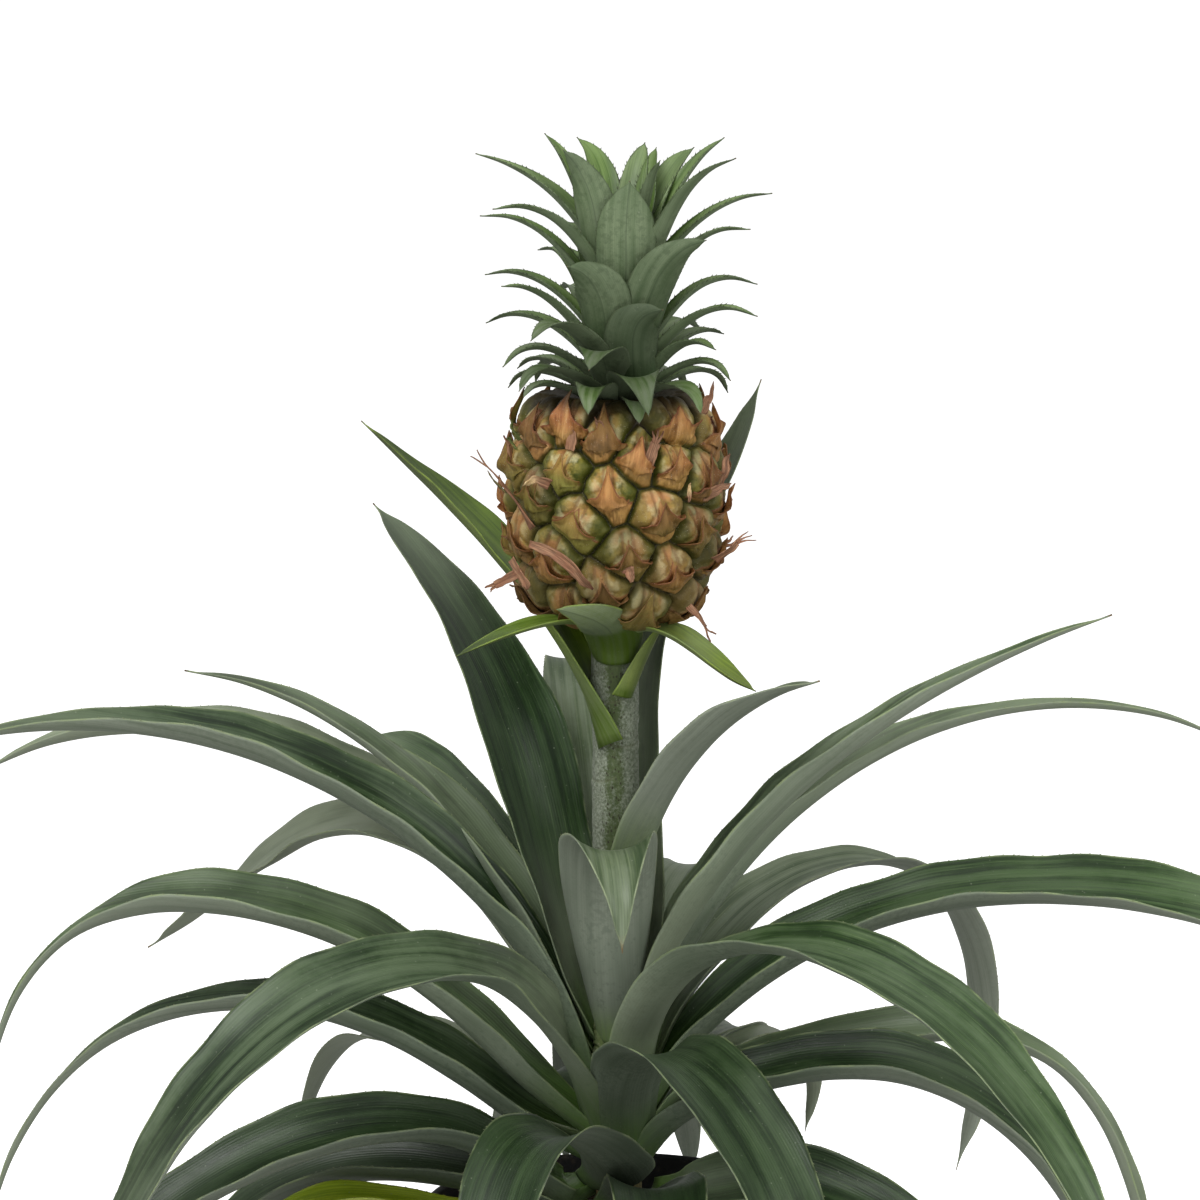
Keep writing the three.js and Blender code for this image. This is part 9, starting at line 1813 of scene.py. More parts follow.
for k in range(520):
    rr = math.sqrt(rng.uniform(0.05, 1)) * 60.0
    aa = rng.uniform(0, 2 * math.pi)
    kind = 0 if k < 330 else 1 if k < 470 else 2
    size = rng.uniform(0.7, 1.9) if kind != 1 else rng.uniform(1.2, 3.2)
    shape = np.array([rng.uniform(0.8, 1.7), rng.uniform(0.5, 1.0), rng.uniform(0.4, 0.8)]) * size
    if kind == 1:
        shape *= (1.3, 0.6, 0.42)
    p = ball * (0.75 + 0.5 * noise3(ball * 1.7 + k * 3.3, k)[:, None]) * shape
    c, s_ = math.cos(aa * 7), math.sin(aa * 7)
    tilt = rng.uniform(-0.5, 0.5)
    p = np.stack([p[:, 0] * math.cos(tilt) - p[:, 2] * math.sin(tilt), p[:, 1], p[:, 0] * math.sin(tilt) + p[:, 2] * math.cos(tilt)], -1)
    p = np.stack([p[:, 0] * c - p[:, 1] * s_, p[:, 0] * s_ + p[:, 1] * c, p[:, 2]], -1)
    if rr + size * 2 > 61.5 or rr < 12:
        continue
    x, y = rr * math.cos(aa), rr * math.sin(aa)
    z = float(soil_height(np.array([x]), np.array([y]))[0]) + 0.25 * shape[2]
    body.add(p + (x, y, z), tris=ball_f, kind=np.full(len(p), float(kind)))
stand_in(body.build("soil_crumbs", soil_material()), "soil")


# ---------------------------------------------------------------- stem and stalk
def stem_material():
    g = Nodes("stem_skin_skin")
    where = g.place()
    x, y, z = g.parts(where)
    long_n = g.noise(g.vec(g.mul(x, 1.4), g.mul(y, 1.4), g.mul(z, 0.12)), detail=3.0, rough=0.6)
    scurf = g.noise(where, scale=1.4, detail=4.0, rough=0.7)
    colour = g.mix(g.fit(z, 105.0, 150.0), (118, 92, 60), (104, 122, 72))
    colour = g.mix(g.mul(g.fit(long_n, 0.4, 0.7), 0.5), colour, (74, 66, 42))
    colour = g.mix(g.mul(g.fit(scurf, 0.5, 0.7), 0.5), colour, (178, 176, 152))
    normal = g.bump(g.plus(long_n, g.mul(scurf, 0.6)), 0.25, 0.8)
    return g.finish(colour, g.fit(scurf, 0.3, 0.7, 0.6, 0.85, "LINEAR"), normal, Specular_IOR_Level=0.4)


def rings_of_scars(z, a, pitch, depth):
    """Slanting leaf scars that climb round the stem."""
    turn_ = (z / pitch + a / (2 * math.pi) * 1.0 + 0.25 * np.sin(3 * a)) % 1.0
    return -depth * np.exp(-(((turn_ - 0.5) / 0.07) ** 2)) + 0.4 * depth * np.exp(-(((turn_ - 0.68) / 0.1) ** 2))


body = Body()
zs = np.linspace(SOIL_Z + 0.4, STEM_TOP - 0.3, 170)
profile = [(0.01, zs[0])] + [(np.interp(z, [104, 116, 175.5, 181.5], [9.0, 8.2, 8.2, 7.7]), z) for z in zs] + [(0.01, zs[-1])]
rings, ang = turn(profile, 72, shift=lambda r, z, a: (np.where(r > 1, rings_of_scars(z, a, 5.5, 0.45), 0), 0 * z))
body.add(rings.reshape(-1, 3), grid_quads(len(profile), 72, wrap=True))
stand_in(body.build("rosette_stem_skin", stem_material()), "rosette_stem")


def stalk_material():
    g = Nodes("stalk_skin_skin")
    where = g.place()
    x, y, z = g.parts(where)
    scar = g.attr("scar").outputs["Fac"]
    fresh = g.attr("fresh").outputs["Fac"]
    thread = g.noise(g.vec(g.mul(x, 1.1), g.mul(y, 1.1), g.mul(z, 0.11)), detail=3.0, rough=0.6)
    scurf = g.noise(where, scale=1.15, detail=5.0, rough=0.72)
    patch = g.noise(g.vec(g.mul(x, 0.22), g.mul(y, 0.22), g.mul(z, 0.07)), detail=3.0, rough=0.6)
    flake = g.cells(g.vec(g.mul(x, 0.8), g.mul(y, 0.8), g.mul(z, 0.55)), scale=1.0, random=1.0)
    green = g.mix(thread, (54, 70, 36), (92, 106, 62))
    meal = g.mix(g.fit(scurf, 0.3, 0.7), (92, 102, 78), (160, 167, 150))
    # painted sheen, partly real meal: the meal lies thicker on the stalk's left and right flanks as seen from the
    # front, where the round stalk turns away
    flank = g.fit(g.math("ABSOLUTE", g.plus(x, 1.2)), 0.8, 6.0)
    cover = g.plus(g.plus(g.mul(patch, 0.36), g.mul(scurf, 0.42)), g.mul(flank, 0.3))
    cover = g.mul(g.fit(cover, 0.36, 0.6), g.fit(fresh, 0.1, 0.8, 0.95, 0.06))
    colour = g.mix(cover, green, meal)
    speck = g.mul(g.fit(flake, 0.36, 0.16), g.plus(g.fit(scurf, 0.42, 0.56), g.mul(g.fit(flank, 0.6, 0.0), 0.5)))
    colour = g.mix(g.mul(speck, g.fit(fresh, 0.1, 0.8, 0.8, 0.1)), colour, (56, 52, 36))
    colour = g.mix(g.mul(g.fit(scar, 0.2, 0.9), 0.4), colour, (88, 92, 60))
    colour = g.mix(g.mul(g.fit(fresh, 0.3, 1.0), 0.75), colour, g.mix(thread, (72, 88, 18), (116, 132, 40)))
    height = g.plus(g.mul(scurf, 0.8), g.plus(g.mul(thread, 0.5), g.mul(flake, -0.4)))
    normal = g.bump(height, 0.28, 0.9)
    return g.finish(colour, g.fit(scurf, 0.3, 0.7, 0.55, 0.85, "LINEAR"), normal, Specular_IOR_Level=0.4, Sheen_Weight=0.1)


def stalk_at(z, a):
    """How far the stalk stands out, and how much of a bract scar is there."""
    out, mark = 0 * z, 0 * z
    for z0, a0, wide in ((209, -2.3, 1.2), (227, -0.6, 1.3), (246, 1.6, 1.2), (262, -2.6, 1.1), (274, -1.1, 1.2), (283, 0.9, 1.2), (289, -1.9, 1.0), (297, 2.9, 1.2), (218, 1.2, 1.2), (238, 3.0, 1.2), (198, 0.4, 1.2)):
        d = (a - a0 + math.pi) % (2 * math.pi) - math.pi
        reach = np.clip(1 - (d / wide) ** 2, 0, 1)
        rim = z0 + 3.4 * (1 - np.sqrt(reach + 1e-6))
        near = np.exp(-(((z - rim) / 0.55) ** 2)) * smooth(0.0, 0.12, reach)
        below = np.exp(-(((z - rim + 1.7) / 1.5) ** 2)) * smooth(0.0, 0.12, reach)
        out = out - 0.2 * near + 0.3 * below
        mark = np.maximum(mark, near)
    return out, mark


body = Body()
zs = np.linspace(STEM_TOP + 0.5, STALK_TOP - 0.2, 330)
radius = np.interp(zs, [181, 203.5, 225.5, 247.5, 269.5, 293.5, 314], [8.1, 7.8, 7.55, 7.9, 7.55, 7.8, 7.6])
profile = [(0.01, zs[0])] + list(zip(radius, zs)) + [(0.01, zs[-1])]


def stalk_shift(r, z, a):
    p = np.stack([np.cos(a) * 7, np.sin(a) * 7, z * 0.16], -1).reshape(-1, 3)
    q = np.stack([np.cos(a) * 7, np.sin(a) * 7, z], -1).reshape(-1, 3)
    grooves = (fbm(p / 1.7, 3, 3) - 0.5).reshape(r.shape) * 0.5
    rough = (fbm(q / 1.3, 13, 3) - 0.5).reshape(r.shape) * 0.34
    out, _ = stalk_at(z, a)
    return np.where(r > 1, grooves + rough + out, 0), 0 * z


rings, ang = turn(profile, 120, lambda z: (FRUIT_X * (z - STEM_TOP) / (FRUIT_BASE_Z - STEM_TOP), 0.0), stalk_shift)
flat = rings.reshape(-1, 3)
_, mark = stalk_at(flat[:, 2], ang.ravel())
body.add(flat, grid_quads(len(profile), 120, wrap=True), scar=mark, fresh=smooth(301, 307, flat[:, 2]) * 0.9)
stand_in(body.build("fruit_stalk_skin", stalk_material()), "fruit_stalk")


# ---------------------------------------------------------------- fruit
def curve_through(table):
    table = np.array(table, float)

    def at(h):
        """Smoothed straight lines between the table's points."""
        h = np.asarray(h, float)
        total = 0
        for d, k in ((-2.4, 1), (-1.2, 2), (0, 3), (1.2, 2), (2.4, 1)):
            total = total + k * np.interp(h + d, table[:, 0], table[:, 1])
        return total / 9

    return at


skin_r, skin_z = curve_through(FRUIT_R), curve_through(FRUIT_Z)


def skin_point(a, h, out=0.0):
    """A point of the fruit at an angle and a height along the skin, and its outward, upward and sideways directions."""
    r, z = skin_r(h), skin_z(h)
    dr, dz = skin_r(h + 0.7) - skin_r(h - 0.7), skin_z(h + 0.7) - skin_z(h - 0.7)
    length = np.hypot(dr, dz)
    dr, dz = dr / length, dz / length
    c, s = np.cos(a), np.sin(a)
    n = np.stack([dz * c, dz * s, -dr], -1)
    up = np.stack([dr * c, dr * s, dz], -1)
    side = np.stack([-s, c, 0 * s], -1)
    p = np.stack([FRUIT_X + r * c, r * s, z], -1) + n * np.asarray(out, float)[..., None]
    return p, n, up, side


eye_a = np.radians([e[0] for e in EYES])
eye_h = np.array([e[1] for e in EYES], float)
eye_p, eye_n, eye_up, eye_side = skin_point(eye_a, eye_h)
spacing = np.sort(np.linalg.norm(eye_p[:, None] - eye_p[None], axis=-1), axis=1)[:, 1:6].mean(1)
eye_size = np.clip(spacing / 16.0, 0.75, 1.25)
rng = np.random.default_rng(77)
eye_lean = rng.uniform(-0.25, 0.25, len(EYES))
eye_tip = rng.uniform(5.0, 8.5, len(EYES))
eye_gold = np.clip(rng.normal(0.45, 0.25, len(EYES)), 0, 1)
eye_green = np.clip(rng.normal(0.35, 0.3, len(EYES)), 0, 1)
eye_rust = np.clip(rng.normal(0.4, 0.3, len(EYES)), 0, 1)
eye_big = rng.uniform(0.85, 1.15, len(EYES))
for k, values in EYE_NOTES.items():
    for key, v in values.items():
        {"lean": eye_lean, "tip": eye_tip, "gold": eye_gold, "green": eye_green, "big": eye_big, "rust": eye_rust}[key][k] = v


def nearest_eyes(p):
    d = np.full((len(p), 3), 1e9)
    which = np.zeros((len(p), 3), int)
    for k in range(len(EYES)):
        e = np.linalg.norm((p - eye_p[k]) * 1.0, axis=1)
        for j in range(3):
            closer = e < d[:, j]
            d[closer, j + 1:] = d[closer, j:-1] if j < 2 else d[closer, j + 1:]
            which[closer, j + 1:] = which[closer, j:-1] if j < 2 else which[closer, j + 1:]
            d[closer, j] = e[closer]
            which[closer, j] = k
            e = np.where(closer, 1e9, e)
    return d, which


def fruit_relief(p, n):
    """Height above the smooth skin, and the values that the material reads."""
    warp = np.stack([fbm(p / 6.0 + 3.1 * k, 40 + k, 2) - 0.5 for k in range(3)], -1)
    d, which = nearest_eyes(p + warp * 2.2)
    k = which[:, 0]
    rel = p + warp * 1.0 - eye_p[k]
    x0 = (rel * eye_side[k]).sum(-1)
    y0 = (rel * eye_up[k]).sum(-1)
    c, s = np.cos(eye_lean[k]), np.sin(eye_lean[k])
    x, y = x0 * c + y0 * s, -x0 * s + y0 * c
    gap = (d[:, 1] - d[:, 0])
    rho = np.clip(1 - gap / (d[:, 1] + d[:, 0] + 1e-6) * 1.0, 0, 1)
    inside = 1 - rho
    size = eye_size[k]
    x, y = x / size, y / size
    # a broad dome, steep at its seams
    seam = smooth(0.0, 2.4, gap)
    dome = 2.9 * (1 - np.exp(-gap / 5.5)) * eye_big[k]
    height = -2.5 + 1.7 * seam + dome
    # the two upper lobes, and the ridge between them
    lobes = 0
    for sign in (-1, 1):
        reach = ((x - sign * 4.4) / 3.7) ** 2 + ((y - 2.2) / 5.2) ** 2
        lobes = lobes + np.clip(1 - reach, 0, 1) ** 0.6
    height += 1.25 * lobes * size
    furrow = np.exp(-(((np.abs(x) - 1.5) / 0.7) ** 2)) * smooth(-1.0, 2.0, y) * (1 - smooth(7.0, 10.0, y))
    height -= 0.8 * furrow
    # the bract flap: wide at its foot, drawn up between the lobes to a narrow tip
    tip = eye_tip[k]
    skew = 0.35 * np.sin(k * 2.3)
    foot = -1.6 - 0.14 * np.abs(x) + skew * x * 0.35 + 0.45 * np.sin(x * 0.8 + k)
    edge = foot + (tip - foot) * np.exp(-np.abs(x - skew) / 1.75)
    rise = edge - y
    flap = smooth(-0.3, 0.45, rise) * smooth(0.0, 1.4, gap)
    lip = np.exp(-(((rise - 0.3) / 0.6) ** 2)) * smooth(0.2, 1.8, gap)
    wide = smooth(1.0, 3.5, np.abs(x))
    height += flap * 0.3
    # shadow side under the lip
    height -= 0.5 * np.exp(-(((rise + 0.9) / 0.8) ** 2)) * smooth(0.4, 2.4, gap) * wide
    fine = fbm(p / 1.5, 60, 3) - 0.5
    crease = np.abs(fbm(np.stack([x * 0.5, y * 0.14, k * 3.7 + 0 * x], -1), 71, 3) - 0.5)
    height += 0.42 * fine - 1.0 * crease * flap + 0.9 * (fbm(p / 4.2, 90, 2) - 0.5)
    return height, x, y, gap, flap, lip, k, furrow


def fruit_material():
    g = Nodes("fruit_skin_skin")
    where = g.place()
    x, y, flap = g.parts(g.attr("fa").outputs["Vector"])
    gap, lip, furrow = g.parts(g.attr("fb").outputs["Vector"])
    gold, green, seed = g.parts(g.attr("fc").outputs["Vector"])
    rust, dull_and_shade, painted_top_shade = g.parts(g.attr("fd").outputs["Vector"])
    fine = g.noise(where, scale=1.5, detail=4.0, rough=0.7)
    mid = g.noise(where, scale=0.28, detail=4.0, rough=0.6)
    wide = g.noise(where, scale=0.09, detail=3.0, rough=0.55)
    fibre = g.noise(g.vec(g.mul(x, 0.9), g.mul(y, 0.14), g.plus(seed, 2.0)), detail=3.0, rough=0.6)
    grit = g.cells(where, scale=1.5, random=1.0)
    side = g.math("ABSOLUTE", x)

    # the two lobes: olive green, golden or pinkish towards the middle, with pale patches on their bulges that are
    # partly meal and partly painted highlight
    lobe = g.mix(g.fit(mid, 0.36, 0.64), (66, 72, 16), (140, 134, 54))
    warm = g.mul(g.fit(g.plus(g.mul(mid, 0.5), g.mul(wide, 0.5)), 0.34, 0.58), g.fit(gold, 0.0, 1.0, 0.3, 1.0, "LINEAR"))
    lobe = g.mix(g.mul(warm, g.fit(side, 6.0, 1.0, 0.15, 1.0)), lobe, (206, 158, 92))
    cream_and_highlight = g.noise(g.vec(g.mul(x, 0.3), g.mul(y, 0.24), g.plus(seed, 7.0)), detail=2.5, rough=0.5)
    meal = g.mul(g.fit(fine, 0.34, 0.56, 0.55, 1.0), g.mul(g.fit(cream_and_highlight, 0.44, 0.6), g.fit(side, 6.5, 4.0)))
    lobe = g.mix(g.mul(meal, 0.68), lobe, (208, 200, 150))
    blush = g.mul(g.fit(g.noise(g.vec(g.mul(x, 0.2), g.mul(y, 0.2), seed), detail=2.0), 0.48, 0.62), g.fit(side, 5.5, 1.5))
    lobe = g.mix(g.mul(blush, 0.65), lobe, (196, 132, 84))
    lobe = g.mix(g.mul(g.fit(side, 3.6, 7.6), 0.75), lobe, (70, 80, 20))
    lobe = g.mix(g.mul(g.fit(y, 5.0, 9.0), 0.5), lobe, (88, 92, 30))

    # the bract: tan, fibrous, rusty in places, greener at its foot
    bract = g.mix(g.fit(g.plus(g.mul(fibre, 0.5), g.mul(mid, 0.5)), 0.35, 0.65), (120, 78, 38), (200, 146, 86))
    reddish = g.mul(g.fit(g.plus(g.mul(wide, 0.45), g.mul(mid, 0.55)), 0.4, 0.6), g.fit(rust, 0.0, 1.0, 0.05, 0.9, "LINEAR"))
    bract = g.mix(g.mul(reddish, 0.75), bract, (150, 72, 46))
    foot = g.mul(g.fit(y, 1.0, -6.5), g.fit(green, 0.0, 1.0, 0.3, 1.0, "LINEAR"))
    bract = g.mix(g.mul(foot, 0.9), bract, g.mix(g.fit(mid, 0.35, 0.65), (84, 82, 20), (142, 134, 54)))
    bract = g.mix(g.mul(g.fit(fibre, 0.54, 0.76), 0.5), bract, (216, 174, 116))
    # painted highlight: a pale stripe along the bract's middle ridge, strongest towards its tip
    bract = g.mix(g.mul(g.fit(side, 1.4, 0.2), g.mul(g.fit(y, -4.0, 1.0), 0.45)), bract, (210, 160, 98))

    olive = g.mul(g.fit(green, 0.42, 0.85), g.fit(g.plus(g.mul(mid, 0.6), g.mul(fibre, 0.4)), 0.34, 0.56, 0.35, 1.0))
    bract = g.mix(g.mul(olive, 0.85), bract, g.mix(fibre, (86, 92, 26), (158, 156, 78)))
    bright = g.mul(g.fit(gold, 0.5, 0.95), g.fit(y, -3.5, 2.5))
    bract = g.mix(g.mul(bright, 0.6), bract, (214, 164, 92))

    colour = g.mix(flap, lobe, bract)
    # every eye has its own depth of colour
    own = g.noise(g.vec(g.mul(seed, 0.61), g.mul(seed, 0.27), 3.0), detail=0.0)
    colour = g.mix(g.mul(g.fit(own, 0.52, 0.68), 0.22), colour, (200, 140, 92))
    colour = g.mix(g.mul(g.fit(own, 0.5, 0.34), 0.5), colour, (62, 54, 22))
    line = g.mul(g.fit(g.plus(lip, g.mul(g.plus(fine, -0.5), 0.6)), 0.4, 0.9), g.fit(rust, 0.0, 1.0, 0.5, 0.95, "LINEAR"))
    colour = g.mix(line, colour, g.mix(mid, (84, 44, 24), (142, 82, 52)))
    colour = g.mix(g.mul(g.fit(furrow, 0.35, 0.95), 0.5), colour, (104, 66, 34))
    # seams: olive, near black where they are deepest: painted shade
    seam = g.fit(g.plus(gap, g.mul(g.plus(mid, -0.5), 1.2)), 2.6, 0.9)
    colour = g.mix(g.mul(seam, 0.85), colour, g.mix(wide, (38, 48, 4), (78, 80, 14)))
    seam_shade = g.fit(gap, 0.9, 0.2)
    colour = g.mix(g.mul(seam_shade, 0.85), colour, (22, 22, 5))
    spots = g.mul(g.fit(grit, 0.22, 0.1), g.fit(mid, 0.55, 0.68))
    colour = g.mix(g.mul(spots, 0.6), colour, (62, 42, 22))
    # painted highlight: small pale glints scattered over the skin
    painted_glints = g.mul(g.fit(grit, 0.2, 0.08), g.fit(wide, 0.46, 0.6))
    colour = g.mix(g.mul(painted_glints, 0.6), colour, (222, 214, 184))
    # painted shade: the lower eyes, and the eyes turned more than 45 degrees from the front, go darker and duller
    # brown-olive; partly the eyes' own duller colour
    dull_and_shade_mix = g.mul(dull_and_shade, g.fit(g.plus(g.mul(mid, 0.6), g.mul(fine, 0.4)), 0.3, 0.6, 0.5, 1.0))
    colour = g.mix(g.mul(dull_and_shade_mix, 0.7), colour, g.mix(fibre, (58, 50, 24), (112, 94, 54)))
    # painted shade: the top of the fruit round the crown's foot goes near black
    colour = g.mix(g.mul(painted_top_shade, 0.92), colour, g.mix(mid, (24, 20, 8), (56, 44, 22)))

    roughness = g.fit(g.plus(g.mul(fine, 0.6), g.mul(mid, 0.4)), 0.3, 0.7, 0.38, 0.66, "LINEAR")
    height = g.plus(g.mul(fine, 0.7), g.plus(g.mul(fibre, g.mul(flap, 0.8)), g.mul(grit, -0.25)))
    normal = g.bump(height, 0.3, 0.8)
    return g.finish(colour, roughness, normal, Specular_IOR_Level=0.3)


body = Body()
hs = np.concatenate([np.arange(-4, 84.01, 0.5)])
seg = 400
a = np.linspace(0, 2 * math.pi, seg, endpoint=False)
H, A = np.meshgrid(hs, a, indexing="ij")
p, n, up, side = skin_point(A.ravel(), H.ravel())
height, ex, ey, gap, flap, lip, who, furrow = fruit_relief(p, n)
fade = smooth(-3.6, 1.5, H.ravel()) * (1 - smooth(79, 84, H.ravel()))
height = height * fade
p = p + n * height[:, None]
p[:, 2] = np.maximum(p[:, 2], FRUIT_BASE_Z + 0.15)
rows = len(hs)
fa = np.stack([ex, ey, flap * fade], -1)
fb = np.stack([gap, lip * fade, furrow * fade], -1)
fc = np.stack([eye_gold[who], eye_green[who], who * 5.3], -1)
# painted shade, partly the eyes' own duller colour: more on the lower eyes and on eyes turned away from the front
dull_and_shade = (1 - smooth(6, 36, eye_h[who])) * 0.8 + 0.25 * (np.abs((np.degrees(eye_a[who]) + 90 + 180) % 360 - 180) > 45)
# painted shade near the fruit's top, from 66 mm up the skin, reaching lower in the seams
painted_top_shade = np.clip(smooth(66.0, 74.0, H.ravel() + 1.2 * (2.0 - np.minimum(gap, 4.0))), 0, 1)
fd = np.stack([eye_rust[who], np.clip(dull_and_shade, 0, 1), painted_top_shade], -1)
quads = grid_quads(rows, seg, wrap=True)
hub = []
extra_p, extra_v = [], []
base_count = len(p)
# closed underneath and in the hollow top
low = np.array([[FRUIT_X, 0, FRUIT_BASE_Z + 0.2]])
ring_mid = np.stack([FRUIT_X + 11 * np.cos(a), 11 * np.sin(a), np.full(seg, FRUIT_TOP_Z + 0.35)], -1)
high = np.array([[FRUIT_X, 0, FRUIT_TOP_Z]])
allp = np.vstack([p, ring_mid, low, high])
m0 = base_count
top_row = (rows - 1) * seg
j = np.arange(seg)
j2 = (j + 1) % seg
bridge = np.stack([top_row + j, top_row + j2, m0 + j2, m0 + j], -1)
tris = np.concatenate([
    np.stack([j2, j, np.full(seg, m0 + seg)], -1),
    np.stack([m0 + j, m0 + j2, np.full(seg, m0 + seg + 1)], -1),
])
pad = seg + 2
body.add(
    allp, np.concatenate([quads, bridge]), tris,
    fa=np.vstack([fa, np.zeros((pad, 3))]),
    fb=np.vstack([fb, np.tile([0.2, 0, 0], (pad, 1))]),
    fc=np.vstack([fc, np.tile([0.3, 0.5, 1.0], (pad, 1))]),
    fd=np.vstack([fd, np.tile([0.3, 0.9, 1.0], (pad, 1))]),
    paper=np.zeros(len(allp)),
)


def bract_sheet(body, k):
    """The dry bract of one eye: a pocket-like sheet over its lower half, its upper edge free and curled outwards."""
    size = eye_size[k]
    rows, cols = 24, 31
    u = np.sin(np.linspace(-1, 1, cols) * math.pi / 2 * 0.92) / math.sin(math.pi / 2 * 0.92)
    v = np.linspace(0, 1, rows)
    U, V = np.meshgrid(u, v)
    r1 = noise3(np.stack([U * 2.2, V * 1.5, 0 * U + k * 4.1], -1).reshape(-1, 3), 31).reshape(U.shape) - 0.5
    r2 = noise3(np.stack([U * 4.5, 0 * U, 0 * U + k * 7.3], -1).reshape(-1, 3), 37).reshape(U.shape) - 0.5
    x = U * (1.5 + 5.3 * smooth(0.0, 0.6, V)) * (1 + 0.16 * r1)
    skew = 0.9 * np.sin(k * 2.3)
    low = -7.4 + 2.8 * U ** 2 + 0.9 * r2
    foot = -1.2 - 0.12 * np.abs(x) + 0.8 * np.sin(x * 0.5 + k * 1.7) * 0.6 + 1.9 * r2
    edge = foot + (eye_tip[k] - foot) * np.exp(-np.abs(x - skew) / 1.6)
    y = low + V * (edge - low)
    lift = -0.7 + 1.35 * smooth(0.0, 0.3, V) + 1.35 * smooth(0.5, 1.0, V) ** 1.6 * (0.45 + 0.55 * smooth(0.8, 2.5, np.abs(x)))
    lift += 0.75 * np.exp(-((x - skew) / 1.1) ** 2) * smooth(0.15, 0.8, V)
    lift += 1.3 * smooth(0.86, 1.0, V) * np.exp(-((x - skew) / 1.6) ** 2)
    lift -= 1.5 * smooth(0.82, 1.0, np.abs(U)) * (1 - 0.55 * smooth(0.7, 1.0, V))
    lift += 1.7 * r1 * smooth(0.3, 0.9, V)
    # small lobes at the upper edge roll outwards
    lift += 0.9 * np.maximum(r2 * 2.2, 0) * smooth(0.8, 1.0, V)
    lift *= 1 - 0.6 * (1 - smooth(4.0, 12.0, eye_h[k]))
    xs, ys = x * size, y * size
    c, s = np.cos(eye_lean[k]), np.sin(eye_lean[k])
    x0, y0 = xs * c - ys * s, xs * s + ys * c
    h = np.clip(eye_h[k] + y0, -3.0, 79.0)
    ang = eye_a[k] + x0 / np.maximum(skin_r(h), 9.0)
    p0, n0, _, _ = skin_point(ang.ravel(), h.ravel())
    under, _, _, gap0, _, _, _, _ = fruit_relief(p0, n0)
    under = under.reshape(U.shape)
    for _ in range(2):
        wide = np.pad(under, 1, mode="edge")
        under = (wide[:-2, 1:-1] + wide[2:, 1:-1] + wide[1:-1, :-2] + wide[1:-1, 2:] + 2 * under) / 6
    out = under + lift * size
    n0 = n0.reshape(U.shape + (3,))
    P = p0.reshape(U.shape + (3,)) + n0 * out[..., None]
    across = np.gradient(P, axis=1)
    along = np.gradient(P, axis=0)
    nn = unit(np.cross(across, along))
    nn = np.where((nn * n0).sum(-1, keepdims=True) < 0, -nn, nn)
    th = 0.17
    up_, lo_ = P + nn * th, P - nn * th
    up_[..., 2] = np.maximum(up_[..., 2], FRUIT_BASE_Z + 0.15)
    lo_[..., 2] = np.maximum(lo_[..., 2], FRUIT_BASE_Z + 0.15)
    R, C = U.shape
    i, j = np.arange(R - 1), np.arange(C - 1)
    left = np.stack([i * C, (i + 1) * C, R * C + (i + 1) * C, R * C + i * C], -1)
    right = np.stack([i * C + C - 1, R * C + i * C + C - 1, R * C + (i + 1) * C + C - 1, (i + 1) * C + C - 1], -1)
    bottom = np.stack([j, R * C + j, R * C + j + 1, j + 1], -1)
    e = (R - 1) * C
    upper = np.stack([e + j, e + j + 1, R * C + e + j + 1, R * C + e + j], -1)
    rim = np.exp(-(((edge - y) / 0.55) ** 2)) * smooth(0.5, 0.9, V) + 0.6 * smooth(0.95, 1.0, V)
    # the lower and side-facing eyes are dulled and darkened: painted shade, partly their own duller colour
    dull_and_shade0 = (1 - smooth(6, 36, eye_h[k])) * 0.8 + 0.25 * (abs((math.degrees(eye_a[k]) + 90 + 180) % 360 - 180) > 45)
    one = np.ones(R * C)
    body.add(
        np.concatenate([up_.reshape(-1, 3), lo_.reshape(-1, 3)]),
        np.concatenate([grid_quads(R, C), grid_quads(R, C, R * C, flip=True), left, right, bottom, upper]),
        fa=np.tile(np.stack([x.ravel(), y.ravel(), one], -1), (2, 1)),
        fb=np.tile(np.stack([2.4 + 4 * smooth(0, 0.2, 1 - np.abs(U)).ravel(), np.clip(rim, 0, 1).ravel(), 0 * one], -1), (2, 1)),
        fc=np.tile(np.stack([eye_gold[k] * one, eye_green[k] * one, (k * 5.3 + 1.7) * one], -1), (2, 1)),
        # the last value is painted shade near the fruit's top, from 70 mm up
        fd=np.tile(np.stack([eye_rust[k] * one, min(dull_and_shade0, 1.0) * one, smooth(70.0, 77.0, h).ravel()], -1), (2, 1)),
        paper=np.zeros(2 * R * C),
    )


fruit_look = fruit_material()
stand_in(body.build("fruit_body", fruit_look), "fruit")

# the dry bracts and their papery tips are a piece of their own
body = Body()
for k in range(len(EYES)):
    if eye_h[k] < 74:
        bract_sheet(body, k)



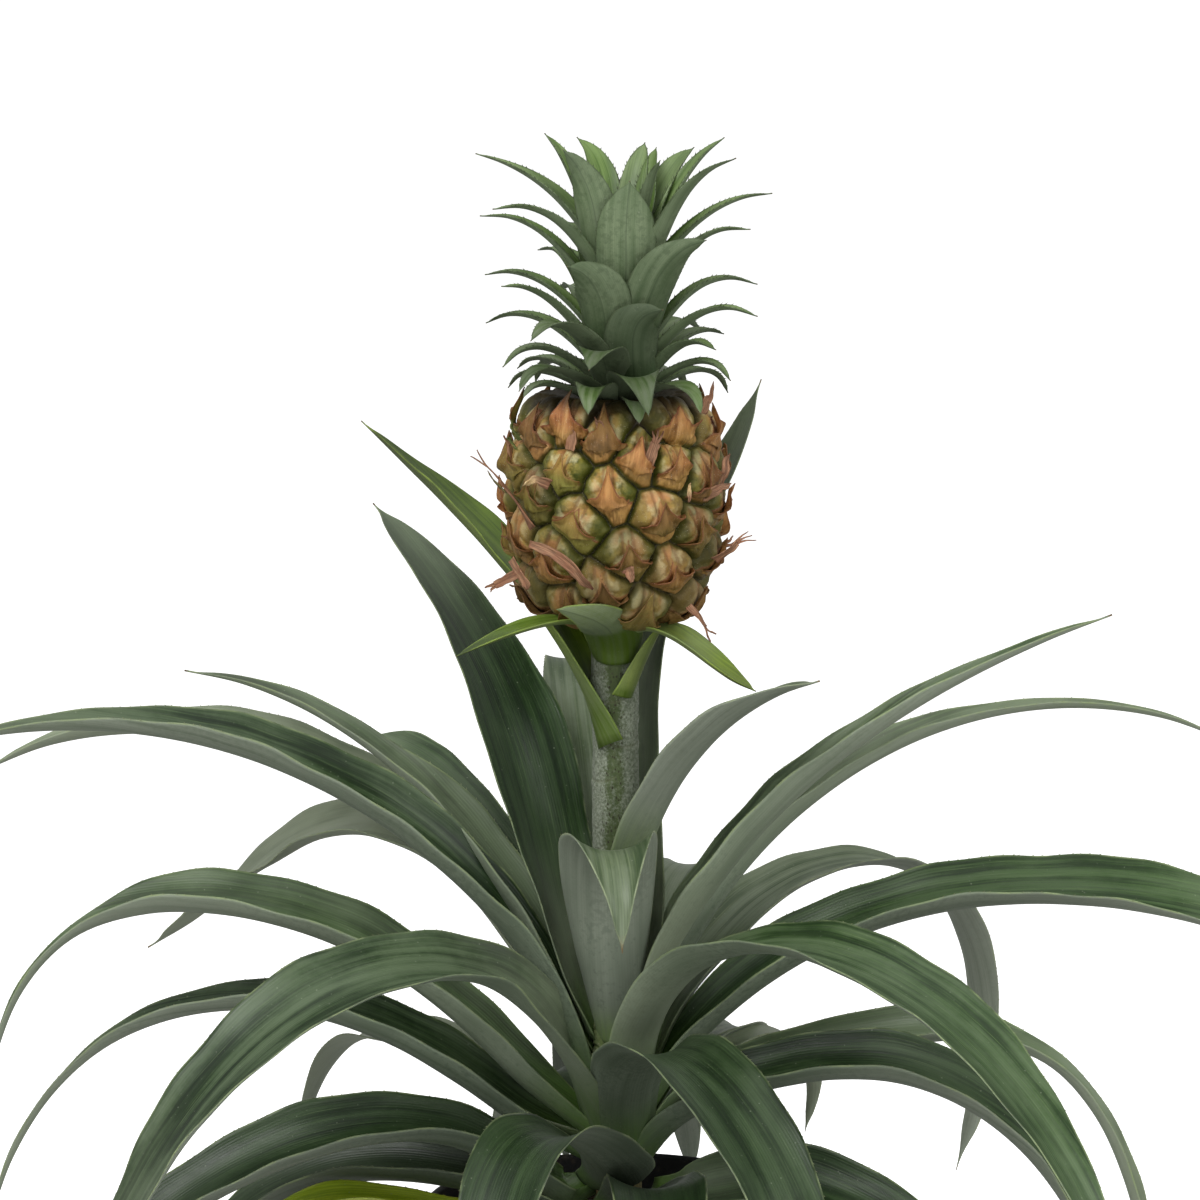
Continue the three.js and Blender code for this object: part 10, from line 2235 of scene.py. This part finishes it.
def paper_material():
    g = Nodes("bract_tip_skin")
    where = g.place()
    across, along, seed = g.parts(g.attr("fa").outputs["Vector"])
    q, tone, pale = g.parts(g.attr("fb").outputs["Vector"])
    thread = g.noise(g.vec(g.mul(across, 2.4), g.mul(along, 0.16), seed), detail=3.0, rough=0.6)
    cloud = g.noise(where, scale=0.3, detail=3.0)
    rust = g.mix(g.fit(thread, 0.3, 0.7), (104, 74, 54), (176, 132, 100))
    rust = g.mix(g.mul(g.fit(cloud, 0.45, 0.65), 0.5), rust, (138, 88, 64))
    straw = g.mix(g.fit(thread, 0.3, 0.7), (186, 150, 96), (232, 208, 158))
    olive = g.mix(g.fit(thread, 0.3, 0.7), (70, 84, 40), (118, 126, 68))
    colour = g.mix(g.fit(tone, 0.5, 0.0), rust, olive)
    colour = g.mix(pale, colour, straw)
    colour = g.mix(g.mul(g.fit(q, 0.75, 1.0), 0.55), colour, (92, 56, 42))
    normal = g.bump(thread, 0.16, 0.9)
    return g.finish(colour, g.fit(thread, 0.3, 0.7, 0.55, 0.8, "LINEAR"), normal, Specular_IOR_Level=0.35)


def ribbon(body, knots, widths, turn_by=0.6, curl=0.5, tone=1.0, pale=0.0, seed=1, facing=None, slot=1, split=0):
    """A papery bract tip: a thin strip along knots, twisted and slightly rolled, its end torn into split threads."""
    knots = np.asarray(knots, float)
    rng = np.random.default_rng(seed + 900)
    t = np.linspace(0, 1, 30)
    # smooth curve through the knots
    full = np.vstack([2 * knots[0] - knots[1], knots, 2 * knots[-1] - knots[-2]])
    x = t * (len(knots) - 1)
    i = np.minimum(x.astype(int), len(knots) - 2)
    f = (x - i)[:, None]
    p0, p1, p2, p3 = full[i], full[i + 1], full[i + 2], full[i + 3]
    K = 0.5 * (2 * p1 + (p2 - p0) * f + (2 * p0 - 5 * p1 + 4 * p2 - p3) * f * f + (3 * p1 - p0 - 3 * p2 + p3) * f ** 3)
    K = K + (np.stack([noise3(np.stack([t * 5, 0 * t + seed, 0 * t + k], -1), 12 + k) - 0.5 for k in range(3)], -1)) * 1.1 * t[:, None]
    T = unit(np.gradient(K, axis=0))
    out = np.array(facing if facing is not None else K[0] - np.array([FRUIT_X, 0, K[0][2]]), float)
    out = unit(out[None])
    B = unit(np.cross(T, np.repeat(out, len(T), 0)))
    N = np.cross(B, T)
    spin = turn_by * t * 2.2 + 0.35 * np.sin(t * 5 + seed)
    c, s = np.cos(spin)[:, None], np.sin(spin)[:, None]
    B, N = B * c + N * s, N * c - B * s
    w = np.interp(t, np.linspace(0, 1, len(widths)), widths) * (0.85 + 0.3 * noise3(np.stack([t * 9, 0 * t + seed, 0 * t], -1), 5))
    u = np.linspace(-1, 1, 7)
    lanes = [(-1.0, 1.0, 0.0)] if not split else None
    length = np.concatenate([[0], np.cumsum(np.linalg.norm(np.diff(K, axis=0), axis=1))])

    def strip(K, T, B, N, w, t0, length, roll):
        th = 0.16
        U = u[None, :]
        ang = roll * U
        X = w[:, None] * np.sin(ang) / max(abs(roll), 1e-3)
        Y = w[:, None] * (1 - np.cos(ang)) / max(abs(roll), 1e-3) + 0.18 * np.sin(U * 5 + seed) * w[:, None] * 0.3
        P = K[:, None] + X[..., None] * B[:, None] + Y[..., None] * N[:, None]
        nn = np.cos(ang)[..., None] * N[:, None] - np.sin(ang)[..., None] * B[:, None]
        up_, lo_ = P + nn * th, P - nn * th
        R, C = P.shape[:2]
        i = np.arange(R - 1)
        left = np.stack([i * C, (i + 1) * C, R * C + (i + 1) * C, R * C + i * C], -1)
        right = np.stack([i * C + C - 1, R * C + i * C + C - 1, R * C + (i + 1) * C + C - 1, (i + 1) * C + C - 1], -1)
        j = np.arange(C - 1)
        foot = np.stack([j, R * C + j, R * C + j + 1, j + 1], -1)
        e = (R - 1) * C
        tipq = np.stack([e + j, e + j + 1, R * C + e + j + 1, R * C + e + j], -1)
        ex = (w[:, None] * U).ravel()
        al = np.repeat(length, C)
        tq = np.repeat(t0, C)
        body.add(
            np.concatenate([up_.reshape(-1, 3), lo_.reshape(-1, 3)]),
            np.concatenate([grid_quads(R, C), grid_quads(R, C, R * C, flip=True), left, right, foot, tipq]),
            slot=slot,
            fa=np.tile(np.stack([ex, al, np.full(R * C, seed * 1.7)], -1), (2, 1)),
            fb=np.tile(np.stack([tq, np.full(R * C, tone), pale * smooth(0.2, 0.7, tq)], -1), (2, 1)),
            fc=np.zeros((2 * R * C, 3)), fd=np.zeros((2 * R * C, 3)), paper=np.ones(2 * R * C),
        )

    if not split:
        w = w * (1 - smooth(0.82, 1.0, t) * 0.85)
        strip(K, T, B, N, w, t, length, curl)
        return
    cut = 17
    strip(K[:cut + 1], T[:cut + 1], B[:cut + 1], N[:cut + 1], w[:cut + 1], t[:cut + 1], length[:cut + 1], curl)
    for k in range(split):
        off = (k - (split - 1) / 2) / split * 2
        tt = t[cut:]
        g_ = (tt - tt[0]) / (tt[-1] - tt[0])
        spread = off * w[cut] * 0.62 + off * g_ ** 1.3 * length[-1] * 0.13
        lift = rng.uniform(-0.1, 0.1) * g_ ** 1.5 * length[-1]
        KK = K[cut:] + B[cut:] * spread[:, None] + N[cut:] * lift[:, None]
        short = rng.uniform(0.7, 1.0)
        KK = KK[0] + (KK - KK[0]) * short
        ww = w[cut] / split * 0.95 * (1 - g_ * 0.75)
        strip(KK, T[cut:], B[cut:], N[cut:], ww, tt, length[cut:], curl * 0.5)


def at_photo(px, py, y):
    """A place by its pixel in the 1200 x 1200 view and its depth y."""
    v = (600 - py) * 0.33
    return np.array([(px - 618) * 0.33, y, 322 + (v + 0.165 * y) / 0.986])


for strip in TIPS:
    knots = []
    for px, py, y in strip["at"]:
        knots.append(at_photo(px, py, y))
    ribbon(body, knots, strip["w"], strip.get("twist", 0.5), strip.get("curl", 0.6), strip.get("tone", 1.0),
           strip.get("pale", 0.0), strip.get("seed", 3), split=strip.get("split", 0))

# the papery tips of the eyes that the view leaves out
for k in range(len(EYES)):
    if -160 < EYES[k][0] < -20 and eye_h[k] < 60:
        continue
    rng = np.random.default_rng(400 + k)
    if rng.uniform() < 0.25:
        continue
    root, nn, uu, ss = skin_point(np.array([eye_a[k]]), np.array([eye_h[k] + 1.0]), np.array([1.6]))
    root, nn, uu, ss = root[0], nn[0], uu[0], ss[0]
    long_ = rng.uniform(4, 10)
    lean_ = rng.uniform(-0.5, 0.5)
    out_ = rng.uniform(0.2, 0.75)
    if eye_h[k] > 58:
        out_ *= 0.6
        long_ *= 0.8
    knots = [root - uu * 3.0 - nn * 0.2, root + uu * 0.5 + nn * 0.5, root + uu * long_ * 0.5 + ss * lean_ * long_ * 0.4 + nn * out_ * long_ * 0.5,
             root + uu * long_ * 0.8 + ss * lean_ * long_ + nn * out_ * long_]
    ribbon(body, knots, [2.4, 1.9, 1.2, 0.7], rng.uniform(-0.8, 0.8), 0.8, rng.uniform(0.3, 1.0), 0.3 * (rng.uniform() < 0.3), k + 20, facing=nn, split=int(rng.integers(0, 3)) if long_ > 6 else 0)

stand_in(body.build("fruit_bracts", fruit_look, paper_material()), "fruit")


# ---------------------------------------------------------------- stage
def stage_material():
    g = Nodes("studio_paper")
    where = g.place()
    soft = g.noise(where, scale=0.01, detail=3.0)
    colour = g.mix(soft, (250, 250, 249), (252, 252, 251))
    return g.finish(colour, 0.9, None, Specular_IOR_Level=0.1, Emission_Color=(1, 1, 1, 1), Emission_Strength=0.62)


floor = Body()
sweep = [(0.01, 0.0), (300, 0.0), (900, 0.0), (2500, 0.0), (6000, 0.0), (12000, 0.0), (20000, 0.0)]
rings, ang = turn(sweep, 96)
floor.add(rings.reshape(-1, 3) - (0, 0, 0.15), grid_quads(len(sweep), 96, wrap=True))
floor_item = floor.build("studio_floor", stage_material())
floor_item.visible_diffuse = False
floor_item.visible_glossy = False

SKY_LOW, SKY_HIGH = 0.5, 0.62

scene = bpy.context.scene
world = bpy.data.worlds.new("studio")
scene.world = world
world.use_nodes = True
sky = world.node_tree
sky.nodes.clear()
# the studio's own light: bright overhead, dim at the sides, dark below; the
# paper behind the plant is plain white
toward = sky.nodes.new("ShaderNodeTexCoord")
split_up = sky.nodes.new("ShaderNodeSeparateXYZ")
sky.links.new(toward.outputs["Generated"], split_up.inputs[0])
spread = sky.nodes.new("ShaderNodeMapRange")
spread.interpolation_type = "SMOOTHSTEP"
spread.inputs[1].default_value, spread.inputs[2].default_value = -0.25, 1.0
spread.inputs[3].default_value, spread.inputs[4].default_value = SKY_LOW, SKY_HIGH
sky.links.new(split_up.outputs[2], spread.inputs[0])
glow = sky.nodes.new("ShaderNodeBackground")
sky.links.new(spread.outputs[0], glow.inputs[1])
paper = sky.nodes.new("ShaderNodeBackground")
paper.inputs[1].default_value = 1.45
ray = sky.nodes.new("ShaderNodeLightPath")
choose = sky.nodes.new("ShaderNodeMixShader")
sky.links.new(ray.outputs["Is Camera Ray"], choose.inputs[0])
sky.links.new(glow.outputs[0], choose.inputs[1])
sky.links.new(paper.outputs[0], choose.inputs[2])
end = sky.nodes.new("ShaderNodeOutputWorld")
sky.links.new(choose.outputs[0], end.inputs[0])


def softbox(name, place, aim, size, power, colour=(1, 1, 1)):
    lamp = bpy.data.lights.new(name, "AREA")
    lamp.shape = "RECTANGLE"
    lamp.size, lamp.size_y = size
    lamp.energy = power
    lamp.color = colour
    item = bpy.data.objects.new(name, lamp)
    item.location = place
    item.rotation_euler = (Vector(aim) - Vector(place)).to_track_quat("-Z", "Y").to_euler()
    scene.collection.objects.link(item)
    return item


softbox("key_soft", (-0.9, -1.3, 1.7), (0, 0, 0.25), (1.3, 1.3), 27.0)
softbox("fill_soft", (1.5, -1.0, 1.1), (0, 0, 0.28), (1.2, 1.2), 12.0)
softbox("top_soft", (0.0, 0.2, 1.9), (0, 0, 0.2), (1.6, 1.6), 5.0)

softbox("low_soft", (0.1, -1.7, 0.12), (0, 0, 0.3), (1.6, 0.5), 7.0)

camera = bpy.data.cameras.new("camera")
camera.sensor_width = 36.0
camera.lens = 145.45
camera.clip_end = 60.0
camera.dof.use_dof = False
camera_item = bpy.data.objects.new("camera", camera)
scene.collection.objects.link(camera_item)
target = Vector((-0.00594, 0.0, 0.322))
lift = math.radians(9.5)
camera_item.location = target + Vector((0.0, -math.cos(lift), math.sin(lift))) * 1.6
camera_item.rotation_euler = (target - camera_item.location).to_track_quat("-Z", "Y").to_euler()
scene.camera = camera_item
scene.view_settings.view_transform = "Standard"
scene.view_settings.look = "None"

bpy.context.view_layer.update()
